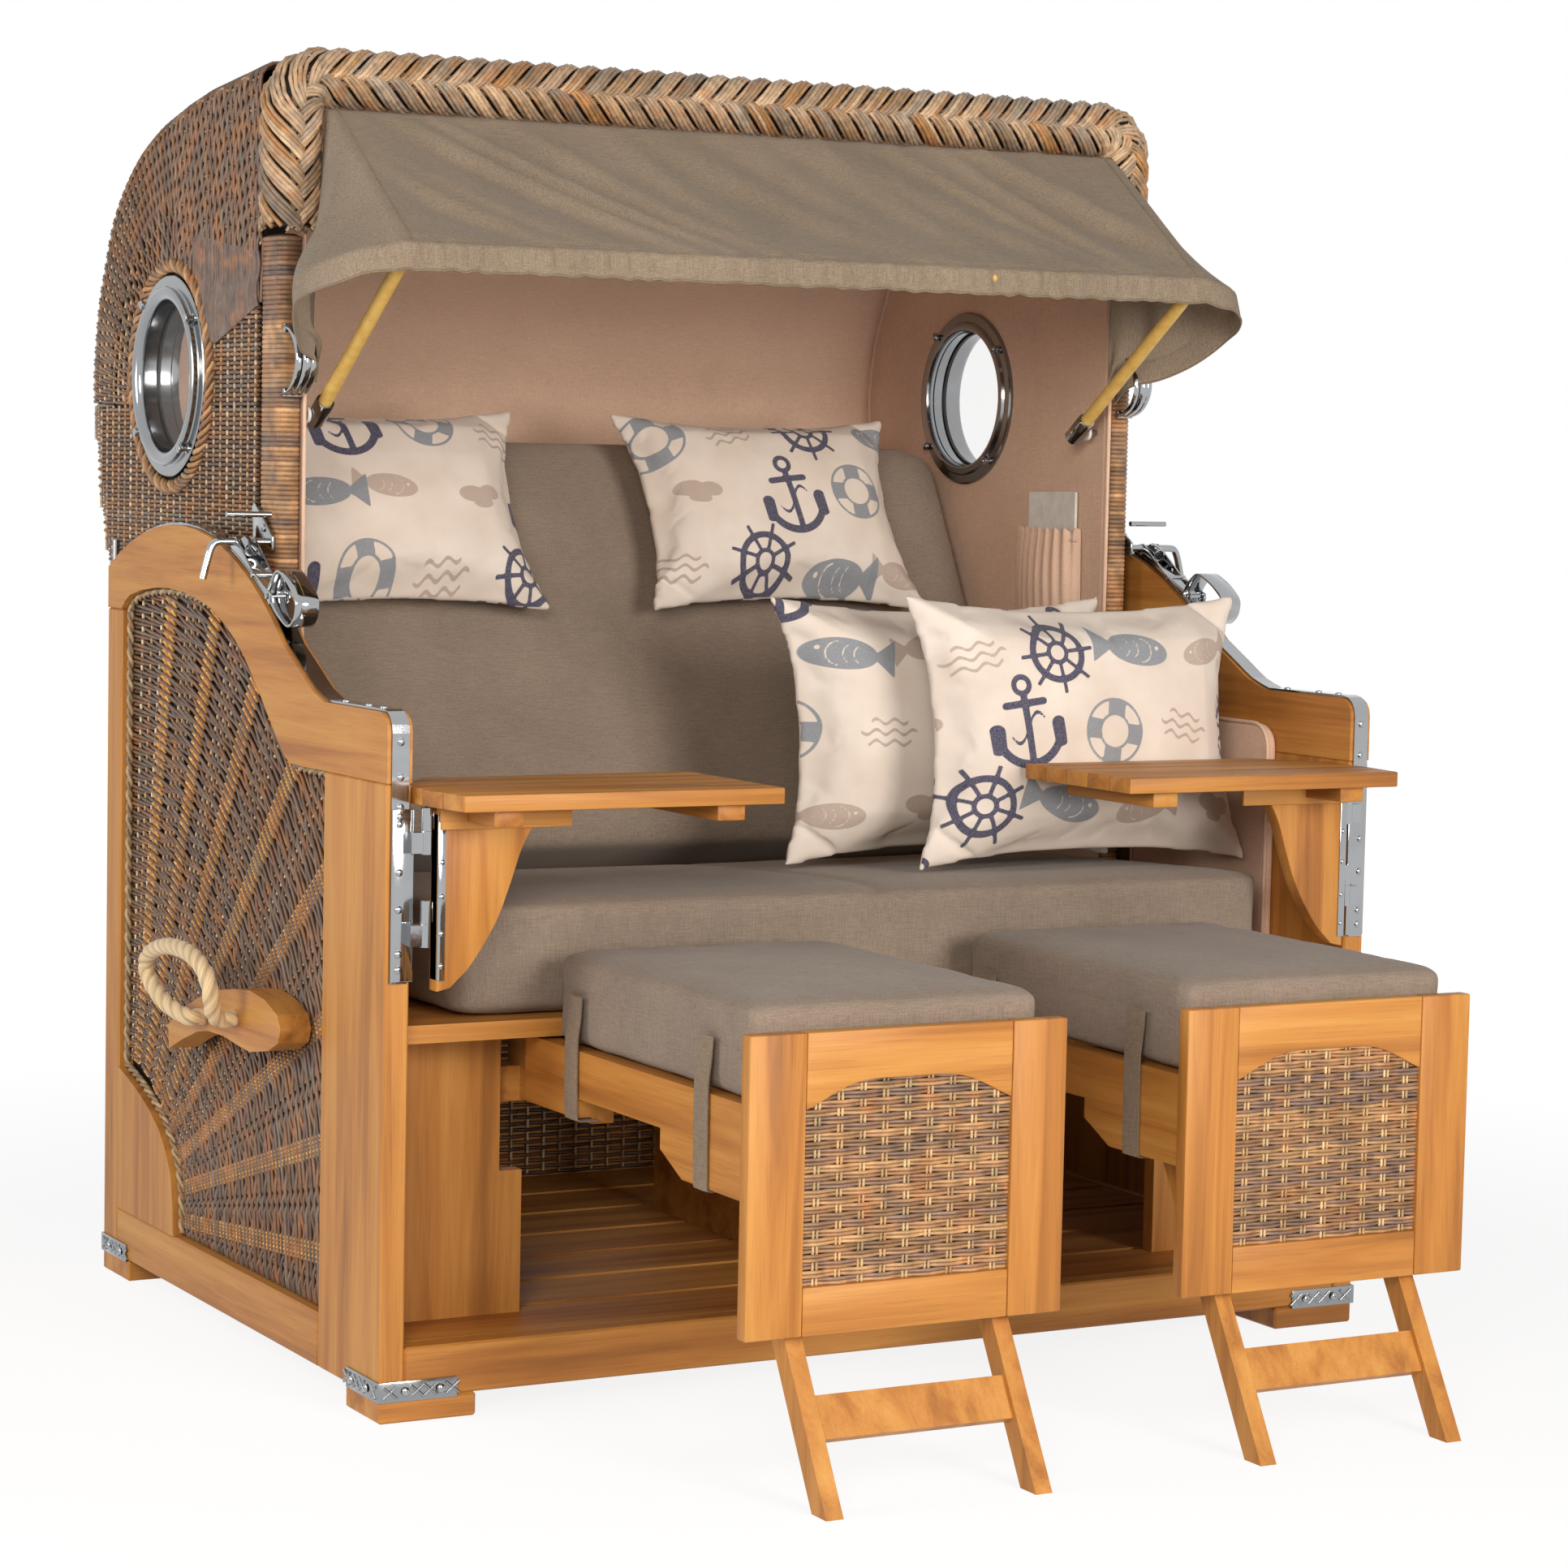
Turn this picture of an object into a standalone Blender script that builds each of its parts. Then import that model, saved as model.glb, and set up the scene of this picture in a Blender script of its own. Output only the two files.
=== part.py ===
"""Hooded beach chair: a teak and wicker two-seat base, a hood that tilts back with its backrest,
two pull-out footrests on folding legs, two swing-out side tables and a sun canopy on a folding bow.

Metres, +Z up. Front of the chair faces -Y. The origin is on the ground, in the middle of the
whole object's length and width. Sizes below are measured from the front face of the base, and the
empties carry the pieces from there to the origin.
"""
import math

import bmesh
import bpy
from mathutils import Matrix, Vector
from mathutils.bvhtree import BVHTree

# Running and seating clearances
GAP = 0.0003
OVERRUN = 0.02
EDGE = 0.0025

# Base: two side walls, a sill, a slatted deck and a rear panel
BASE_WIDTH = 1.300
BASE_DEPTH = 0.895
WALL = 0.029
FOOT_LENGTH = 0.115
FOOT_DEPTH = 0.0936
FOOT_HEIGHT = 0.026
POST_DEPTH = 0.176
REAR_POST_DEPTH = 0.050
BOTTOM_RAIL_TOP = 0.087
SILL_TOP = 0.082
DECK_SLATS = 7
DECK_SLAT_THICKNESS = 0.018
DECK_SLAT_GAP = 0.012
DECK_BATTEN = 0.040
REAR_PANEL_TOP = 0.400
REAR_PANEL_FRAME = 0.060
REAR_PANEL_INLAY = 0.012

# Armrest board of each side wall
ARM_SEAM = 0.695
ARM_FRONT_DEPTH = 0.076
ARM_CORNER = 0.022
ARM_REAR_DEPTH = 0.0518
WICKER_THICKNESS = 0.014
WICKER_RECESS = 0.007
FAN_HEIGHT = 0.180
FAN_LENGTH = 0.204

# Hood tilt axis: the armrest's long arc and the clamp that slides on it are centred here
TILT_Y = 0.650
TILT_Z = 0.410
ARM_ARC_RADIUS = 0.545
ARM_ARC_FRONT_ANGLE = math.radians(130)
OPENING_FRONT_ANGLE = math.radians(144)

# Chrome strip along the armrest
STRIP_WIDTH = 0.020
STRIP_THICKNESS = 0.0025
STRIP_FOOT = 0.480

# Seat
SEAT_TOP = 0.4285
SEAT_BOARD = 0.020
SEAT_BACK = 0.620
SEAT_RAIL_SETBACK = 0.030
SEAT_REAR_PLAY = 0.006
SEAT_WIDE_DEPTH = 0.430
GUIDE_THICKNESS = 0.024
GUIDE_FRONT = 0.200
SEAT_CUSHION_PLAY = 0.013
SEAT_CUSHION_FRONT = 0.046
SEAT_CUSHION_BACK = 0.612
SEAT_CUSHION_CREST = 0.570
SEAT_CUSHION_REAR_TOP = 0.536
SEAT_SEAM_DEPTH = 0.006
SEAT_CROWN = 0.012
FOOT_CROWN = 0.010
BACK_CROWN = 0.012
DRAW_SHARE = 0.012
BACK_DRAW_SHARE = 0.006
BACK_SEAM_HALF = 0.020
DIVIDER_Y = 0.115
DIVIDER_THICKNESS = 0.020
DIVIDER_WIDTH = 0.192
DIVIDER_STEP_WIDTH = 0.220
DIVIDER_STEP = 0.245
PAD_THICKNESS = 0.019
PAD_FRONT = 0.145
PAD_BACK = 0.440
PAD_TOP = 0.730
PAD_CORNER = 0.030

# Carrying handles
HANDLE_LENGTH = 0.360
HANDLE_MIDDLE = 0.400
HANDLE_BASE = 0.330
HANDLE_HEIGHT = 0.104
HANDLE_THICKNESS = 0.038
ROPE_RADIUS = 0.010

# Hood: basket, wound posts, braid, portholes
HOOD_INSET = 0.052
HOOD_WALL = 0.032
HOOD_FRONT = 0.456
HOOD_POST_DEPTH = 0.064
HOOD_POST_FOOT = 0.440
HOOD_REACH = 1.119
HOOD_TOP = 1.500
HOOD_REAR_LOW = 0.742
HOOD_LUG = 0.050
HOOD_POST_ROUNDING = 0.010
HOOD_ROUNDING = 0.020
TILT_BOSS = 0.015
UNDERSIDE_ANGLE = math.radians(43.5)
UNDERSIDE_START = 0.205
UNDERSIDE_PANEL_START = 0.148
BRAID_LOW = 1.300
BRAID_TOP = 1.516
BRAID_PROUD = 0.014
BRAID_DEPTH = 0.084
BRAID_THICKNESS = 0.068
BRAID_BEND = 0.036
PORTHOLE_Y = 0.813
PORTHOLE_Z = 1.136
PORTHOLE_BORE = 0.0925
PORTHOLE_SLEEVE = 0.098
PORTHOLE_FLANGE = 0.125
PORTHOLE_INNER_FLANGE = 0.118
PORTHOLE_FLANGE_THICKNESS = 0.006
PORTHOLE_RIM = 0.105
PORTHOLE_RIM_OUT = 0.014
PORTHOLE_GLASS = 0.004

# Backrest and pillows
BACK_START = 0.598
BACK_LOW = 0.556
BACK_END = 0.884
BACK_HIGH = 1.076
BACK_PLAY = 0.010
NECK_PILLOW_WIDTH = 0.415
NECK_PILLOW_HEIGHT = 0.305
NECK_PILLOW_THICKNESS = 0.105
NECK_PILLOW_INSET = 0.2235
NECK_PILLOW_RIGHT = 0.2285
NECK_PILLOW_BOTTOM = 0.815
THROW_PILLOW_WIDTH = 0.474
THROW_PILLOW_HEIGHT = 0.340
THROW_PILLOW_THICKNESS = 0.130
THROW_FRONT_Y = 0.194
THROW_REAR_Y = 0.350
THROW_INSET = 0.198
THROW_REAR_X = 0.256
THROW_LEAN = math.radians(8)
PILLOW_RIM = 0.008
CAGE_SHARE = 2.4

# Bow grips on the hood posts
GRIP_LOW = 1.112
GRIP_HIGH = 1.192
GRIP_REACH = 0.050
GRIP_BAND = 0.007
GRIP_WIDTH = 0.024

# Canopy bow and cloth
BOW_RADIUS = 0.0085
BOW_PLAY = 0.032
BOW_PIVOT_Y = 0.489
BOW_PIVOT_Z = 1.090
BOW_FRONT_Y = 0.232
BOW_FRONT_Z = 1.272
BOW_BEND = 0.030
BOW_SOCKET_RADIUS = 0.0115
BOW_SOCKET_LENGTH = 0.042
BOW_PIN_RADIUS = 0.004
CLOTH = 0.004

# Clamps on the armrest arc
CLAMP_ANGLE = math.radians(117)
CLAMP_SHOE_LENGTH = 0.085
CLAMP_SHOE_HEIGHT = 0.012
CLAMP_PLATE = 0.005
CLAMP_EAR = 0.003
CLAMP_PLATE_SIZE = 0.072
LEVER_LENGTH = 0.080
LEVER_HEIGHT = 0.044
LEVER_BAND = 0.004
LEVER_WIDTH = 0.018
LEVER_PIN = 0.004

# Footrests
FOOTREST_MIDDLE_SHARE = 0.20269
PANEL_HALF_SHARE = 0.14423
PANEL_LOW = 0.168
PANEL_HIGH = 0.477
PANEL_FRONT = -0.455
PANEL_THICKNESS = 0.018
PANEL_STILE = 0.066
PANEL_RAIL_END = 0.398
PANEL_ARCH = 0.426
PANEL_BOTTOM_RAIL = 0.218
PANEL_POCKET = 0.008
ARCH_FALL_SHARE = 0.1
DRAWER_INSET = 0.007
DRAWER_RAIL = 0.022
DRAWER_TOP = 0.4045
DRAWER_RAIL_LOW = 0.352
DRAWER_REAR_LOW = 0.330
DRAWER_FRONT_LOW = 0.306
DRAWER_BACK = 0.080
DRAWER_REAR_STEP = -0.050
DRAWER_FRONT_STEP = -0.250
DRAWER_CHAMFER = 0.050
DRAWER_SLATS = 4
DRAWER_SLAT = 0.070
DRAWER_SLAT_THICKNESS = 0.016
DRAWER_CLEAT = 0.024
DRAWER_BATTEN_DEPTH = 0.035
DRAWER_BATTEN_HEIGHT = 0.040
DRAWER_BATTEN_PROUD = 0.026
FOOT_CUSHION_INSET = 0.0105
FOOT_CUSHION_BACK = 0.0285
FOOT_CUSHION_TOP = 0.513
LEG_INSET = 0.0545
LEG_THICKNESS = 0.020
LEG_DEPTH = 0.026
LEG_TOE = 0.532
LEG_PIVOT_Z = 0.328
LEG_TOP = 0.018
LEG_BAR_LOW = 0.066
LEG_BAR_HEIGHT = 0.046
LEG_BAR_THICKNESS = 0.014
LEG_PIN_RADIUS = 0.005

# Side tables
TABLE_AXIS_INSET = 0.041
TABLE_AXIS_Y = -0.014
TABLE_TOP = 0.691
TABLE_THICKNESS = 0.018
TABLE_LENGTH = 0.383
TABLE_FRONT = 0.098
TABLE_BACK = 0.127
TABLE_OUTER = 0.010
TABLE_CHAMFER = 0.050
TABLE_BATTEN = 0.038
TABLE_BATTEN_HEIGHT = 0.018
TABLE_BATTEN_INSET = 0.014
BRACKET_THICKNESS = 0.020
BRACKET_LOW = 0.472
BRACKET_LENGTH = 0.125
BRACKET_TIP = 0.016
BRACKET_START = 0.009
KNUCKLE_RADIUS = 0.006
KNUCKLE_HEIGHT = 0.025
KNUCKLE_HEIGHTS = (0.520, 0.620)

# Outline shares, chosen by hand. Dip: share of the way from the post to the arc's foot, share of its rise.
# Opening: share of the turn from the rear post to the front end, share of the arc's radius.
ARM_DIP_SHARES = ((0.291, 0.19), (0.589, 0.53))
OPENING_EDGE_SHARES = ((1.0, 0.8896), (0.953, 0.8432), (0.841, 0.8305), (0.728, 0.835), (0.621, 0.845),
                       (0.479, 0.8521), (0.319, 0.8541), (0.155, 0.8666), (0.0135, 0.8854))
FAN_EDGE_SHARES = ((0.00, 0.00), (0.05, 0.40), (0.27, 0.69), (0.63, 0.88), (1.00, 1.00))
# Roof and back of the hood: share of the hood's depth, share of its height above the rear low end
ROOF_SHARES = ((0.000, 1.000), (0.140, 0.989), (0.322, 0.974), (0.511, 0.946), (0.607, 0.926),
               (0.708, 0.894), (0.808, 0.843), (0.880, 0.786), (0.925, 0.722), (0.965, 0.657),
               (0.987, 0.590), (1.000, 0.522), (0.992, 0.455), (0.975, 0.388), (0.952, 0.312),
               (0.905, 0.222), (0.811, 0.000))
# Handle block: share of its length, share of its height; lower edge first, then the crest
HANDLE_SHARES = ((0.10, 0.41), (0.26, 0.32), (0.37, 0.345), (0.49, 0.385), (0.63, 0.375), (0.73, 0.32),
                 (0.88, 0.15), (0.99, 0.00), (1.00, 0.28), (0.90, 0.47), (0.74, 0.69), (0.55, 0.875),
                 (0.41, 0.95), (0.26, 1.00), (0.14, 0.96), (0.03, 0.84), (0.00, 0.68), (0.02, 0.53))
BRACKET_EDGE_SHARES = ((1.00, 1.00), (0.86, 0.84), (0.74, 0.62), (0.60, 0.40), (0.36, 0.16), (0.14, 0.02))

# Carrying rope, one side: out from the block's face, along the base, up
ROPE_POINTS = ((0.020, 0.357, 0.396), (0.030, 0.357, 0.396), (0.040, 0.357, 0.396), (0.052, 0.345, 0.408),
               (0.060, 0.333, 0.432), (0.063, 0.345, 0.455), (0.064, 0.390, 0.469), (0.064, 0.455, 0.470),
               (0.062, 0.520, 0.456), (0.059, 0.548, 0.436), (0.056, 0.535, 0.414), (0.051, 0.495, 0.395),
               (0.040, 0.456, 0.385), (0.030, 0.456, 0.385), (0.020, 0.456, 0.385))

# Canopy cloth, right half, from its low end to the front corner. Head: share of the hood's half width,
# of the post's depth forwards, of the height from the bow's pivot to the roof. Hem: the same, with the
# share of the way forwards to the bow's front bar.
CLOTH_HEAD_SHARES = ((0.92726, 0.05469, 0.10244), (0.92308, 0.05469, 0.30488), (0.90635, 0.14063, 0.5122),
                     (0.88963, 0.1875, 0.70732), (0.87625, 0.1875, 0.85))
CLOTH_HEM_SHARES = ((0.93311, 0.07143, 0.09756), (0.93645, 0.16071, 0.23171), (1.00334, 0.33929, 0.28049),
                    (1.06689, 0.65179, 0.36098), (0.91639, 1.08393, 0.45146))
CLOTH_COLUMNS = 18
CLOTH_ROWS = 5
CLOTH_FOLD = 0.006
CLOTH_FOLDS = 5
CLOTH_SAG = 0.012

# Derived places, the widths first
HOOD_HALF = BASE_WIDTH / 2 - HOOD_INSET
BRAID_HALF = HOOD_HALF + BRAID_PROUD
SEAT_REAR_HALF = HOOD_HALF - HOOD_WALL - SEAT_REAR_PLAY
SEAT_CUSHION_HALF = HOOD_HALF - HOOD_WALL - SEAT_CUSHION_PLAY
BACK_HALF = HOOD_HALF - HOOD_WALL - BACK_PLAY
BOW_HALF = HOOD_HALF - HOOD_WALL - BOW_PLAY
TABLE_AXIS_X = BASE_WIDTH / 2 - TABLE_AXIS_INSET
DIVIDER_INNER = BASE_WIDTH / 2 - DIVIDER_WIDTH
DIVIDER_STEP_INNER = BASE_WIDTH / 2 - DIVIDER_STEP_WIDTH
FOOTREST_MIDDLE = BASE_WIDTH * FOOTREST_MIDDLE_SHARE
PANEL_HALF = BASE_WIDTH * PANEL_HALF_SHARE
DRAWER_HALF = PANEL_HALF - DRAWER_INSET
FOOT_CUSHION_HALF = PANEL_HALF - FOOT_CUSHION_INSET
LEG_HALF = PANEL_HALF - LEG_INSET
NECK_PILLOW_LEFT = NECK_PILLOW_INSET - BACK_HALF
THROW_FRONT_X = SEAT_CUSHION_HALF - THROW_INSET
INNER = BASE_WIDTH / 2 - WALL
BASE_LOW = FOOT_HEIGHT + GAP
BASE_FRONT = (LEG_TOE - HOOD_REACH) / 2
SEAT_LOW = SEAT_TOP - SEAT_BOARD
PANEL_BACK = PANEL_FRONT + PANEL_THICKNESS
STRIP_MIDDLE = BASE_WIDTH / 2 - WALL / 2
ARM_FRONT_HEIGHT = ARM_SEAM + ARM_FRONT_DEPTH
ARC_END = math.sqrt(max(EDGE, ARM_ARC_RADIUS ** 2 - (BASE_DEPTH - TILT_Y) ** 2))
REAR_SEAM = TILT_Z + ARC_END - ARM_REAR_DEPTH

CHAIR = bpy.data.collections.new("beach_chair")
TOOLS = bpy.data.collections.new("cutters")
SIDES = (("left", -1), ("right", 1))


# Scene, materials and parents

def clear_scene():
    for item in list(bpy.data.objects):
        bpy.data.objects.remove(item, do_unlink=True)
    for collection in (CHAIR, TOOLS):
        bpy.context.scene.collection.children.link(collection)


def make_material(name, colour, roughness, metallic=0.0):
    material = bpy.data.materials.new(name)
    material.use_nodes = True
    shader = material.node_tree.nodes["Principled BSDF"]
    shader.inputs["Base Color"].default_value = (*colour, 1.0)
    shader.inputs["Roughness"].default_value = roughness
    shader.inputs["Metallic"].default_value = metallic
    material.diffuse_color = (*colour, 1.0)
    return material


def make_materials():
    return {
        "teak": make_material("teak", (0.58, 0.27, 0.09), 0.5),
        "wicker": make_material("woven_cane", (0.15, 0.08, 0.05), 0.6),
        "braid": make_material("braided_rattan", (0.33, 0.19, 0.09), 0.6),
        "cover": make_material("cushion_canvas", (0.26, 0.21, 0.17), 0.9),
        "canopy": make_material("canopy_canvas", (0.25, 0.20, 0.15), 0.9),
        "print": make_material("pillow_cotton", (0.77, 0.67, 0.58), 0.9),
        "liner": make_material("side_pad_cotton", (0.44, 0.28, 0.18), 0.9),
        "chrome": make_material("chromed_steel", (0.75, 0.75, 0.76), 0.12, 1.0),
        "steel": make_material("polished_steel", (0.62, 0.63, 0.65), 0.22, 1.0),
        "tube": make_material("coated_tube", (0.72, 0.46, 0.12), 0.4),
        "rope": make_material("hemp_rope", (0.58, 0.38, 0.19), 0.8),
    }


def make_parent(name, place, above=None):
    """An empty on a joint's axis; place is measured from the base's front face."""
    empty = bpy.data.objects.new(name, None)
    CHAIR.objects.link(empty)
    empty["place"] = place
    if above is None:
        empty.location = (place[0], place[1] + BASE_FRONT, place[2])
    else:
        empty.parent = above
        empty.location = Vector(place) - Vector(above["place"])
    return empty


def keep(item, material, parent):
    """Name the piece's material and hang it on its body."""
    item.data.materials.clear()
    item.data.materials.append(MATERIALS[material])
    hang(item, parent)
    return item


def hang(item, parent):
    """Carry the piece, and all that is cut from it or joined into it, to its body's place."""
    item.parent = parent
    item.location = item.location - Vector(parent["place"])
    for step in item.modifiers:
        if step.type == "BOOLEAN":
            hang(step.object, parent)


def as_tool(item):
    """A cutter, or a piece that is joined into another, is not part of the model itself."""
    for collection in item.users_collection:
        collection.objects.unlink(item)
    TOOLS.objects.link(item)
    item.hide_render = True
    item.display_type = "WIRE"
    return item


# Shapes

def mesh_object(name, builder):
    mesh = bpy.data.meshes.new(name)
    built = bmesh.new()
    builder(built)
    bmesh.ops.recalc_face_normals(built, faces=built.faces)
    built.to_mesh(mesh)
    built.free()
    item = bpy.data.objects.new(name, mesh)
    CHAIR.objects.link(item)
    return item


def box(name, low, high):
    low, high = Vector(low), Vector(high)

    def build(shape):
        bmesh.ops.create_cube(shape, size=1)
        bmesh.ops.scale(shape, vec=high - low, verts=shape.verts)
        bmesh.ops.translate(shape, vec=(high + low) / 2, verts=shape.verts)
    return mesh_object(name, build)


def side_box(name, side, inner, outer, low, high):
    """A box on one side of the chair: inner and outer are distances from the middle."""
    near, far = sorted((side * inner, side * outer))
    return box(name, (near, low[0], low[1]), (far, high[0], high[1]))


def rod(name, start, end, radius, sides=16):
    start, end = Vector(start), Vector(end)
    turn = (end - start).to_track_quat("Z", "Y").to_matrix().to_4x4()

    def build(shape):
        bmesh.ops.create_cone(shape, cap_ends=True, segments=sides, radius1=radius, radius2=radius,
                              depth=(end - start).length, matrix=Matrix.Translation((start + end) / 2) @ turn)
    return mesh_object(name, build)


def to_mesh(curve):
    """Turn a curve object into a welded mesh object of the same name."""
    bpy.context.view_layer.update()
    evaluated = curve.evaluated_get(bpy.context.evaluated_depsgraph_get())
    mesh = bpy.data.meshes.new_from_object(evaluated)
    name, place = curve.name, curve.matrix_world.copy()
    bpy.data.objects.remove(curve, do_unlink=True)
    welded = bmesh.new()
    welded.from_mesh(mesh)
    bmesh.ops.transform(welded, matrix=place, verts=welded.verts)
    bmesh.ops.remove_doubles(welded, verts=welded.verts, dist=GAP / 10)
    bmesh.ops.recalc_face_normals(welded, faces=welded.faces)
    welded.to_mesh(mesh)
    welded.free()
    mesh.name = name
    item = bpy.data.objects.new(name, mesh)
    CHAIR.objects.link(item)
    return item


def plate(name, outline, low, high, facing="X"):
    """A flat board: outline is (y, z) for a board across X, or (x, z) across Y, or (x, y) across Z."""
    curve = bpy.data.curves.new(name, "CURVE")
    curve.dimensions = "2D"
    curve.fill_mode = "BOTH"
    curve.extrude = (high - low) / 2
    spline = curve.splines.new("POLY")
    spline.points.add(len(outline) - 1)
    for point, (across, up) in zip(spline.points, outline):
        point.co = (across, up, 0, 1)
    spline.use_cyclic_u = True
    item = bpy.data.objects.new(name, curve)
    CHAIR.objects.link(item)
    middle = (high + low) / 2
    if facing == "X":
        item.rotation_euler = (math.radians(90), 0, math.radians(90))
        item.location = (middle, 0, 0)
    elif facing == "Y":
        item.rotation_euler = (math.radians(90), 0, 0)
        item.location = (0, middle, 0)
    else:
        item.location = (0, 0, middle)
    return to_mesh(item)


def side_plate(name, side, outline, inner, outer):
    low, high = sorted((side * inner, side * outer))
    return plate(name, outline, low, high)


def tube(name, points, radius, resolution=2, section=None):
    curve = bpy.data.curves.new(name, "CURVE")
    curve.dimensions = "3D"
    curve.use_fill_caps = True
    if section is None:
        curve.bevel_depth = radius
        curve.bevel_resolution = resolution
    else:
        curve.bevel_mode = "OBJECT"
        curve.bevel_object = section
    spline = curve.splines.new("POLY")
    spline.points.add(len(points) - 1)
    for point, place in zip(spline.points, points):
        point.co = (*place, 1)
    item = bpy.data.objects.new(name, curve)
    CHAIR.objects.link(item)
    return to_mesh(item)


def arc(centre, radius, start, end, steps):
    turns = [start + (end - start) * step / steps for step in range(steps + 1)]
    return [(centre[0] + radius * math.cos(turn), centre[1] + radius * math.sin(turn)) for turn in turns]


def smooth(points, steps):
    """A soft curve through hand-set points (Catmull-Rom), with steps pieces between two of them."""
    points = [Vector(point) for point in points]
    padded = [points[0] * 2 - points[1], *points, points[-1] * 2 - points[-2]]
    curve = []
    for before, start, end, after in zip(padded, padded[1:], padded[2:], padded[3:]):
        for step in range(steps):
            share = step / steps
            curve.append(0.5 * (2 * start + (end - before) * share
                                + (2 * before - 5 * start + 4 * end - after) * share ** 2
                                + (3 * start - before - 3 * end + after) * share ** 3))
    return [tuple(point) for point in [*curve, points[-1]]]


def inset(outline, distance):
    """Move a closed outline inwards by the distance, at every corner."""
    count = len(outline)
    area = sum(outline[i][0] * outline[(i + 1) % count][1] - outline[(i + 1) % count][0] * outline[i][1]
               for i in range(count))
    turn = 1 if area > 0 else -1
    moved = []
    for index in range(count):
        here = Vector(outline[index])
        before = (here - Vector(outline[index - 1])).normalized()
        after = (Vector(outline[(index + 1) % count]) - here).normalized()
        side = turn * Vector((-before.y - after.y, before.x + after.x)).normalized()
        reach = distance / max(0.4, side.dot(turn * Vector((-before.y, before.x))))
        moved.append(tuple(here + side * reach))
    return moved


# Modifiers

def cut(item, cutter, operation="DIFFERENCE"):
    step = item.modifiers.new(operation.lower(), "BOOLEAN")
    step.operation = operation
    step.solver = "EXACT"
    step.object = as_tool(cutter)
    return item


def join(item, *others):
    for other in others:
        cut(item, other, "UNION")
    return item


def round_edges(item, width=EDGE, segments=1, angle=35):
    step = item.modifiers.new("round", "BEVEL")
    step.width = width
    step.segments = segments
    step.limit_method = "ANGLE"
    step.angle_limit = math.radians(angle)
    return item


def soften(item, levels=1):
    step = item.modifiers.new("soft", "SUBSURF")
    step.levels = levels
    step.render_levels = levels
    for polygon in item.data.polygons:
        polygon.use_smooth = True
    return item


def apply_modifiers(item):
    """Turn the piece with its modifiers into a plain mesh, so that another can rest on it."""
    bpy.context.view_layer.update()
    evaluated = item.evaluated_get(bpy.context.evaluated_depsgraph_get())
    mesh = bpy.data.meshes.new_from_object(evaluated)
    item.modifiers.clear()
    item.data = mesh
    return item


def smooth_shade(item, angle=40):
    item.data.shade_smooth()
    item.data.set_sharp_from_angle(angle=math.radians(angle))
    return item


def rest_on(item, support, direction):
    """Move a soft piece along the direction until it lies one seating gap from its support."""
    direction = Vector(direction).normalized()
    surface = BVHTree.FromPolygons([vertex.co + support.location for vertex in support.data.vertices],
                                   [polygon.vertices for polygon in support.data.polygons])
    own = BVHTree.FromPolygons([vertex.co + item.location for vertex in item.data.vertices],
                               [polygon.vertices for polygon in item.data.polygons])
    reaches = []
    for vertex in item.data.vertices:
        hit = surface.ray_cast(vertex.co + item.location, direction)
        if hit[0] is not None:
            reaches.append(hit[3])
    for vertex in support.data.vertices:
        hit = own.ray_cast(vertex.co + support.location, -direction)
        if hit[0] is not None:
            reaches.append(hit[3])
    if reaches:
        item.location = item.location + direction * (min(reaches) - 2 * GAP)
    return item


# Soft forms

def padded_block(name, low, high, crown, draw_in, cuts, shape=None):
    """A boxed cushion: crowned top, flat underneath, sides drawn in between the corners."""
    low, high = Vector(low), Vector(high)
    half, middle = (high - low) / 2, (high + low) / 2

    def build(cage):
        bmesh.ops.create_cube(cage, size=2)
        bmesh.ops.subdivide_edges(cage, edges=cage.edges, cuts=cuts, use_grid_fill=True)
        for vertex in cage.verts:
            across, along, up = (math.copysign(1 - (1 - abs(unit)) ** CAGE_SHARE, unit) for unit in vertex.co)
            full = max(0, 1 - across ** 2) * max(0, 1 - along ** 2)
            pull = 1 - draw_in * (1 - up ** 2)
            place = Vector((half.x * across * pull * (1 - draw_in * (1 - along ** 2)),
                            half.y * along * pull * (1 - draw_in * (1 - across ** 2)),
                            up * half.z - max(0, up) * crown * (1 - full ** 0.5)))
            vertex.co = middle + (shape(place, half) if shape else place)
    return soften(mesh_object(name, build))


def pillow(name, size, turn, place):
    """A throw pillow: full in the middle, thin along its seams, sides drawn in, corners pointed."""
    width, height, thick = size

    def build(cage):
        bmesh.ops.create_cube(cage, size=2)
        bmesh.ops.subdivide_edges(cage, edges=cage.edges, cuts=5, use_grid_fill=True)
        for vertex in cage.verts:
            across, along, up = vertex.co
            full = (max(0, 1 - across ** 2) * max(0, 1 - along ** 2)) ** 0.42
            depth = PILLOW_RIM / 2 + (thick - PILLOW_RIM) / 2 * full
            vertex.co = (width / 2 * across * (1 - 0.10 * (1 - along ** 2)), up * depth,
                         height / 2 * along * (1 - 0.10 * (1 - across ** 2)))
        bmesh.ops.transform(cage, matrix=Matrix.Translation(place) @ turn, verts=cage.verts)
    return mesh_object(name, build)


# Base

def arm_dip():
    """The concave rise from the flat armrest to the long arc."""
    arc_foot = (TILT_Y + ARM_ARC_RADIUS * math.cos(ARM_ARC_FRONT_ANGLE),
                TILT_Z + ARM_ARC_RADIUS * math.sin(ARM_ARC_FRONT_ANGLE))
    rise = arc_foot[1] - ARM_FRONT_HEIGHT
    run = arc_foot[0] - POST_DEPTH
    dip = [(POST_DEPTH + run * along, ARM_FRONT_HEIGHT + rise * up) for along, up in ARM_DIP_SHARES]
    return smooth([(POST_DEPTH, ARM_FRONT_HEIGHT), *dip, arc_foot], 2)[:-1]


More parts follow.
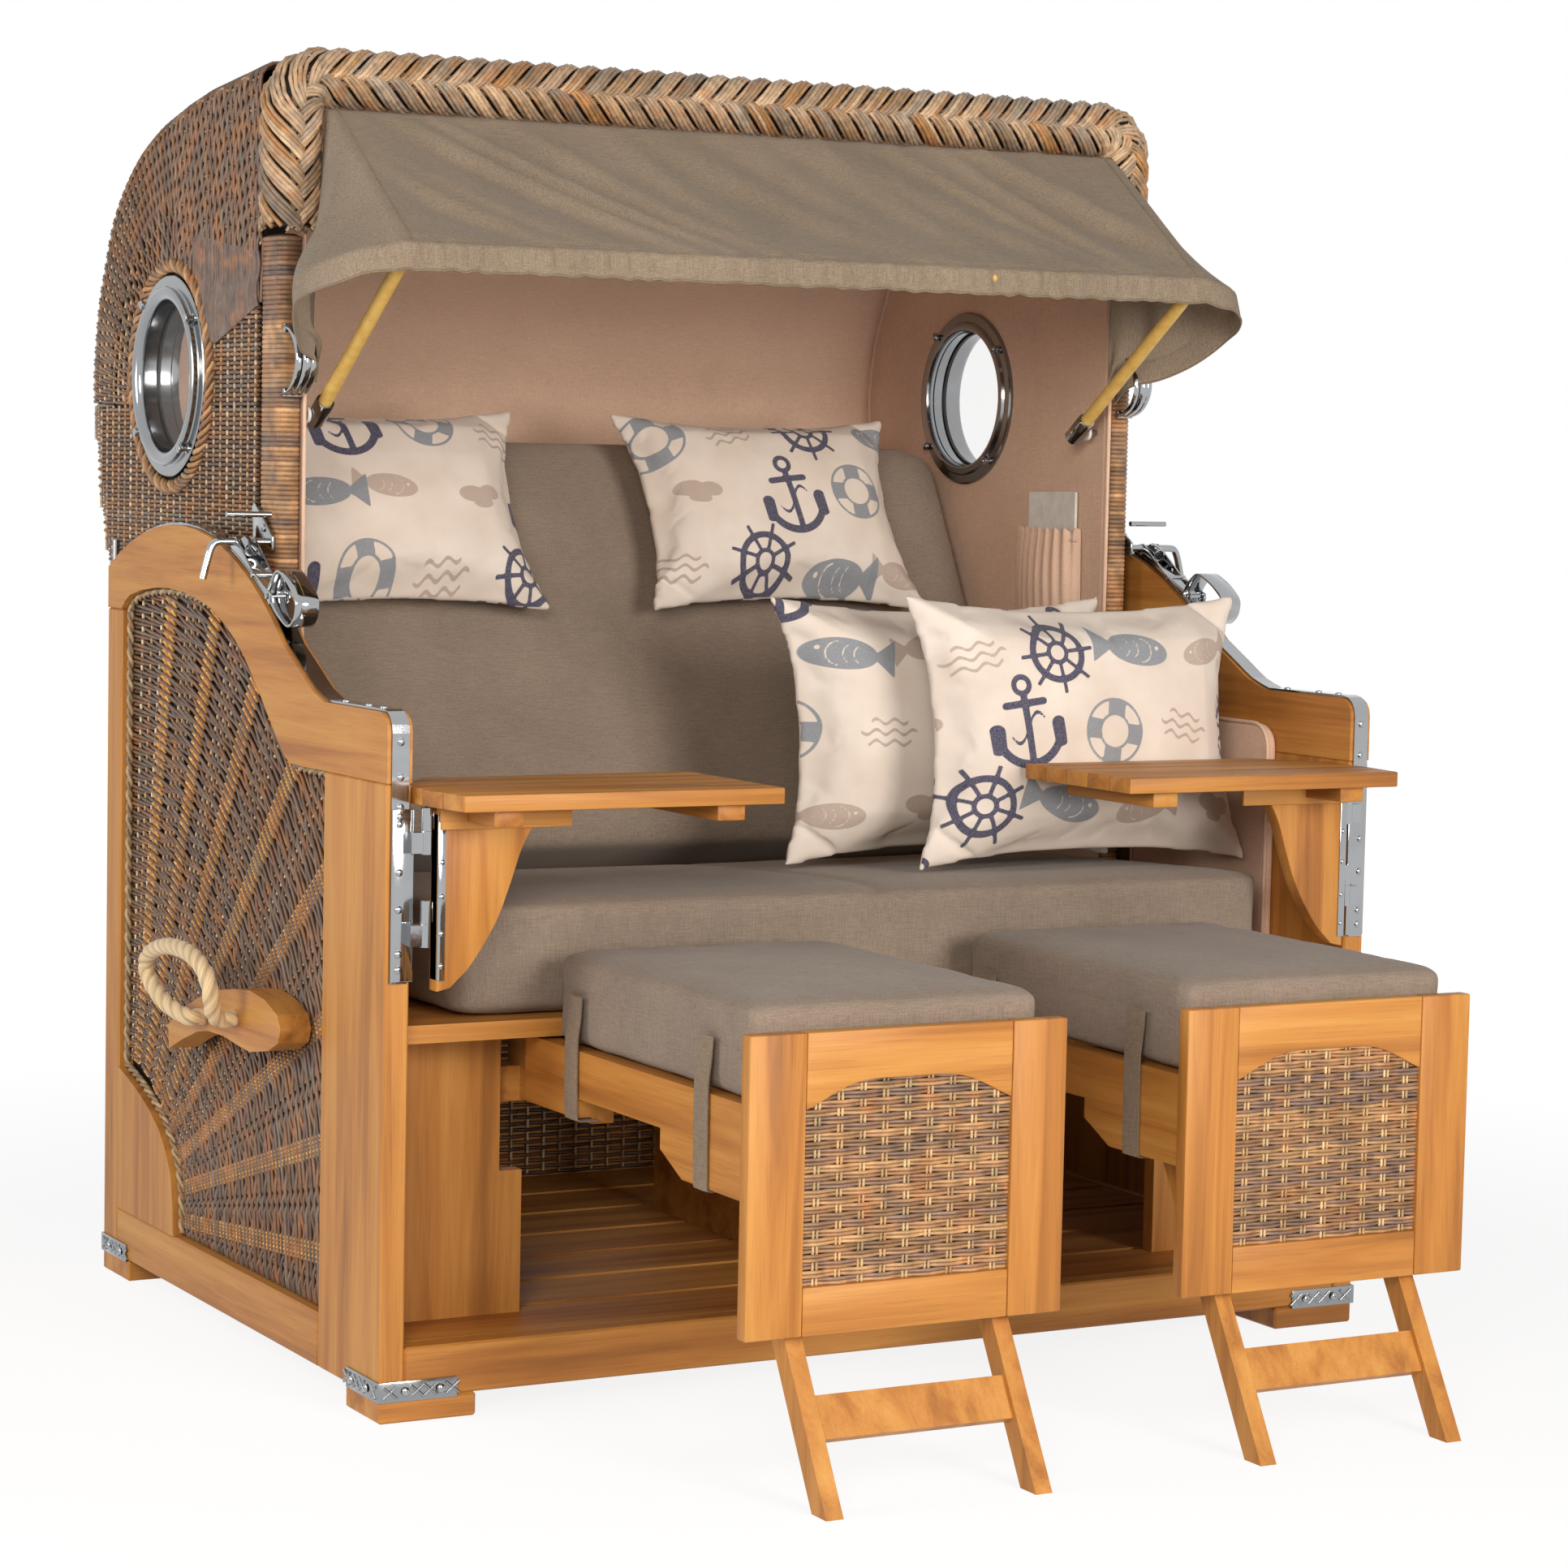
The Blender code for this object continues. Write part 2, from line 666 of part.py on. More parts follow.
def arm_top(proud=0.0):
    """Upper edge of the armrest board, front to rear; proud lifts it for the chrome strip."""
    rear_angle = math.acos((BASE_DEPTH - TILT_Y) / ARM_ARC_RADIUS)
    corner = arc((ARM_CORNER, ARM_FRONT_HEIGHT - ARM_CORNER), ARM_CORNER + proud,
                 math.radians(180), math.radians(90), 4)
    dip = []
    for point, ahead in zip(arm_dip(), [*arm_dip()[1:], None]):
        ahead = ahead or (TILT_Y + ARM_ARC_RADIUS * math.cos(ARM_ARC_FRONT_ANGLE),
                          TILT_Z + ARM_ARC_RADIUS * math.sin(ARM_ARC_FRONT_ANGLE))
        slope = (Vector(ahead) - Vector(point)).normalized()
        dip.append((point[0] - proud * slope.y, point[1] + proud * slope.x))
    sweep = arc((TILT_Y, TILT_Z), ARM_ARC_RADIUS + proud, ARM_ARC_FRONT_ANGLE, rear_angle, 14)
    return [*corner, *dip, *sweep]


def opening_edge():
    """Lower edge of the armrest board over the wicker, front to rear."""
    middle = []
    rear = math.acos(min(1, (BASE_DEPTH - REAR_POST_DEPTH - TILT_Y) / ARM_ARC_RADIUS))
    for turned, share in OPENING_EDGE_SHARES:
        turn, radius = rear + (OPENING_FRONT_ANGLE - rear) * turned, ARM_ARC_RADIUS * share
        middle.append((TILT_Y + radius * math.cos(turn), TILT_Z + radius * math.sin(turn)))
    return smooth([(POST_DEPTH, ARM_SEAM), *middle, (BASE_DEPTH - REAR_POST_DEPTH, REAR_SEAM)], 2)


def fan_edge():
    """Curved edge of the corner board, bottom to top."""
    start = BASE_DEPTH - REAR_POST_DEPTH - FAN_LENGTH
    points = [(start + FAN_LENGTH * along, BOTTOM_RAIL_TOP + FAN_HEIGHT * up) for along, up in FAN_EDGE_SHARES]
    return smooth(points, 2)


def make_side_wall(side, label, base):
    outer = BASE_WIDTH / 2
    rear = BASE_DEPTH - REAR_POST_DEPTH
    keep(round_edges(side_box(f"front_post_{label}", side, INNER, outer, (0, BASE_LOW),
                              (POST_DEPTH, ARM_SEAM))), "teak", base)
    keep(round_edges(side_box(f"rear_post_{label}", side, INNER, outer, (rear, BASE_LOW),
                              (BASE_DEPTH, REAR_SEAM))), "teak", base)
    keep(round_edges(side_box(f"bottom_rail_{label}", side, INNER, outer, (POST_DEPTH + GAP, BASE_LOW),
                              (rear - GAP, BOTTOM_RAIL_TOP))), "teak", base)
    arm = [(0, ARM_SEAM + GAP), *arm_top(), (BASE_DEPTH, REAR_SEAM + GAP), (rear, REAR_SEAM + GAP)]
    arm += [(along, up + GAP) for along, up in reversed(opening_edge()[:-1])]
    keep(side_plate(f"arm_board_{label}", side, arm, INNER, outer), "teak", base)
    fan = [(rear - GAP, BOTTOM_RAIL_TOP + GAP)]
    fan += [(min(along, rear - GAP), up + GAP) for along, up in fan_edge()]
    fan = [fan[1], *fan[2:], fan[0]]
    keep(side_plate(f"corner_fan_{label}", side, fan, INNER, outer), "teak", base)
    opening = [(POST_DEPTH, BOTTOM_RAIL_TOP), *opening_edge(), *reversed(fan_edge())]
    wicker_outer = outer - WICKER_RECESS
    keep(side_plate(f"wicker_panel_{label}", side, inset(opening, 4 * GAP),
                    wicker_outer - WICKER_THICKNESS, wicker_outer), "wicker", base)
    for end, back in (("front", False), ("rear", True)):
        near = BASE_DEPTH - FOOT_DEPTH if back else 0
        foot = side_box(f"foot_{end}_{label}", side, outer - FOOT_LENGTH, outer, (near, 0),
                        (near + FOOT_DEPTH, FOOT_HEIGHT))
        keep(round_edges(foot), "teak", base)


def make_arm_strip(side, label, base):
    """Chrome strip on the armrest and down the post, with the two knuckles that carry the table."""
    low, high = STRIP_MIDDLE - STRIP_WIDTH / 2, STRIP_MIDDLE + STRIP_WIDTH / 2
    outer_line = [(-GAP - STRIP_THICKNESS, STRIP_FOOT), *arm_top(GAP + STRIP_THICKNESS)]
    inner_line = [(-GAP, STRIP_FOOT), *arm_top(GAP)]
    strip = side_plate(f"arm_strip_{label}", side, [*outer_line, *reversed(inner_line)], low, high)
    pieces = []
    for number, height in enumerate(KNUCKLE_HEIGHTS):
        pieces.append(rod(f"strip_knuckle_{label}_{number}", (side * TABLE_AXIS_X, TABLE_AXIS_Y, height),
                          (side * TABLE_AXIS_X, TABLE_AXIS_Y, height + KNUCKLE_HEIGHT), KNUCKLE_RADIUS))
        pieces.append(side_box(f"strip_arm_{label}_{number}", side, TABLE_AXIS_X, low + EDGE,
                               (TABLE_AXIS_Y - KNUCKLE_RADIUS / 2, height + EDGE / 2),
                               (-GAP - EDGE / 5, height + KNUCKLE_HEIGHT - EDGE / 2)))
    keep(join(strip, *pieces), "chrome", base)


def make_base_floor(base):
    front = SEAT_RAIL_SETBACK
    keep(round_edges(box("front_sill", (-INNER + GAP, 0, BASE_LOW), (INNER - GAP, front - GAP, SILL_TOP))),
         "teak", base)
    rear = BASE_DEPTH - WALL - GAP
    pitch = (rear - front + DECK_SLAT_GAP) / DECK_SLATS
    reach = INNER - GAP
    deck = None
    for number in range(DECK_SLATS):
        start = front + pitch * number
        slat = box("floor_deck" if deck is None else f"deck_slat_{number}",
                   (-reach, start, SILL_TOP - DECK_SLAT_THICKNESS), (reach, start + pitch - DECK_SLAT_GAP, SILL_TOP))
        deck = slat if deck is None else join(deck, slat)
    for number, middle in enumerate((-reach + DECK_BATTEN, 0, reach - DECK_BATTEN)):
        deck = join(deck, box(f"deck_batten_{number}", (middle - DECK_BATTEN / 2, front + EDGE, BASE_LOW),
                              (middle + DECK_BATTEN / 2, rear - EDGE, SILL_TOP - DECK_SLAT_THICKNESS / 2)))
    keep(deck, "teak", base)
    panel = box("rear_panel", (-reach, BASE_DEPTH - WALL, BASE_LOW), (reach, BASE_DEPTH - EDGE, REAR_PANEL_TOP))
    inlay_low = (-reach + REAR_PANEL_FRAME, BASE_LOW + REAR_PANEL_FRAME)
    inlay_high = (reach - REAR_PANEL_FRAME, REAR_PANEL_TOP - REAR_PANEL_FRAME)
    pocket = box("rear_panel_pocket", (inlay_low[0], BASE_DEPTH - WALL + REAR_PANEL_INLAY, inlay_low[1]),
                 (inlay_high[0], BASE_DEPTH + OVERRUN, inlay_high[1]))
    keep(cut(panel, pocket), "teak", base)


def make_seat(base):
    wide = INNER - GAP
    board = box("seat_board", (-wide, SEAT_RAIL_SETBACK, SEAT_LOW), (wide, SEAT_WIDE_DEPTH, SEAT_TOP))
    rear = box("seat_board_rear", (-SEAT_REAR_HALF, SEAT_WIDE_DEPTH - OVERRUN, SEAT_LOW),
               (SEAT_REAR_HALF, SEAT_BACK, SEAT_TOP))
    guide = box("seat_guide", (-GUIDE_THICKNESS / 2, GUIDE_FRONT, SILL_TOP + GAP),
                (GUIDE_THICKNESS / 2, SEAT_BACK - OVERRUN, SEAT_TOP - SEAT_BOARD / 2))
    keep(join(board, rear, guide), "teak", base)
    for label, side in SIDES:
        low, high = SILL_TOP + GAP, SEAT_LOW - GAP
        outline = [(side * wide, low), (side * DIVIDER_STEP_INNER, low), (side * DIVIDER_STEP_INNER, DIVIDER_STEP),
                   (side * DIVIDER_INNER, DIVIDER_STEP), (side * DIVIDER_INNER, high), (side * wide, high)]
        divider = plate(f"divider_{label}", outline, DIVIDER_Y, DIVIDER_Y + DIVIDER_THICKNESS, "Y")
        keep(divider, "teak", base)
        pad_low, pad_inner = SEAT_TOP + GAP, INNER - GAP - PAD_THICKNESS
        corner = arc((PAD_FRONT + PAD_CORNER, PAD_TOP - PAD_CORNER), PAD_CORNER, math.radians(180),
                     math.radians(90), 4)
        pad = side_plate(f"side_pad_{label}", side, [(PAD_FRONT, pad_low), *corner, (PAD_BACK, PAD_TOP),
                                                     (PAD_BACK, pad_low)], pad_inner, INNER - GAP)
        keep(round_edges(pad, PAD_THICKNESS / 3), "liner", base)


def make_seat_cushion(base):
    low = (-SEAT_CUSHION_HALF, SEAT_CUSHION_FRONT, SEAT_TOP + GAP)
    high = (SEAT_CUSHION_HALF, SEAT_CUSHION_BACK, SEAT_CUSHION_CREST)
    drop = SEAT_CUSHION_CREST - SEAT_CUSHION_REAR_TOP

    def fall(place, half):
        along = (place.y / half.y + 1) / 2
        upper = max(0.0, place.z / half.z)
        seam = math.exp(-(place.x / (half.z / 4)) ** 2)
        place.z -= upper * (drop * along + SEAT_SEAM_DEPTH * seam)
        place.y += seam * SEAT_SEAM_DEPTH * (1 - along) ** 2
        place.z = max(place.z, -half.z)
        return place
    cushion = padded_block("seat_cushion", low, high, SEAT_CROWN, DRAW_SHARE, 3, fall)
    flatten(cushion, SEAT_TOP + GAP)
    return keep(apply_modifiers(cushion), "cover", base)


def flatten(item, floor):
    """Keep every point of a soft piece above the board it lies on."""
    for vertex in item.data.vertices:
        vertex.co.z = max(vertex.co.z, floor)


def make_handle(side, label, base):
    start, face = HANDLE_MIDDLE - HANDLE_LENGTH / 2, BASE_WIDTH / 2 - WICKER_RECESS + GAP
    outline = smooth([(start + HANDLE_LENGTH * along, HANDLE_BASE + HANDLE_HEIGHT * up)
                      for along, up in (*HANDLE_SHARES, HANDLE_SHARES[0])], 1)[:-1]
    block = side_plate(f"handle_block_{label}", side, outline, face, face + HANDLE_THICKNESS)
    keep(round_edges(block, EDGE * 2), "teak", base)
    out = face + HANDLE_THICKNESS + GAP - ROPE_POINTS[0][0]
    route = smooth([(side * (out + reach), along, up) for reach, along, up in ROPE_POINTS], 2)
    keep(smooth_shade(tube(f"rope_loop_{label}", route, ROPE_RADIUS, 2)), "rope", base)


# Hood

def hood_roof(depth_inset=0.0):
    """Roof and back of the hood from front to rear low end, moved inwards by the inset."""
    front = HOOD_FRONT + HOOD_POST_DEPTH + GAP
    line = [(front + (HOOD_REACH - front) * along, HOOD_REAR_LOW + (HOOD_TOP - HOOD_REAR_LOW) * up)
            for along, up in ROOF_SHARES]
    if depth_inset:
        closed = [*line, (front, HOOD_REAR_LOW)]
        line = inset(closed, depth_inset)[:-1]
    return line


def underside(distance, offset=0.0):
    """A point on the hood's slanted underside, at a distance from the tilt axis."""
    along, up = math.cos(UNDERSIDE_ANGLE), math.sin(UNDERSIDE_ANGLE)
    return TILT_Y + distance * along - offset * up, TILT_Z + distance * up + offset * along


def make_basket(hood):
    front = HOOD_FRONT + HOOD_POST_DEPTH + GAP
    lug = arc((TILT_Y, TILT_Z), HOOD_LUG, math.radians(225), math.radians(330), 5)
    outline = [*hood_roof(), underside(UNDERSIDE_START), *reversed(lug), (front, HOOD_POST_FOOT)]
    basket = plate("hood_basket", outline, -HOOD_HALF, HOOD_HALF)
    round_edges(basket, HOOD_ROUNDING, 2, 60)
    inner = HOOD_HALF - HOOD_WALL
    roof = hood_roof(HOOD_WALL)
    hollow = [(front - OVERRUN, roof[0][1]), *roof[1:-1]]
    while hollow[-1][1] < underside(0, HOOD_WALL)[1] + (hollow[-1][0] - TILT_Y) * math.tan(UNDERSIDE_ANGLE):
        hollow.pop()
    last = hollow[-1]
    reach = (last[0] - TILT_Y + HOOD_WALL * math.sin(UNDERSIDE_ANGLE)) / math.cos(UNDERSIDE_ANGLE)
    hollow += [underside(reach - HOOD_WALL / 3, HOOD_WALL), underside(UNDERSIDE_PANEL_START, HOOD_WALL),
               underside(UNDERSIDE_PANEL_START, -HOOD_LUG), (TILT_Y, TILT_Z - 2 * HOOD_LUG),
               (front - OVERRUN, TILT_Z - 2 * HOOD_LUG)]
    cut(basket, plate("hood_hollow", hollow, -inner, inner))
    hole = rod("porthole_cut", (-HOOD_HALF - OVERRUN, PORTHOLE_Y, PORTHOLE_Z),
               (HOOD_HALF + OVERRUN, PORTHOLE_Y, PORTHOLE_Z), PORTHOLE_SLEEVE + 2 * GAP, 32)
    cut(basket, hole)
    panel_face = BASE_WIDTH / 2 - WICKER_RECESS - WICKER_THICKNESS - GAP
    for label, side in SIDES:
        join(basket, rod(f"tilt_boss_{label}", (side * (HOOD_HALF - HOOD_WALL / 2), TILT_Y, TILT_Z),
                         (side * panel_face, TILT_Y, TILT_Z), TILT_BOSS))
    keep(basket, "wicker", hood)


def make_hood_front(hood):
    for label, side in SIDES:
        post = side_box(f"hood_post_{label}", side, HOOD_HALF - HOOD_WALL, HOOD_HALF, (HOOD_FRONT, HOOD_POST_FOOT),
                        (HOOD_FRONT + HOOD_POST_DEPTH, BRAID_LOW - GAP))
        keep(round_edges(post, HOOD_POST_ROUNDING, 2), "wicker", hood)
    section = bpy.data.curves.new("braid_section", "CURVE")
    section.dimensions = "2D"
    spline = section.splines.new("POLY")
    ring = arc((0, 0), 1, 0, math.radians(360), 14)[:-1]
    spline.points.add(len(ring) - 1)
    for point, (across, up) in zip(spline.points, ring):
        point.co = (across * BRAID_THICKNESS / 2, up * BRAID_DEPTH / 2, 0, 1)
    spline.use_cyclic_u = True
    profile = bpy.data.objects.new("braid_section", section)
    TOOLS.objects.link(profile)
    profile.hide_render = True
    half, top = BRAID_HALF - BRAID_THICKNESS / 2, BRAID_TOP - BRAID_THICKNESS / 2
    bend = arc((half - BRAID_BEND, top - BRAID_BEND), BRAID_BEND, 0, math.radians(90), 5)
    right = [(half, BRAID_LOW), *bend]
    line = [*right, *[(-across, up) for across, up in reversed(right)]]
    middle = HOOD_FRONT + HOOD_POST_DEPTH - BRAID_DEPTH / 2
    braid = tube("hood_braid", [(across, middle, up) for across, up in line], 0, section=profile)
    keep(smooth_shade(braid, 60), "braid", hood)


def make_porthole(side, label, hood):
    """Turned ring with its pane; the profile is (radius, place across the hood's side)."""
    outer, inner = HOOD_HALF + GAP, HOOD_HALF - HOOD_WALL - GAP
    glass = (outer + inner) / 2
    profile = [(0, glass + PORTHOLE_GLASS / 2), (PORTHOLE_BORE, glass + PORTHOLE_GLASS / 2),
               (PORTHOLE_BORE, outer + PORTHOLE_RIM_OUT), (PORTHOLE_RIM, outer + PORTHOLE_RIM_OUT),
               (PORTHOLE_RIM, outer + PORTHOLE_FLANGE_THICKNESS),
               (PORTHOLE_FLANGE, outer + PORTHOLE_FLANGE_THICKNESS), (PORTHOLE_FLANGE, outer),
               (PORTHOLE_SLEEVE, outer), (PORTHOLE_SLEEVE, inner), (PORTHOLE_INNER_FLANGE, inner),
               (PORTHOLE_INNER_FLANGE, inner - PORTHOLE_FLANGE_THICKNESS),
               (PORTHOLE_BORE, inner - PORTHOLE_FLANGE_THICKNESS),
               (PORTHOLE_BORE, glass - PORTHOLE_GLASS / 2), (0, glass - PORTHOLE_GLASS / 2)]
    mesh = bpy.data.meshes.new(f"porthole_{label}")
    mesh.from_pydata([(radius, 0, place) for radius, place in profile],
                     [(number, number + 1) for number in range(len(profile) - 1)], [])
    ring = bpy.data.objects.new(f"porthole_{label}", mesh)
    CHAIR.objects.link(ring)
    screw = ring.modifiers.new("turn", "SCREW")
    screw.axis = "Z"
    screw.steps = 28
    screw.render_steps = 28
    screw.use_merge_vertices = True
    screw.merge_threshold = GAP / 3
    ring = apply_modifiers(ring)
    across = Matrix(((0, 0, side, 0), (0, 1, 0, PORTHOLE_Y), (1, 0, 0, PORTHOLE_Z), (0, 0, 0, 1)))
    shaped = bmesh.new()
    shaped.from_mesh(ring.data)
    bmesh.ops.transform(shaped, matrix=across, verts=shaped.verts)
    bmesh.ops.recalc_face_normals(shaped, faces=shaped.faces)
    shaped.to_mesh(ring.data)
    shaped.free()
    keep(smooth_shade(ring, 30), "steel", hood)


def make_grip(side, label, hood):
    """Arched chrome band on the front of the hood's post."""
    middle, half = (GRIP_LOW + GRIP_HIGH) / 2, (GRIP_HIGH - GRIP_LOW) / 2
    foot = HOOD_FRONT - GAP
    turns = [math.radians(-90 + 180 * step / 12) for step in range(13)]
    outer = [(foot - GRIP_REACH * math.cos(turn), middle + half * math.sin(turn)) for turn in turns]
    inner = [(foot - (GRIP_REACH - GRIP_BAND) * math.cos(turn), middle + (half - GRIP_BAND) * math.sin(turn))
             for turn in turns]
    post_middle = HOOD_HALF - HOOD_WALL / 2
    grip = side_plate(f"bow_grip_{label}", side, [*outer, *reversed(inner)], post_middle - GRIP_WIDTH / 2,
                      post_middle + GRIP_WIDTH / 2)
    keep(round_edges(grip, EDGE / 2), "chrome", hood)


def make_backrest():
    """Foam in canvas, as thick as the space to the edge of the underside panel that it leans on."""
    lean = Vector((BACK_END, BACK_HIGH)) - Vector((BACK_START, BACK_LOW))
    length = lean.length
    rearward = Vector((lean.y, -lean.x)) / length
    edge = Vector(underside(UNDERSIDE_PANEL_START, HOOD_WALL))
    thickness = (edge - Vector((BACK_START, BACK_LOW))).dot(rearward) - GAP
    low = (-BACK_HALF, -thickness / 2, 0)
    high = (BACK_HALF, thickness / 2, length)

    def crown(place, half):
        up = place.z / half.z
        across = place.x / half.x
        full = (1 - across ** 2) * (1 - up ** 2)
        if place.y < 0:
            place.y -= BACK_CROWN * max(0.0, full) ** 0.5
            place.y += SEAT_SEAM_DEPTH * math.exp(-(place.x / BACK_SEAM_HALF) ** 2)
        return place
    cushion = padded_block("backrest_cushion", low, high, 0, BACK_DRAW_SHARE, 3, crown)
    cushion = apply_modifiers(cushion)
    angle = math.atan2(lean.x, lean.y)
    turn = Matrix.Rotation(-angle, 4, "X")
    centre = Vector((0, BACK_START, BACK_LOW)) + turn @ Vector((0, thickness / 2, 0))
    cushion.data.transform(Matrix.Translation(centre) @ turn)
    return cushion, turn


def make_pillows(base, hood, seat_cushion):
    cushion, turn = make_backrest()
    forward = turn @ Vector((0, -1, 0))
    along = turn @ Vector((0, 0, 1))
    foot = Vector((0, BACK_START, BACK_LOW))
    reach = (NECK_PILLOW_BOTTOM - BACK_LOW) / along.z + NECK_PILLOW_HEIGHT / 2
    neck_size = (NECK_PILLOW_WIDTH, NECK_PILLOW_HEIGHT, NECK_PILLOW_THICKNESS)
    throw_size = (THROW_PILLOW_WIDTH, THROW_PILLOW_HEIGHT, THROW_PILLOW_THICKNESS)
    for label, across in (("left", NECK_PILLOW_LEFT), ("right", NECK_PILLOW_RIGHT)):
        centre = foot + along * reach + forward * NECK_PILLOW_THICKNESS
        centre.x = across
        neck = pillow(f"neck_pillow_{label}", neck_size, turn, centre)
        rest_on(neck, cushion, -forward)
        keep(neck, "print", hood)
    keep(cushion, "cover", hood)
    seat_place = seat_cushion.location.copy()
    seat_cushion.location = (0, 0, 0)
    lean = Matrix.Rotation(-THROW_LEAN, 4, "X")
    for name, across, back in (("throw_pillow_front", THROW_FRONT_X, THROW_FRONT_Y),
                               ("throw_pillow_rear", THROW_REAR_X, THROW_REAR_Y)):
        place = Vector((across, back, SEAT_CUSHION_CREST + THROW_PILLOW_HEIGHT))
        throw = pillow(name, throw_size, lean, place)
        rest_on(throw, seat_cushion, (0, 0, -1))
        keep(throw, "print", base)
    seat_cushion.location = seat_place


# Canopy

def make_bow(bow):
    start, front = Vector((BOW_HALF, BOW_PIVOT_Y, BOW_PIVOT_Z)), Vector((BOW_HALF, BOW_FRONT_Y, BOW_FRONT_Z))
    run = (front - start).normalized()
    bend = []
    for step in range(6):
        turn = math.radians(90) * step / 5
        corner = front - run * BOW_BEND - Vector((BOW_BEND, 0, 0))
        bend.append(corner + Vector((BOW_BEND * math.cos(turn), 0, 0)) + run * BOW_BEND * math.sin(turn))
    right = [start, *bend]
    route = [*right, *[Vector((-point.x, point.y, point.z)) for point in reversed(right)]]
    item = tube("canopy_bow", route, BOW_RADIUS, 3)
    for label, side in SIDES:
        socket_start = Vector((side * BOW_HALF, start.y, start.z)) - run * BOW_SOCKET_LENGTH / 3
        socket = rod(f"bow_socket_{label}", socket_start, socket_start + run * BOW_SOCKET_LENGTH, BOW_SOCKET_RADIUS)
        pin = rod(f"bow_pin_{label}", (side * BOW_HALF, start.y, start.z),
                  (side * (HOOD_HALF - HOOD_WALL - GAP), start.y, start.z), BOW_PIN_RADIUS)
        join(item, socket, pin)
    keep(item, "tube", bow)


def make_canopy(hood):
    """Cloth between the hood's front edge and the bow, with a flap on each side and soft folds."""
    rise = HOOD_TOP - BOW_PIVOT_Z

    def across(shares, depth):
        points = [(HOOD_HALF * out, HOOD_FRONT - depth * ahead, BOW_PIVOT_Z + rise * up) for out, ahead, up in shares]
        right = smooth(points, 2)
        left = [(-point[0], point[1], point[2]) for point in right]
        return right, left
    head_right, head_left = across(CLOTH_HEAD_SHARES, HOOD_POST_DEPTH)
    hem_right, hem_left = across(CLOTH_HEM_SHARES, HOOD_FRONT - BOW_FRONT_Y)

    def line(left, right):
        """Side flap, straight front, side flap."""
        start, end = Vector(left[-1]), Vector(right[-1])
        middle = [tuple(start.lerp(end, step / CLOTH_COLUMNS)) for step in range(1, CLOTH_COLUMNS)]
        return [Vector(point) for point in [*left, *middle, *reversed(right)]]
    head, hem = line(head_left, head_right), line(hem_left, hem_right)
    columns = len(head)
    mesh = bpy.data.meshes.new("canopy_cloth")
    grid = bmesh.new()
    bmesh.ops.create_grid(grid, x_segments=columns - 1, y_segments=CLOTH_ROWS, size=1)
    for vertex in grid.verts:
        column = round((vertex.co.x + 1) / 2 * (columns - 1))
        down = (1 - vertex.co.y) / 2
        place = head[column].lerp(hem[column], down)
        flat = min(1.0, max(0.0, (BOW_HALF - abs(place.x)) / (BOW_HALF / 6)))
        wave = math.sin(math.pi * down) * flat
        place.z -= CLOTH_SAG * wave
        place.z += CLOTH_FOLD * wave * math.sin(CLOTH_FOLDS * math.pi * (place.x / BOW_HALF + 0.4 * down))
        vertex.co = place
    bmesh.ops.recalc_face_normals(grid, faces=grid.faces)
    grid.to_mesh(mesh)
    grid.free()
    cloth = bpy.data.objects.new("canopy_cloth", mesh)
    CHAIR.objects.link(cloth)
    solid = cloth.modifiers.new("thickness", "SOLIDIFY")
    solid.thickness = CLOTH
    solid.offset = 0
    for polygon in mesh.polygons:
        polygon.use_smooth = True
    keep(cloth, "canopy", hood)


# Clamps on the armrests

def clamp_frame():
    """Foot of the clamp on the arc, and its directions along and away from the armrest."""
    away = Vector((math.cos(CLAMP_ANGLE), math.sin(CLAMP_ANGLE)))
    ahead = Vector((-away.y, away.x))
    foot = Vector((TILT_Y, TILT_Z)) + away * (ARM_ARC_RADIUS + STRIP_THICKNESS + 3 * GAP)
    return foot, ahead, away


def make_clamp(side, label, hood):
    foot, ahead, away = clamp_frame()
    half = CLAMP_SHOE_LENGTH / 2
    sweep = half / ARM_ARC_RADIUS
    lower = arc((TILT_Y, TILT_Z), (foot - Vector((TILT_Y, TILT_Z))).length, CLAMP_ANGLE + sweep,
                CLAMP_ANGLE - sweep, 5)
    upper = arc((TILT_Y, TILT_Z), (foot - Vector((TILT_Y, TILT_Z))).length + CLAMP_SHOE_HEIGHT,
                CLAMP_ANGLE - sweep, CLAMP_ANGLE + sweep, 5)
    inner = HOOD_HALF + GAP
    shoe = side_plate(f"clamp_{label}", side, [*lower, *upper], inner, STRIP_MIDDLE + STRIP_WIDTH / 2)
    low_front, low_rear = foot + ahead * half * 0.6, foot - ahead * half * 0.9
    rear, high = HOOD_FRONT + HOOD_POST_DEPTH / 2, low_rear.y + CLAMP_PLATE_SIZE
    plate_outline = [tuple(low_front), tuple(low_rear), (rear, low_rear.y + CLAMP_SHOE_HEIGHT), (rear, high),
                     (low_rear.x, high)]
    cheek = side_plate(f"clamp_cheek_{label}", side, plate_outline, inner, inner + CLAMP_PLATE)
    pin, back = lever_pin_place(), foot + ahead * half * 0.6
    tip = pin + ahead * 3 * LEVER_PIN - away * (LEVER_PIN + GAP)
    ear_outline = [tuple(back), tuple(tip), tuple(tip + away * 2 * CLAMP_SHOE_HEIGHT),
                   tuple(back + away * (CLAMP_SHOE_HEIGHT - CLAMP_EAR / 4))]
    near, far = STRIP_MIDDLE - LEVER_WIDTH / 2 - GAP, STRIP_MIDDLE + LEVER_WIDTH / 2 + GAP
    join(shoe, cheek, side_plate(f"clamp_ear_{label}", side, ear_outline, near - CLAMP_EAR, near),
         side_plate(f"clamp_outer_ear_{label}", side, ear_outline, far, far + CLAMP_EAR))
    keep(shoe, "chrome", hood)


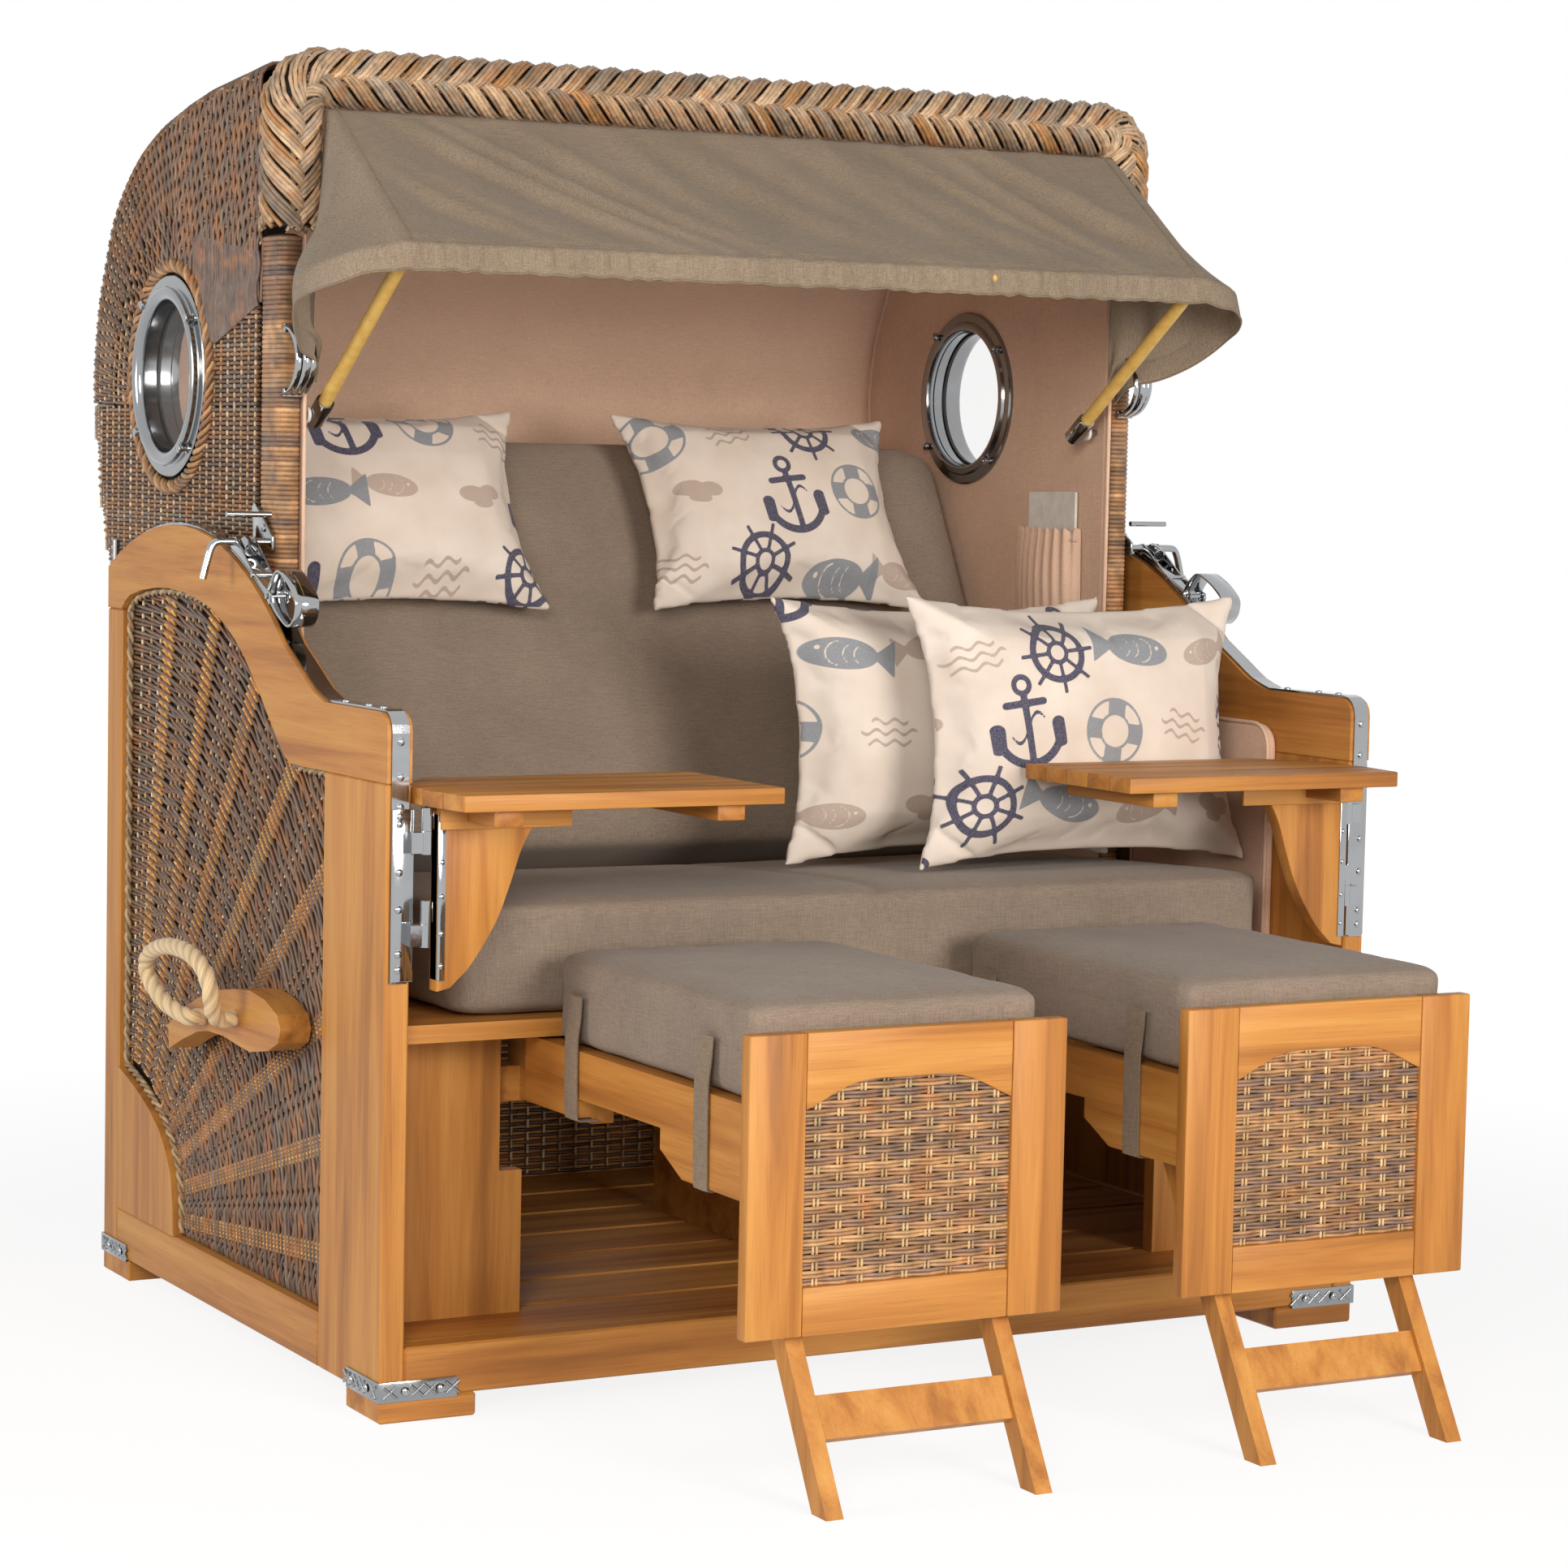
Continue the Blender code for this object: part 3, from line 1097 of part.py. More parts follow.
def lever_pin_place():
    foot, ahead, away = clamp_frame()
    return foot + ahead * (CLAMP_SHOE_LENGTH / 2 + LEVER_PIN + 2 * GAP) + away * (LEVER_PIN + GAP)


def make_lever(side, label, lever):
    """D-shaped band that the hand pulls to free the clamp."""
    _, ahead, away = clamp_frame()
    pin = lever_pin_place()
    reach = (ahead * math.cos(math.radians(25)) + away * math.sin(math.radians(25))).normalized()
    lift = Vector((reach.y, -reach.x))
    if lift.dot(away) < 0:
        lift = -lift
    middle = pin + reach * LEVER_LENGTH / 2 + lift * (LEVER_HEIGHT / 2 - LEVER_BAND)
    rings = []
    for trim in (0, LEVER_BAND):
        ring = []
        for step in range(20):
            turn = math.radians(360) * step / 20
            flat = math.sin(turn) if math.sin(turn) > 0 else 0.9 * math.sin(turn)
            ring.append(tuple(middle + reach * (LEVER_LENGTH / 2 - trim) * math.cos(turn)
                              + lift * (LEVER_HEIGHT / 2 - trim) * flat))
        rings.append(ring)
    low, high = STRIP_MIDDLE - LEVER_WIDTH / 2, STRIP_MIDDLE + LEVER_WIDTH / 2
    band = side_plate(f"clamp_lever_{label}", side, rings[0], low, high)
    hollow = side_plate(f"lever_hollow_{label}", side, rings[1], low - OVERRUN, high + OVERRUN)
    cut(band, hollow)
    keep(band, "chrome", lever)


# Footrests

def make_footrest_panel(middle, label, drawer):
    low, high = middle - PANEL_HALF, middle + PANEL_HALF
    panel = box(f"footrest_panel_{label}", (low, PANEL_FRONT, PANEL_LOW), (high, PANEL_BACK, PANEL_HIGH))
    inner_low, inner_high = low + PANEL_STILE, high - PANEL_STILE
    shoulder = PANEL_ARCH - ARCH_FALL_SHARE * (PANEL_ARCH - PANEL_RAIL_END)
    arch = smooth([(inner_high, PANEL_RAIL_END), (middle + PANEL_HALF / 3, shoulder),
                   (middle, PANEL_ARCH), (middle - PANEL_HALF / 3, shoulder),
                   (inner_low, PANEL_RAIL_END)], 3)
    pocket = plate(f"panel_pocket_{label}", [(inner_low, PANEL_BOTTOM_RAIL), (inner_high, PANEL_BOTTOM_RAIL), *arch],
                   PANEL_FRONT - OVERRUN, PANEL_FRONT + PANEL_POCKET, "Y")
    keep(cut(round_edges(panel), pocket), "teak", drawer)


def make_drawer(middle, label, drawer):
    front, top = PANEL_BACK + GAP, DRAWER_TOP
    outline = [(front, DRAWER_FRONT_LOW), (DRAWER_FRONT_STEP - DRAWER_CHAMFER, DRAWER_FRONT_LOW),
               (DRAWER_FRONT_STEP, DRAWER_REAR_LOW), (DRAWER_FRONT_STEP, DRAWER_RAIL_LOW),
               (DRAWER_REAR_STEP, DRAWER_RAIL_LOW), (DRAWER_REAR_STEP, DRAWER_REAR_LOW),
               (DRAWER_BACK, DRAWER_REAR_LOW), (DRAWER_BACK, top), (front, top)]
    outer, inner = DRAWER_HALF, DRAWER_HALF - DRAWER_RAIL
    frame = plate(f"footrest_drawer_{label}", outline, middle - outer, middle - inner)
    others = [plate(f"drawer_rail_{label}", outline, middle + inner, middle + outer)]
    pitch = (DRAWER_BACK - front - DRAWER_SLAT) / (DRAWER_SLATS - 1)
    for number in range(DRAWER_SLATS):
        start = front + pitch * number
        low, high = (middle - outer + EDGE, start, top - DRAWER_SLAT_THICKNESS), (middle + outer - EDGE,
                                                                                  start + DRAWER_SLAT, top - EDGE / 2)
        others.append(box(f"drawer_slat_{label}_{number}", low, high))
    reach = outer + DRAWER_BATTEN_PROUD
    batten_low, stop = DRAWER_REAR_LOW - DRAWER_BATTEN_HEIGHT / 4, DIVIDER_Y + DIVIDER_THICKNESS + GAP
    others.append(box(f"drawer_batten_{label}", (middle - reach, stop, batten_low),
                      (middle + reach, stop + DRAWER_BATTEN_DEPTH, batten_low + DRAWER_BATTEN_HEIGHT)))
    for number, side in enumerate((-1, 1)):
        near, far = sorted((middle + side * (inner - DRAWER_CLEAT), middle + side * (inner + EDGE)))
        others.append(box(f"drawer_cleat_{label}_{number}", (near, DRAWER_REAR_STEP, batten_low + EDGE),
                          (far, stop + DRAWER_BATTEN_DEPTH - EDGE, top - EDGE)))
    keep(join(frame, *others), "teak", drawer)


def leg_line():
    """Pivot, toe and half width of a leg; the leg leans on the lower rear edge of the panel."""
    toe_front, panel_back = Vector((-LEG_TOE, 0)), Vector((PANEL_BACK + 2 * GAP, PANEL_LOW))
    run = (panel_back - toe_front).normalized()
    half = LEG_DEPTH / 2
    toe = toe_front + Vector((half / run.y, 0))
    pivot = toe + run * (LEG_PIVOT_Z / run.y)
    return pivot, toe, run, half


def make_legs(middle, label, legs):
    pivot, toe, run, half = leg_line()
    side_step = Vector((run.y, -run.x)) * half
    top = pivot + run * LEG_TOP
    slant = Vector((half / run.y, 0))
    outline = [tuple(toe - slant), tuple(toe + slant), tuple(top + side_step), tuple(top - side_step)]
    frame = plate(f"footrest_legs_{label}", outline, middle - LEG_HALF, middle - LEG_HALF + LEG_THICKNESS)
    other = plate(f"leg_second_{label}", outline, middle + LEG_HALF - LEG_THICKNESS, middle + LEG_HALF)
    bar_low = toe + run * (LEG_BAR_LOW / run.y)
    thin = Vector((run.y, -run.x)) * LEG_BAR_THICKNESS / 2
    bar_high = bar_low + run * LEG_BAR_HEIGHT
    bar_outline = [tuple(bar_low - thin), tuple(bar_low + thin), tuple(bar_high + thin), tuple(bar_high - thin)]
    bar = plate(f"leg_bar_{label}", bar_outline, middle - LEG_HALF + EDGE, middle + LEG_HALF - EDGE)
    join(frame, other, bar)
    reach = DRAWER_HALF - DRAWER_RAIL - GAP
    for number, side in enumerate((-1, 1)):
        near, far = middle + side * (LEG_HALF - LEG_THICKNESS / 2), middle + side * reach
        join(frame, rod(f"leg_pin_{label}_{number}", (near, pivot.x, pivot.y), (far, pivot.x, pivot.y),
                        LEG_PIN_RADIUS, 12))
    keep(frame, "teak", legs)


def make_foot_cushion(middle, label, drawer):
    low = (middle - FOOT_CUSHION_HALF, PANEL_BACK + GAP, DRAWER_TOP + GAP)
    high = (middle + FOOT_CUSHION_HALF, FOOT_CUSHION_BACK, FOOT_CUSHION_TOP)
    cushion = padded_block(f"footrest_cushion_{label}", low, high, FOOT_CROWN, DRAW_SHARE, 3)
    keep(apply_modifiers(cushion), "cover", drawer)


# Side tables

def make_table(side, label, table):
    def at(inwards, forwards):
        return side * (TABLE_AXIS_X - inwards), TABLE_AXIS_Y - forwards
    outline = [at(0, TABLE_FRONT), at(TABLE_LENGTH, TABLE_FRONT), at(TABLE_LENGTH, -TABLE_BACK),
               at(TABLE_CHAMFER, -TABLE_BACK), at(-TABLE_OUTER, -TABLE_CHAMFER), at(-TABLE_OUTER, TABLE_CHAMFER / 2)]
    low = TABLE_TOP - TABLE_THICKNESS
    top = plate(f"side_table_{label}", outline, low, TABLE_TOP, "Z")
    pieces = []
    batten_low = low - TABLE_BATTEN_HEIGHT
    for number, inwards in enumerate((TABLE_CHAMFER + TABLE_BATTEN_INSET, TABLE_LENGTH - 2 * TABLE_BATTEN)):
        near, far = sorted((at(inwards, 0)[0], at(inwards + TABLE_BATTEN, 0)[0]))
        front, back = at(0, TABLE_FRONT - TABLE_BATTEN_INSET)[1], at(0, TABLE_BATTEN_INSET * 2 - TABLE_BACK)[1]
        pieces.append(box(f"table_batten_{label}_{number}", (near, front, batten_low), (far, back, low + EDGE)))
    rise = batten_low - BRACKET_LOW
    edge = smooth([(BRACKET_START + (BRACKET_LENGTH - BRACKET_START) * along, BRACKET_LOW + rise * up)
                   for along, up in BRACKET_EDGE_SHARES], 3)
    board = [(BRACKET_START, BRACKET_LOW), (BRACKET_START, low + EDGE), (BRACKET_LENGTH + BRACKET_TIP, low + EDGE),
             (BRACKET_LENGTH + BRACKET_TIP, batten_low + EDGE), *edge]
    board = [(side * (TABLE_AXIS_X - along), up) for along, up in board]
    half = BRACKET_THICKNESS / 2
    pieces.append(plate(f"table_bracket_{label}", board, TABLE_AXIS_Y - half, TABLE_AXIS_Y + half, "Y"))
    for number, height in enumerate(KNUCKLE_HEIGHTS):
        start = height + KNUCKLE_HEIGHT + GAP
        pieces.append(rod(f"table_knuckle_{label}_{number}", (side * TABLE_AXIS_X, TABLE_AXIS_Y, start),
                          (side * TABLE_AXIS_X, TABLE_AXIS_Y, start + KNUCKLE_HEIGHT), KNUCKLE_RADIUS))
        near, far = sorted((side * TABLE_AXIS_X, side * (TABLE_AXIS_X - BRACKET_START - EDGE)))
        pieces.append(box(f"table_leaf_{label}_{number}", (near, TABLE_AXIS_Y - KNUCKLE_RADIUS / 2, start + EDGE / 2),
                          (far, TABLE_AXIS_Y + KNUCKLE_RADIUS / 2, start + KNUCKLE_HEIGHT - EDGE / 2)))
    keep(join(top, *pieces), "teak", table)


def build_chair():
    base = make_parent("base_frame", (0, 0, 0))
    hood = make_parent("hood_axis", (0, TILT_Y, TILT_Z), base)
    bow = make_parent("canopy_axis", (0, BOW_PIVOT_Y, BOW_PIVOT_Z), hood)
    make_base_floor(base)
    make_seat(base)
    seat_cushion = make_seat_cushion(base)
    for label, side in SIDES:
        make_side_wall(side, label, base)
        make_arm_strip(side, label, base)
        make_handle(side, label, base)
    make_basket(hood)
    make_hood_front(hood)
    for label, side in SIDES:
        make_porthole(side, label, hood)
        make_grip(side, label, hood)
        make_clamp(side, label, hood)
        pin = lever_pin_place()
        lever = make_parent(f"lever_axis_{label}", (side * STRIP_MIDDLE, pin.x, pin.y), hood)
        make_lever(side, label, lever)
        table = make_parent(f"table_axis_{label}", (side * TABLE_AXIS_X, TABLE_AXIS_Y, 0), base)
        make_table(side, label, table)
        middle = side * FOOTREST_MIDDLE
        drawer = make_parent(f"footrest_slide_{label}", (middle, PANEL_FRONT, 0), base)
        make_footrest_panel(middle, label, drawer)
        make_drawer(middle, label, drawer)
        make_foot_cushion(middle, label, drawer)
        pivot = leg_line()[0]
        legs = make_parent(f"leg_axis_{label}", (middle, pivot.x, pivot.y), drawer)
        make_legs(middle, label, legs)
    make_bow(bow)
    make_canopy(hood)
    make_pillows(base, hood, seat_cushion)


clear_scene()
MATERIALS = make_materials()
build_chair()
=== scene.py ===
"""Looks of the hooded beach chair: oiled teak, woven cane, braided rattan, canvas and chromed steel.

Metres, +Z up, front towards -Y. Places below are measured from the front face of the base;
set_down() carries each finished piece from there to the row's origin.
"""

import math

import bmesh
import bpy
import numpy as np
from mathutils import Matrix, Vector


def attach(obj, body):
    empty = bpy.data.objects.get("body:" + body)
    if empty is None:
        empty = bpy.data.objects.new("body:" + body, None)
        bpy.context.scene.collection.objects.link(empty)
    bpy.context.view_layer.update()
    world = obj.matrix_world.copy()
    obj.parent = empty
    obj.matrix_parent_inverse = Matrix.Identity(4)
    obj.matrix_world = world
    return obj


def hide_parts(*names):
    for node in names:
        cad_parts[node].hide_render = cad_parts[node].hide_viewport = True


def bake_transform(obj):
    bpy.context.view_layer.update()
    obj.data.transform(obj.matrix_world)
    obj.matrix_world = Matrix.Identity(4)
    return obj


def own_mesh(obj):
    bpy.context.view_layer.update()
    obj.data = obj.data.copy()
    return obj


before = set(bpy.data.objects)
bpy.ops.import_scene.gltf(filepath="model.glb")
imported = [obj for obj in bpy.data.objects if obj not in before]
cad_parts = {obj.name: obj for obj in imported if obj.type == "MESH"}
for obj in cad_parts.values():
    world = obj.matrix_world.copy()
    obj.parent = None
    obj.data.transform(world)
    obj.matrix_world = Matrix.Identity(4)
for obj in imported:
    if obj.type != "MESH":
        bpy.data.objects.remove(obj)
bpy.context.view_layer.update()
BASE_FRONT = -0.2935
SIDES = (("left", -1), ("right", 1))

# Places that the pieces share with the solids
TILT = (0.650, 0.410)
ARM_RADIUS = 0.545
PORTHOLE = (0.813, 1.136)
STRIP_X = 0.6355
FOOTREST_X = 0.2635
UNDER_SLOPE = math.radians(43.5)
RECLINE = 28.81
POST_X, POST_Y = 0.582, 0.488
HANDLE_FACE = 0.6433 + 0.038 + 0.0003
HINGE_X, HINGE_Y = 0.609, -0.014
BOW_X, BOW_Y, BOW_Z = 0.534, 0.489, 1.090
LINER_X = 0.5640
ROOF_SHARES = ((0.000, 1.000), (0.140, 0.989), (0.322, 0.974), (0.511, 0.946), (0.607, 0.926),
               (0.708, 0.894), (0.808, 0.843), (0.880, 0.786), (0.925, 0.722), (0.965, 0.657),
               (0.987, 0.590), (1.000, 0.522), (0.992, 0.455), (0.975, 0.388), (0.952, 0.312),
               (0.905, 0.222), (0.811, 0.000))


# Node helper

def srgb(code, alpha=1.0):
    """A colour written as #RRGGBB, in the linear values that Blender mixes."""
    parts = [int(code[place:place + 2], 16) / 255 for place in (1, 3, 5)]
    return (*[part / 12.92 if part <= 0.04045 else ((part + 0.055) / 1.055) ** 2.4 for part in parts], alpha)


def add(tree, kind, inputs=None, **settings):
    """Adds a node with its settings; an input takes a value, a socket, or a node's first live output."""
    node = tree.nodes.new(kind)
    for name, value in settings.items():
        setattr(node, name, value)
    for key, value in (inputs or {}).items():
        if isinstance(value, bpy.types.Node):
            value = next(socket for socket in value.outputs if socket.enabled)
        if isinstance(value, bpy.types.NodeSocket):
            tree.links.new(value, node.inputs[key])
        else:
            node.inputs[key].default_value = value
    return node


def ramp(tree, factor, stops):
    """Colours, or plain shares of light, at places along a ramp."""
    node = add(tree, "ShaderNodeValToRGB", {0: factor})
    while len(node.color_ramp.elements) < len(stops):
        node.color_ramp.elements.new(0.5)
    for element, (place, colour) in zip(node.color_ramp.elements, stops):
        element.position = place
        element.color = srgb(colour) if isinstance(colour, str) else (colour, colour, colour, 1)
    return node


def start_material(name):
    """A new material with its node tree and shader."""
    material = bpy.data.materials.new(name)
    material.use_nodes = True
    tree = material.node_tree
    shader = tree.nodes["Principled BSDF"]
    return material, tree, shader


def relief(tree, shader, height, strength, depth):
    """Fine relief from a height, over the shader's own normal."""
    bump = add(tree, "ShaderNodeBump", {"Strength": strength, "Distance": depth, "Height": height})
    tree.links.new(bump.outputs[0], shader.inputs["Normal"])
    return bump


# Materials

def oiled_teak(name, grain, seed):
    """Oiled teak, sawn, sanded and oiled: honey brown with darker growth lines along the board and a
    soft satin sheen. Growth lines about 9 mm apart, pores about 0.7 mm wide and 20 mm long."""
    material, tree, shader = start_material(name)
    place = add(tree, "ShaderNodeTexCoord").outputs["Object"]
    lengths = {"X": (0.05, 1, 1), "Y": (1, 0.05, 1), "Z": (1, 1, 0.05)}[grain]
    moved = add(tree, "ShaderNodeMapping", {0: place, 1: (seed * 1.37, seed * 0.71, seed * 1.93), 3: lengths})
    bend = add(tree, "ShaderNodeTexNoise", {"Vector": moved, "Scale": 7.0, "Detail": 3.0, "Roughness": 0.55})
    figure = add(tree, "ShaderNodeVectorMath", {0: bend.outputs[1], 3: 0.11}, operation="SCALE")
    bent = add(tree, "ShaderNodeVectorMath", {0: moved, 1: figure.outputs[0]}, operation="ADD")
    rings = add(tree, "ShaderNodeTexNoise", {"Vector": bent, "Scale": 26.0, "Detail": 4.0, "Roughness": 0.62})
    boards = add(tree, "ShaderNodeTexNoise", {"Vector": moved, "Scale": 5.0, "Detail": 1.0})
    fine = {"X": (0.02, 1, 1), "Y": (1, 0.02, 1), "Z": (1, 1, 0.02)}[grain]
    thin = add(tree, "ShaderNodeMapping", {0: place, 1: (seed, seed, seed), 3: fine})
    pores = add(tree, "ShaderNodeTexNoise", {"Vector": thin, "Scale": 700.0, "Detail": 2.0, "Roughness": 0.6})
    wood = ramp(tree, rings, ((0.30, "#84552F"), (0.40, "#AC7646"), (0.50, "#CA955E"), (0.62, "#DBAC75"),
                              (0.76, "#E6BE8B")))
    shade = ramp(tree, boards, ((0.30, "#BE8A57"), (0.55, "#D29F68"), (0.75, "#DFB27C")))
    mixed = add(tree, "ShaderNodeMix", {0: 0.30, 6: wood, 7: shade}, data_type="RGBA")
    dark = ramp(tree, pores, ((0.28, 0.62), (0.42, 0.93), (0.60, 1.0)))
    pored = add(tree, "ShaderNodeMix", {0: 0.55, 6: mixed.outputs[2], 7: dark}, data_type="RGBA",
                blend_type="MULTIPLY")
    tone = add(tree, "ShaderNodeMix", {0: 1.0, 6: pored.outputs[2], 7: srgb("#EAD5A0")}, data_type="RGBA",
               blend_type="MULTIPLY")
    tree.links.new(tone.outputs[2], shader.inputs["Base Color"])
    rough = add(tree, "ShaderNodeMapRange", {"Value": pores, "To Min": 0.56, "To Max": 0.40})
    tree.links.new(rough.outputs[0], shader.inputs["Roughness"])
    shader.inputs["Specular IOR Level"].default_value = 0.35
    relief(tree, shader, pores, 0.25, 0.0006)
    return material


def cane_finish(name, roughness=0.42, streak=0.30, length=60.0):
    """Extruded polyethylene cane with streaks of several browns run in: a soft satin on ridged strands.
    The strand's own colour comes from its paint attribute; streaks are about 1 mm wide."""
    material, tree, shader = start_material(name)
    paint = add(tree, "ShaderNodeAttribute", attribute_name="paint")
    place = add(tree, "ShaderNodeTexCoord").outputs["Object"]
    patches = add(tree, "ShaderNodeTexNoise", {"Vector": place, "Scale": length, "Detail": 2.0})
    lines = add(tree, "ShaderNodeTexNoise", {"Vector": place, "Scale": 620.0, "Detail": 2.0})
    tint = add(tree, "ShaderNodeTexNoise", {"Vector": place, "Scale": length * 0.45, "Detail": 2.0})
    warm = add(tree, "ShaderNodeMapRange", {"Value": tint, "From Min": 0.54, "From Max": 0.68, "To Max": 0.5})
    grey = add(tree, "ShaderNodeMapRange", {"Value": tint, "From Min": 0.46, "From Max": 0.34, "To Max": 0.45})
    warmed = add(tree, "ShaderNodeMix", {0: warm, 6: paint, 7: srgb("#A36A3C")}, data_type="RGBA")
    greyed = add(tree, "ShaderNodeMix", {0: grey, 6: warmed.outputs[2], 7: srgb("#6C5D52")}, data_type="RGBA")
    patch_light = add(tree, "ShaderNodeMapRange", {"Value": patches, "From Min": 0.3, "From Max": 0.7,
                                                   "To Min": 1 - streak, "To Max": 1 + streak})
    line_light = add(tree, "ShaderNodeMapRange", {"Value": lines, "From Min": 0.3, "From Max": 0.7,
                                                  "To Min": 0.86, "To Max": 1.12})
    both = add(tree, "ShaderNodeMath", {0: patch_light, 1: line_light}, operation="MULTIPLY")
    colour = add(tree, "ShaderNodeVectorMath", {0: greyed.outputs[2], 3: both}, operation="SCALE")
    tree.links.new(colour.outputs[0], shader.inputs["Base Color"])
    shader.inputs["Roughness"].default_value = roughness
    relief(tree, shader, lines, 0.3, 0.0004)
    return material


def plain_dark(name, code, roughness=0.8):
    """Dark matt material, mottled like strands lying close together: painted shade on the sheets and cores behind
    the weave, seen through its gaps, and the colour of the porthole's seal.
    """
    material, tree, shader = start_material(name)
    place = add(tree, "ShaderNodeTexCoord").outputs["Object"]
    mottle = add(tree, "ShaderNodeTexNoise", {"Vector": place, "Scale": 180.0, "Detail": 2.0})
    light = add(tree, "ShaderNodeMapRange", {"Value": mottle, "To Min": 0.5, "To Max": 1.5})
    colour = add(tree, "ShaderNodeVectorMath", {0: srgb(code)[:3], 3: light}, operation="SCALE")
    tree.links.new(colour.outputs[0], shader.inputs["Base Color"])
    shader.inputs["Roughness"].default_value = roughness
    relief(tree, shader, mottle, 0.5, 0.001)
    return material


def canvas(name, dark, light, thread=0.0011, sheen=0.12, mottle=0.10, coarse=0.0005):
    """Woven outdoor canvas: two yarns, one lighter, crossing every 1.1 mm (drawn coarser than the real
    0.6 mm so that it shows), slub lines along both and a matt, slightly fuzzy surface."""
    material, tree, shader = start_material(name)
    place = add(tree, "ShaderNodeTexCoord").outputs["Object"]
    cell = 1.0 / thread
    slubs = []
    for long_way in ((0.06, 1, 1), (1, 0.06, 1), (1, 1, 0.06)):
        turned = add(tree, "ShaderNodeMapping", {0: place, 3: long_way})
        slubs.append(add(tree, "ShaderNodeTexNoise", {"Vector": turned, "Scale": cell, "Detail": 2.0,
                                                      "Roughness": 0.7}))
    cross = add(tree, "ShaderNodeMath", {0: slubs[0], 1: slubs[2]}, operation="ADD")
    threads = add(tree, "ShaderNodeMath", {0: cross, 1: slubs[1]}, operation="ADD")
    even = add(tree, "ShaderNodeMapRange", {"Value": threads, "From Min": 1.15, "From Max": 1.85})
    wide = add(tree, "ShaderNodeTexNoise", {"Vector": place, "Scale": 9.0, "Detail": 3.0})
    colour = ramp(tree, even, ((0.12, dark), (0.88, light)))
    glow = add(tree, "ShaderNodeMapRange", {"Value": wide, "From Min": 0.3, "From Max": 0.7,
                                            "To Min": 1 - mottle, "To Max": 1 + mottle / 2})
    final = add(tree, "ShaderNodeVectorMath", {0: colour.outputs[0], 3: glow}, operation="SCALE")
    tree.links.new(final.outputs[0], shader.inputs["Base Color"])
    shader.inputs["Roughness"].default_value = 0.92
    shader.inputs["Specular IOR Level"].default_value = 0.15
    shader.inputs["Sheen Weight"].default_value = sheen
    shader.inputs["Sheen Roughness"].default_value = 0.5
    relief(tree, shader, even, 0.5, coarse)
    return material


def printed_cotton(name):
    """Plain woven cotton with a screen print: anchors, rings, fish and waves in navy, grey-blue and
    taupe on ecru. Each ink lies where its distance attribute is below zero."""
    material, tree, shader = start_material(name)
    place = add(tree, "ShaderNodeTexCoord").outputs["Object"]
    threads = add(tree, "ShaderNodeTexNoise", {"Vector": place, "Scale": 900.0, "Detail": 2.0})
    soft = add(tree, "ShaderNodeTexNoise", {"Vector": place, "Scale": 14.0, "Detail": 3.0})
    ground = ramp(tree, soft, ((0.30, "#D8CABD"), (0.70, "#E5DACF")))
    colour = ground.outputs[0]
    worn = add(tree, "ShaderNodeMapRange", {"Value": threads, "From Min": 0.35, "From Max": 0.65,
                                            "To Min": 0.80, "To Max": 1.0})
    for attribute, ink in (("taupe_ink", "#B5A396"), ("slate_ink", "#838A93"), ("navy_ink", "#2B3052")):
        reach = add(tree, "ShaderNodeAttribute", attribute_name=attribute)
        cover = add(tree, "ShaderNodeMapRange", {"Value": reach.outputs["Fac"], "From Min": 0.0006,
                                                 "From Max": -0.0002})
        inked = add(tree, "ShaderNodeMath", {0: cover, 1: worn}, operation="MULTIPLY")
        colour = add(tree, "ShaderNodeMix", {0: inked, 6: colour, 7: srgb(ink)}, data_type="RGBA").outputs[2]
    tree.links.new(colour, shader.inputs["Base Color"])
    shader.inputs["Roughness"].default_value = 0.9
    shader.inputs["Specular IOR Level"].default_value = 0.2
    shader.inputs["Sheen Weight"].default_value = 0.1
    relief(tree, shader, threads, 0.35, 0.0004)
    return material


def steel(name, code, roughness):
    """Chromed or polished steel: a metal's reflection, a little softened by wiping marks; its base colour is set
    darker than the bare metal, painted shade standing in for dark surroundings in its reflections.
    """
    material, tree, shader = start_material(name)
    place = add(tree, "ShaderNodeTexCoord").outputs["Object"]
    wiped = add(tree, "ShaderNodeTexNoise", {"Vector": place, "Scale": 45.0, "Detail": 4.0, "Roughness": 0.7})
    rough = add(tree, "ShaderNodeMapRange", {"Value": wiped, "From Min": 0.3, "From Max": 0.7,
                                             "To Min": roughness * 0.7, "To Max": roughness * 1.4})
    tree.links.new(rough.outputs[0], shader.inputs["Roughness"])
    # Painted shade: the base colour given here is darker than bare chrome or steel, standing in for dark
    # reflections.
    shader.inputs["Base Color"].default_value = srgb(code)
    shader.inputs["Metallic"].default_value = 1.0
    relief(tree, shader, wiped, 0.08, 0.0008)
    return material


def coated_tube(name):
    """Steel tube with a matt straw-yellow plastic coat: even colour, faint drag lines, soft highlight."""
    material, tree, shader = start_material(name)
    place = add(tree, "ShaderNodeTexCoord").outputs["Object"]
    drag = add(tree, "ShaderNodeTexNoise", {"Vector": place, "Scale": 80.0, "Detail": 3.0})
    colour = ramp(tree, drag, ((0.30, "#CFA550"), (0.70, "#DFBA68")))
    tree.links.new(colour.outputs[0], shader.inputs["Base Color"])
    shader.inputs["Roughness"].default_value = 0.42
    relief(tree, shader, drag, 0.1, 0.0003)
    return material


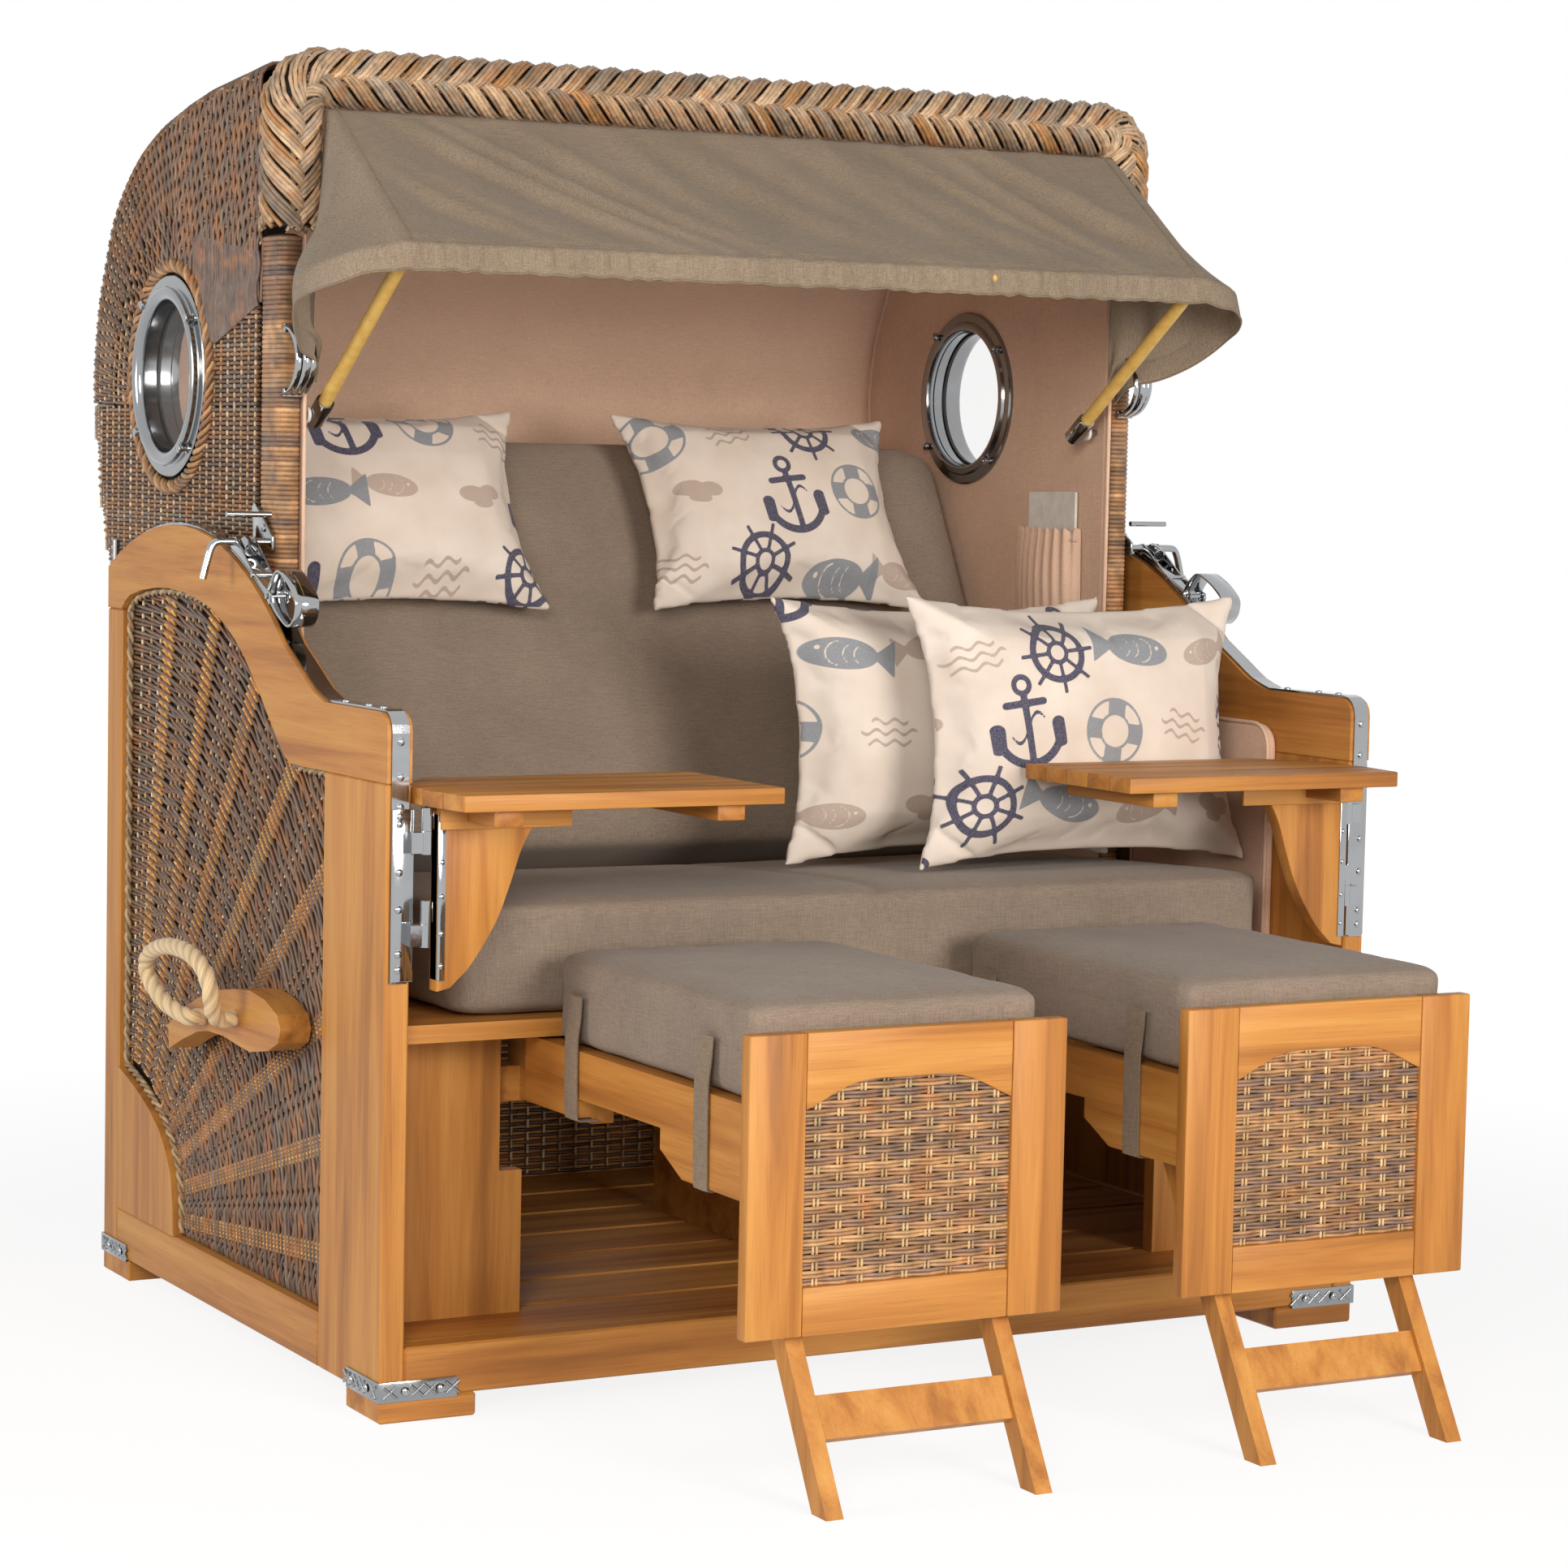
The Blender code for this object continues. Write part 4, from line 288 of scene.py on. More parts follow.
def hemp(name):
    """Three-strand hemp: pale straw fibres about 0.5 mm wide that follow the lay, dull and hairy, with painted shade
    darkening the grooves between the strands.
    """
    material, tree, shader = start_material(name)
    lay = add(tree, "ShaderNodeAttribute", attribute_name="lay")
    stretched = add(tree, "ShaderNodeMapping", {0: lay.outputs["Vector"], 3: (9.0, 700.0, 1.0)})
    fibres = add(tree, "ShaderNodeTexNoise", {"Vector": stretched, "Scale": 1.0, "Detail": 3.0})
    groove_shade = add(tree, "ShaderNodeAttribute", attribute_name="groove_shade")
    colour = ramp(tree, fibres, ((0.28, "#C19A66"), (0.48, "#E2C596"), (0.72, "#F3E0BC")))
    # Painted shade: darkens the colour in the grooves between the rope's strands.
    shadow = add(tree, "ShaderNodeMapRange", {"Value": groove_shade.outputs["Fac"], "To Min": 0.42, "To Max": 1.0})
    final = add(tree, "ShaderNodeVectorMath", {0: colour.outputs[0], 3: shadow}, operation="SCALE")
    tree.links.new(final.outputs[0], shader.inputs["Base Color"])
    shader.inputs["Roughness"].default_value = 0.9
    shader.inputs["Sheen Weight"].default_value = 0.3
    relief(tree, shader, fibres, 0.7, 0.001)
    return material


def clear_pane(name):
    """Acrylic pane: clear, thin and glossy, so that what is behind it shows through."""
    material, _, shader = start_material(name)
    shader.inputs["Base Color"].default_value = srgb("#EEF1F2")
    shader.inputs["Roughness"].default_value = 0.03
    shader.inputs["IOR"].default_value = 1.49
    shader.inputs["Alpha"].default_value = 0.06
    return material


def news_paper(name):
    """Folded blank newsprint: off-white, matt, a little grey in the creases."""
    material, tree, shader = start_material(name)
    place = add(tree, "ShaderNodeTexCoord").outputs["Object"]
    pulp = add(tree, "ShaderNodeTexNoise", {"Vector": place, "Scale": 60.0, "Detail": 4.0})
    colour = ramp(tree, pulp, ((0.3, "#D8D4CB"), (0.7, "#E9E6DE")))
    tree.links.new(colour.outputs[0], shader.inputs["Base Color"])
    shader.inputs["Roughness"].default_value = 0.85
    relief(tree, shader, pulp, 0.2, 0.0005)
    return material


TEAK = {(grain, seed): oiled_teak(f"oiled_teak_{grain.lower()}_{seed}", grain, seed)
        for grain in "XYZ" for seed in (1, 2, 3)}
CANE = cane_finish("extruded_cane")
RATTAN = cane_finish("boiled_rattan", 0.5, 0.22, 90.0)
# Dark sheets and cores behind the weaves: painted shade seen through the gaps between strands.
SHADE_BACKING = plain_dark("painted_shade_backing", "#2A1D15")
# Near-black: painted shade behind the side weave, and the real colour of the porthole's rubber seal.
UNDER_WEAVE = plain_dark("side_shade_and_seal", "#15110E", 0.5)
CUSHION_CANVAS = canvas("cushion_canvas", "#7E7064", "#978778")
CANOPY_CANVAS = canvas("canopy_canvas", "#7F705F", "#9E8E7B", thread=0.0012)
LINER_CLOTH = canvas("liner_cotton", "#D5B29A", "#E8C7AF", thread=0.0009, sheen=0.1, mottle=0.06, coarse=0.0002)
# Canvas of the footrest straps and of the canopy's trim; on the canopy's hem and seams its darker colour is painted
# shade.
PIPING = canvas("piping_canvas", "#776656", "#95846F", thread=0.0010)
PRINT = printed_cotton("printed_cotton")
# Base colours darker than bare chrome and polished steel: painted shade in their reflections.
CHROME = steel("chromed_steel", "#A4A6A8", 0.08)
STEEL = steel("polished_steel", "#96989A", 0.16)
TUBE = coated_tube("straw_coated_tube")
HEMP = hemp("laid_hemp")
PANE = clear_pane("acrylic_pane")
PAPER = news_paper("blank_newsprint")


# Shapes

def set_down(item, body, stands_for=()):
    """Carries a finished piece to the row's origin and lets it move with its body."""
    item.data.transform(Matrix.Translation((0, BASE_FRONT, 0)))
    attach(item, body)
    if stands_for:
        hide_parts(*stands_for)
    return item


def piece(name, points, faces, material, edges=()):
    """A mesh piece from points and faces, or from edges for a node tree."""
    mesh = bpy.data.meshes.new(name)
    mesh.from_pydata([tuple(point) for point in points], list(edges), [tuple(face) for face in faces])
    mesh.materials.append(material)
    item = bpy.data.objects.new(name, mesh)
    bpy.context.scene.collection.objects.link(item)
    return item


def outward(item, merge=0.00001):
    """Closes doubles and turns every face outwards."""
    work = bmesh.new()
    work.from_mesh(item.data)
    bmesh.ops.remove_doubles(work, verts=work.verts, dist=merge)
    bmesh.ops.recalc_face_normals(work, faces=work.faces)
    work.to_mesh(item.data)
    work.free()
    return item


def smooth_look(item, angle=40):
    """Smooth shading with edges kept sharp above an angle."""
    item.data.shade_smooth()
    item.data.set_sharp_from_angle(angle=math.radians(angle))
    return item


def bevelled(item, width, segments=2, angle=32):
    """Takes the arrises off."""
    step = item.modifiers.new("worn_edge", "BEVEL")
    step.width = width
    step.segments = segments
    step.limit_method = "ANGLE"
    step.angle_limit = math.radians(angle)
    step.harden_normals = False
    return item


def made_plain(item):
    """Applies the piece's modifiers."""
    bpy.context.view_layer.update()
    graph = bpy.context.evaluated_depsgraph_get()
    mesh = bpy.data.meshes.new_from_object(item.evaluated_get(graph), preserve_all_data_layers=True,
                                           depsgraph=graph)
    item.modifiers.clear()
    item.data = mesh
    return item


def along_axes(facing, across, up, depth):
    """A point from its two places on a board and its depth through it."""
    return {"X": (depth, across, up), "Y": (across, depth, up), "Z": (across, up, depth)}[facing]


def board(name, outline, low, high, facing, material, edge=0.002, holes=()):
    """A flat board cut to an outline, with its arrises taken off; holes are further outlines."""
    low, high = sorted((low, high))
    curve = bpy.data.curves.new(name, "CURVE")
    curve.dimensions = "2D"
    curve.fill_mode = "BOTH"
    for loop in (outline, *holes):
        spline = curve.splines.new("POLY")
        spline.points.add(len(loop) - 1)
        for point, (across, up) in zip(spline.points, loop):
            point.co = (across, up, 0, 1)
        spline.use_cyclic_u = True
    flat = bpy.data.objects.new(name, curve)
    bpy.context.scene.collection.objects.link(flat)
    bpy.context.view_layer.update()
    mesh = bpy.data.meshes.new_from_object(flat.evaluated_get(bpy.context.evaluated_depsgraph_get()))
    bpy.data.objects.remove(flat)
    work = bmesh.new()
    work.from_mesh(mesh)
    bmesh.ops.remove_doubles(work, verts=work.verts, dist=0.00001)
    bmesh.ops.dissolve_limit(work, angle_limit=0.01, verts=work.verts, edges=work.edges)
    if holes:
        bmesh.ops.triangulate(work, faces=work.faces)
    for vertex in work.verts:
        vertex.co = Vector(along_axes(facing, vertex.co.x, vertex.co.y, low))
    top = bmesh.ops.extrude_face_region(work, geom=list(work.faces))
    step = Vector(along_axes(facing, 0, 0, high - low))
    for vertex in (part for part in top["geom"] if isinstance(part, bmesh.types.BMVert)):
        vertex.co += step
    bmesh.ops.recalc_face_normals(work, faces=work.faces)
    final = bpy.data.meshes.new(name)
    work.to_mesh(final)
    work.free()
    final.materials.append(material)
    item = bpy.data.objects.new(name, final)
    bpy.context.scene.collection.objects.link(item)
    if edge:
        bevelled(item, edge)
        made_plain(item)
        smooth_look(item, 35)
    return item


def block(name, corner, opposite, material, edge=0.002):
    """A box between two opposite corners, in either order."""
    (left, right), (near, far), (foot, head) = (sorted(pair) for pair in zip(corner, opposite))
    return board(name, [(left, foot), (right, foot), (right, head), (left, head)], near, far, "Y", material, edge)


def turned(name, profile, centre, axis, material, steps=48):
    """A body turned on the lathe; the profile is a closed loop of (radius, place along the axis)."""
    axis = Vector(axis).normalized()
    side = axis.orthogonal().normalized()
    third = axis.cross(side)
    points, faces = [], []
    for step in range(steps):
        turn = 2 * math.pi * step / steps
        ray = side * math.cos(turn) + third * math.sin(turn)
        points += [Vector(centre) + ray * radius + axis * out for radius, out in profile]
    count = len(profile)
    for step in range(steps):
        here, there = step * count, (step + 1) % steps * count
        faces += [(here + number, here + (number + 1) % count, there + (number + 1) % count, there + number)
                  for number in range(count)]
    return smooth_look(outward(piece(name, points, faces, material)), 35)


def even_line(points, spacing):
    """The same line with points a fixed distance apart."""
    points = np.array(points, float)
    length = lengths_along(points)
    count = max(2, int(round(length[-1] / spacing)) + 1)
    wanted = np.linspace(0, length[-1], count)
    return np.stack([np.interp(wanted, length, points[:, column]) for column in range(points.shape[1])], axis=1)


def curved(points, steps=6):
    """A soft curve through given points (Catmull-Rom)."""
    points = [Vector(point) for point in points]
    padded = [points[0] * 2 - points[1], *points, points[-1] * 2 - points[-2]]
    line = []
    for before, start, end, after in zip(padded, padded[1:], padded[2:], padded[3:]):
        for step in range(steps):
            share = step / steps
            line.append(0.5 * (2 * start + (end - before) * share
                               + (2 * before - 5 * start + 4 * end - after) * share ** 2
                               + (3 * start - before - 3 * end + after) * share ** 3))
    return np.array([tuple(point) for point in [*line, points[-1]]])


def arc(centre, radius, start, end, steps):
    """Points on an arc, with both ends, angles in degrees."""
    turns = [math.radians(start + (end - start) * step / steps) for step in range(steps + 1)]
    return [(centre[0] + radius * math.cos(turn), centre[1] + radius * math.sin(turn)) for turn in turns]


def oval(half_wide, half_high, count):
    """An oval section for a bar."""
    turns = [math.radians(360 / count * step) for step in range(count)]
    return [(half_wide * math.cos(turn), half_high * math.sin(turn)) for turn in turns]


def directions(line):
    """Unit vectors along a line, one for each of its points."""
    ahead = np.gradient(line, axis=0)
    return ahead / np.linalg.norm(ahead, axis=1)[:, None]


def lengths_along(line):
    """How far along the line each of its points lies."""
    return np.concatenate([[0], np.cumsum(np.linalg.norm(np.diff(line, axis=0), axis=1))])


def tube_faces(count, sides, closed=False):
    """Faces between rings of points, with both ends shut unless the rings run round."""
    faces = []
    for number in range(count if closed else count - 1):
        here, there = number * sides, (number + 1) % count * sides
        faces += [(here + k, here + (k + 1) % sides, there + (k + 1) % sides, there + k) for k in range(sides)]
    if not closed:
        faces += [tuple(range(sides))[::-1], tuple((count - 1) * sides + k for k in range(sides))]
    return faces


def grid_faces(rows, columns):
    """Faces over a grid of points given row by row."""
    return [(row * columns + k, row * columns + k + 1, (row + 1) * columns + k + 1, (row + 1) * columns + k)
            for row in range(rows - 1) for k in range(columns - 1)]


def thickened(item, thickness):
    """Gives a sheet its thickness, half of it to each side."""
    solid = item.modifiers.new("cloth_thickness", "SOLIDIFY")
    solid.thickness = thickness
    solid.offset = 0
    return made_plain(item)


def store(item, name, values):
    """Stores a number, vector or colour for each point of the piece."""
    values = np.asarray(values, np.float32)
    kind, field = {1: ("FLOAT", "value"), 3: ("FLOAT_VECTOR", "vector"),
                   4: ("FLOAT_COLOR", "color")}[values.shape[1] if values.ndim > 1 else 1]
    layer = item.data.attributes.new(name, kind, "POINT")
    layer.data.foreach_set(field, values.ravel())


def pipe(name, points, radius, material, sides=12, closed=False, section=None, facing=None):
    """A tube or bar bent along a line, with closed ends."""
    points = np.array(points, float)
    count = len(points)
    if closed:
        ahead = np.roll(points, -1, axis=0) - np.roll(points, 1, axis=0)
    else:
        ahead = np.gradient(points, axis=0)
    ahead /= np.linalg.norm(ahead, axis=1)[:, None]
    normal = Vector(facing) if facing is not None else Vector(ahead[0]).orthogonal()
    rings = []
    turns = [2 * math.pi * k / sides for k in range(sides)]
    shape = section or [(math.cos(turn), math.sin(turn)) for turn in turns]
    sides = len(shape)
    for number in range(count):
        way = Vector(ahead[number])
        normal = (normal - way * normal.dot(way)).normalized()
        other = way.cross(normal)
        rings += [Vector(points[number]) + (normal * a + other * b) * radius for a, b in shape]
    item = piece(name, rings, tube_faces(count, sides, closed), material)
    return smooth_look(outward(item, 0.0000001), 50)


def joined(name, items):
    """Several parts of one piece as one mesh, each with its own material."""
    work = bmesh.new()
    materials = []
    for item in items:
        start = len(work.faces)
        work.from_mesh(item.data)
        work.faces.ensure_lookup_table()
        for material in item.data.materials:
            if material not in materials:
                materials.append(material)
        names = [materials.index(material) for material in item.data.materials]
        for face in work.faces[start:]:
            face.material_index = names[min(face.material_index, len(names) - 1)]
    mesh = bpy.data.meshes.new(name)
    work.to_mesh(mesh)
    work.free()
    for material in materials:
        mesh.materials.append(material)
    for item in items:
        bpy.data.objects.remove(item)
    final = bpy.data.objects.new(name, mesh)
    bpy.context.scene.collection.objects.link(final)
    return final



# Geometry node trees

def new_tree(name, sockets):
    """An empty node tree with named inputs and one geometry output."""
    tree = bpy.data.node_groups.new(name, "GeometryNodeTree")
    for label, kind in sockets:
        tree.interface.new_socket(label, in_out="INPUT", socket_type=kind)
    tree.interface.new_socket("Geometry", in_out="OUTPUT", socket_type="NodeSocketGeometry")
    return tree, add(tree, "NodeGroupInput").outputs


def through_nodes(item, tree, **inputs):
    """Runs a node tree on the piece with its named inputs set, and keeps the plain mesh."""
    step = item.modifiers.new("nodes", "NODES")
    step.node_group = tree
    for socket in tree.interface.items_tree:
        if socket.item_type == "SOCKET" and socket.in_out == "INPUT" and socket.name in inputs:
            step[socket.identifier] = inputs[socket.name]
    return made_plain(item)


def make_strand_tree():
    """Lays a rounded strand on every run of edges; girth, facing and paint come from the runs' points."""
    tree, given = new_tree("strands_on_runs", (("Runs", "NodeSocketGeometry"), ("Radius", "NodeSocketFloat"),
                                               ("Flatness", "NodeSocketFloat"), ("Sides", "NodeSocketInt"),
                                               ("Finish", "NodeSocketMaterial")))
    runs = add(tree, "GeometryNodeMeshToCurve", {0: given["Runs"]})
    facing = add(tree, "GeometryNodeInputNamedAttribute", {0: "facing"}, data_type="FLOAT_VECTOR")
    girth = add(tree, "GeometryNodeInputNamedAttribute", {0: "girth"}, data_type="FLOAT")
    laid = add(tree, "GeometryNodeSetCurveNormal", {0: runs, "Normal": facing.outputs[0]}, mode="FREE")
    ring = add(tree, "GeometryNodeCurvePrimitiveCircle", {"Resolution": given["Sides"], "Radius": given["Radius"]})
    squeeze = add(tree, "ShaderNodeCombineXYZ", {0: given["Flatness"], 1: 1.0, 2: 1.0})
    section = add(tree, "GeometryNodeTransform", {0: ring, "Scale": squeeze})
    swept = add(tree, "GeometryNodeCurveToMesh", {0: laid, 1: section, "Scale": girth.outputs[0],
                                                  "Fill Caps": True})
    shaded = add(tree, "GeometryNodeSetShadeSmooth", {0: swept})
    whole = add(tree, "GeometryNodeRealizeInstances", {0: shaded})
    finished = add(tree, "GeometryNodeSetMaterial", {0: whole, "Material": given["Finish"]})
    add(tree, "NodeGroupOutput", {0: finished})
    return tree


def make_scatter_tree():
    """Sets one small part, such as a screw or a nut, on every point, turned to the point's facing."""
    tree, given = new_tree("parts_on_points", (("Points", "NodeSocketGeometry"), ("Part", "NodeSocketObject"),
                                               ("Size", "NodeSocketFloat"), ("Finish", "NodeSocketMaterial")))
    facing = add(tree, "GeometryNodeInputNamedAttribute", {0: "facing"}, data_type="FLOAT_VECTOR")
    part = add(tree, "GeometryNodeObjectInfo", {0: given["Part"]})
    turn = add(tree, "FunctionNodeAlignRotationToVector", {"Vector": facing.outputs[0]}, axis="Z")
    set_out = add(tree, "GeometryNodeInstanceOnPoints", {0: given["Points"], "Instance": part.outputs["Geometry"],
                                                         "Rotation": turn, "Scale": given["Size"]})
    whole = add(tree, "GeometryNodeRealizeInstances", {0: set_out})
    finished = add(tree, "GeometryNodeSetMaterial", {0: whole, "Material": given["Finish"]})
    add(tree, "NodeGroupOutput", {0: finished})
    return tree


STRANDS = make_strand_tree()
SCATTER = make_scatter_tree()


def paint_of(code):
    """A colour code as the four values that a strand's paint stores."""
    return np.array(srgb(code))


def strands(name, runs, radius, material, sides=5):
    """Woven or plaited strands. Each run is (points, facing, girth, colour); a single value
    serves all of its points."""
    points, edges, facing, girth, paint = [], [], [], [], []
    start = 0
    for line, face, wide, colour in runs:
        line = np.asarray(line, float)
        count = len(line)
        if count < 2:
            continue
        points.append(line)
        edges += [(start + k, start + k + 1) for k in range(count - 1)]
        facing.append(np.broadcast_to(np.asarray(face, float), (count, 3)))
        girth.append(np.broadcast_to(np.asarray(wide, float), (count,)))
        paint.append(np.broadcast_to(np.asarray(colour, float), (count, 4)))
        start += count
    item = piece(name, np.concatenate(points), [], material, edges)
    for label, values in (("facing", facing), ("girth", girth), ("paint", paint)):
        store(item, label, np.concatenate(values))
    return through_nodes(item, STRANDS, Radius=radius, Flatness=1.0, Sides=sides, Finish=material)


def scattered(name, part, places, size, material):
    """Copies of one small part; places are (point, facing)."""
    item = piece(name, [place for place, _ in places], [], material)
    store(item, "facing", [face for _, face in places])
    through_nodes(item, SCATTER, Part=part, Size=size, Finish=material)
    return smooth_look(item, 40)


# Outlines

def towards_inside(outline, distance):
    """Moves a closed outline inwards by the distance, at every corner."""
    points = np.array(outline, float)
    ahead = np.roll(points, -1, axis=0) - points
    ahead /= np.linalg.norm(ahead, axis=1)[:, None]
    behind = np.roll(ahead, 1, axis=0)
    area = np.sum(points[:, 0] * np.roll(points[:, 1], -1) - np.roll(points[:, 0], -1) * points[:, 1])
    turn = 1 if area > 0 else -1
    left = np.stack([-(ahead + behind)[:, 1], (ahead + behind)[:, 0]], axis=1)
    left *= turn / np.maximum(1e-9, np.linalg.norm(left, axis=1))[:, None]
    square = turn * np.stack([-behind[:, 1], behind[:, 0]], axis=1)
    reach = distance / np.maximum(0.4, np.sum(left * square, axis=1))
    return points + left * reach[:, None]


def inside(points, outline):
    """Distance of each point to the outline, positive inside it."""
    points, outline = np.asarray(points, float), np.asarray(outline, float)
    start, end = outline, np.roll(outline, -1, axis=0)
    run = end - start
    share = np.clip(((points[:, None] - start) * run).sum(2) / np.maximum(1e-12, (run ** 2).sum(1)), 0, 1)
    nearest = start + share[:, :, None] * run
    distance = np.sqrt(((points[:, None] - nearest) ** 2).sum(2)).min(1)
    up = (start[:, 1] > points[:, None, 1]) != (end[:, 1] > points[:, None, 1])
    rise = np.where(run[:, 1] == 0, 1e-12, run[:, 1])
    crossing = start[:, 0] + (points[:, None, 1] - start[:, 1]) / rise * run[:, 0]
    odd = (up & (points[:, None, 0] < crossing)).sum(1) % 2 == 1
    return np.where(odd, distance, -distance)


def cut_runs(line, keep):
    """The parts of a run where keep is positive, cut exactly; line holds point and facing columns."""
    runs, current = [], []
    for number in range(len(line)):
        if number and (keep[number] > 0) != (keep[number - 1] > 0):
            share = keep[number - 1] / (keep[number - 1] - keep[number])
            edge = line[number - 1] + (line[number] - line[number - 1]) * share
            current.append(edge)
            if keep[number] <= 0:
                runs.append(np.array(current))
                current = []
        if keep[number] > 0:
            current.append(line[number])
    if current:
        runs.append(np.array(current))
    return [run for run in runs if len(run) > 1 and np.linalg.norm(run[-1, :3] - run[0, :3]) > 0.006]


HOOD_FRONT = 0.5203
HOOD_REACH = 1.119
ROOF = np.array([(HOOD_FRONT + (HOOD_REACH - HOOD_FRONT) * along, 0.742 + (1.500 - 0.742) * up)
                 for along, up in ROOF_SHARES])


def underside(distance, offset=0.0):
    """A point on the hood's slanted underside, at a distance from the tilt axis."""
    along, up = math.cos(UNDER_SLOPE), math.sin(UNDER_SLOPE)
    return TILT[0] + distance * along - offset * up, TILT[1] + distance * up + offset * along


def hood_outline():
    """The hood's side: roof, back, slanted underside and the lug at the tilt pin."""
    lug = arc(TILT, 0.050, 225, 330, 8)
    return [*map(tuple, curved([(y, z, 0) for y, z in ROOF], 3)[:, :2]), underside(0.205), *reversed(lug),
            (HOOD_FRONT, 0.440)]


def roof_inside(distance):
    """The roof and back line, moved in by a distance."""
    closed = towards_inside([*map(tuple, ROOF), (HOOD_FRONT, 0.742)], distance)
    line = curved([(y, z, 0) for y, z in closed[:-1]], 3)[:, :2]
    line[0, 0] = HOOD_FRONT
    return line



def opening_edge():
    """Lower edge of the armrest board over the weave, front to rear."""
    rear = math.degrees(math.acos((0.845 - TILT[0]) / ARM_RADIUS))
    middle = []
    for share, reach in ((1.0, 0.8896), (0.953, 0.8432), (0.841, 0.8305), (0.728, 0.835), (0.621, 0.845),
                         (0.479, 0.8521), (0.319, 0.8541), (0.155, 0.8666), (0.0135, 0.8854)):
        turn = math.radians(rear + (144 - rear) * share)
        reach *= ARM_RADIUS
        middle.append((TILT[0] + reach * math.cos(turn), TILT[1] + reach * math.sin(turn), 0))
    seam = TILT[1] + math.sqrt(ARM_RADIUS ** 2 - (0.895 - TILT[0]) ** 2) - 0.0518
    return curved([(0.176, 0.695, 0), *middle, (0.845, seam, 0)], 4)[:, :2]


def fan_edge():
    """Curved edge of the carved corner board, bottom to top."""
    shares = ((0.00, 0.00), (0.05, 0.40), (0.27, 0.69), (0.63, 0.88), (1.00, 1.00))
    return curved([(0.641 + 0.204 * along, 0.087 + 0.180 * up, 0) for along, up in shares], 4)[:, :2]


OPENING = np.array([(0.176, 0.087), *opening_edge(), *fan_edge()[::-1]])


# Camera, light and floor

CAMERA_PLACE = (-2.3076, -4.1447, 1.0520)
CAMERA_TURN = (0.49147, 0.07727, -0.01954)
CAMERA_LENS, FILM_WIDTH = 90.30, 36
CAMERA_SHIFT = (0.03975, -0.01574)


def set_camera():
    """The photo's view: a long lens in front of the chair's left corner."""
    yaw, pitch, roll = CAMERA_TURN
    ahead = Vector((math.sin(yaw) * math.cos(pitch), math.cos(yaw) * math.cos(pitch), -math.sin(pitch)))
    right = Vector((math.cos(yaw), -math.sin(yaw), 0))
    down = ahead.cross(right)
    across = right * math.cos(roll) + down * math.sin(roll)
    below = down * math.cos(roll) - right * math.sin(roll)
    camera = bpy.data.cameras.new("camera")
    camera.lens = CAMERA_LENS
    camera.sensor_width = FILM_WIDTH
    camera.sensor_fit = "HORIZONTAL"
    camera.shift_x, camera.shift_y = CAMERA_SHIFT
    item = bpy.data.objects.new("camera", camera)
    bpy.context.scene.collection.objects.link(item)
    item.matrix_world = (Matrix.Translation(CAMERA_PLACE)
                         @ Matrix((across, -below, -ahead)).transposed().to_4x4())
    bpy.context.scene.camera = item


def set_lamp(name, place, aim, size, power, colour="#FFFFFF"):
    """A round soft lamp that looks at a point."""
    light = bpy.data.lights.new(name, "AREA")
    light.shape = "DISK"
    light.size = size
    light.energy = power
    light.color = srgb(colour)[:3]
    item = bpy.data.objects.new(name, light)
    bpy.context.scene.collection.objects.link(item)
    item.location = place
    item.rotation_euler = (Vector(aim) - Vector(place)).to_track_quat("-Z", "Y").to_euler()


def pale_for_camera(tree, shade_share):
    """1 where the camera, a reflection or a pane sees the surface directly."""
    path = add(tree, "ShaderNodeLightPath")
    seen = add(tree, "ShaderNodeMath", {0: path.outputs["Is Camera Ray"], 1: path.outputs["Is Glossy Ray"]},
               operation="MAXIMUM")
    through = add(tree, "ShaderNodeMath", {0: seen, 1: path.outputs["Is Transmission Ray"]}, operation="MAXIMUM")
    return add(tree, "ShaderNodeMath", {0: through, 1: shade_share}, operation="MULTIPLY")


def set_studio():
    """White surround and floor with three soft lamps."""
    scene = bpy.context.scene
    scene.view_settings.view_transform = "Standard"
    world = bpy.data.worlds.new("studio")
    scene.world = world
    world.use_nodes = True
    tree = world.node_tree
    tree.nodes.clear()
    soft = add(tree, "ShaderNodeBackground", {0: srgb("#EEF0F2"), 1: 0.17})
    white = add(tree, "ShaderNodeBackground", {0: (1, 1, 1, 1), 1: 1.0})
    mixed = add(tree, "ShaderNodeMixShader", {0: pale_for_camera(tree, 1.0), 1: soft, 2: white})
    add(tree, "ShaderNodeOutputWorld", {0: mixed})
    floor_look, tree, shader = start_material("studio_floor")
    shader.inputs["Base Color"].default_value = srgb("#EDEDED")
    shader.inputs["Roughness"].default_value = 0.9
    glow = add(tree, "ShaderNodeEmission", {0: (1, 1, 1, 1), 1: 1.08})
    away = add(tree, "ShaderNodeVectorMath", {0: add(tree, "ShaderNodeTexCoord").outputs["Object"]},
               operation="LENGTH")
    share = add(tree, "ShaderNodeMapRange", {"Value": away.outputs["Value"], "From Min": 1.2, "From Max": 3.2,
                                             "To Min": 0.80, "To Max": 1.0})
    mixed = add(tree, "ShaderNodeMixShader", {0: pale_for_camera(tree, share), 1: shader.outputs[0], 2: glow})
    tree.links.new(mixed.outputs[0], tree.nodes["Material Output"].inputs[0])
    floor = piece("studio_floor", [(-9, -9, 0), (9, -9, 0), (9, 9, 0), (-9, 9, 0)], [(0, 1, 2, 3)], floor_look)
    set_lamp("front", (0.5, -4.6, 1.45), (0, 0, 0.95), 1.8, 140, "#FFF9F2")
    set_lamp("key", (-2.7, -3.7, 2.1), (0, 0, 0.8), 1.8, 100, "#FFF6EC")
    set_lamp("left", (-4.2, 0.2, 1.6), (0, 0.2, 0.8), 1.8, 62)


set_camera()
set_studio()


# Carrying ropes

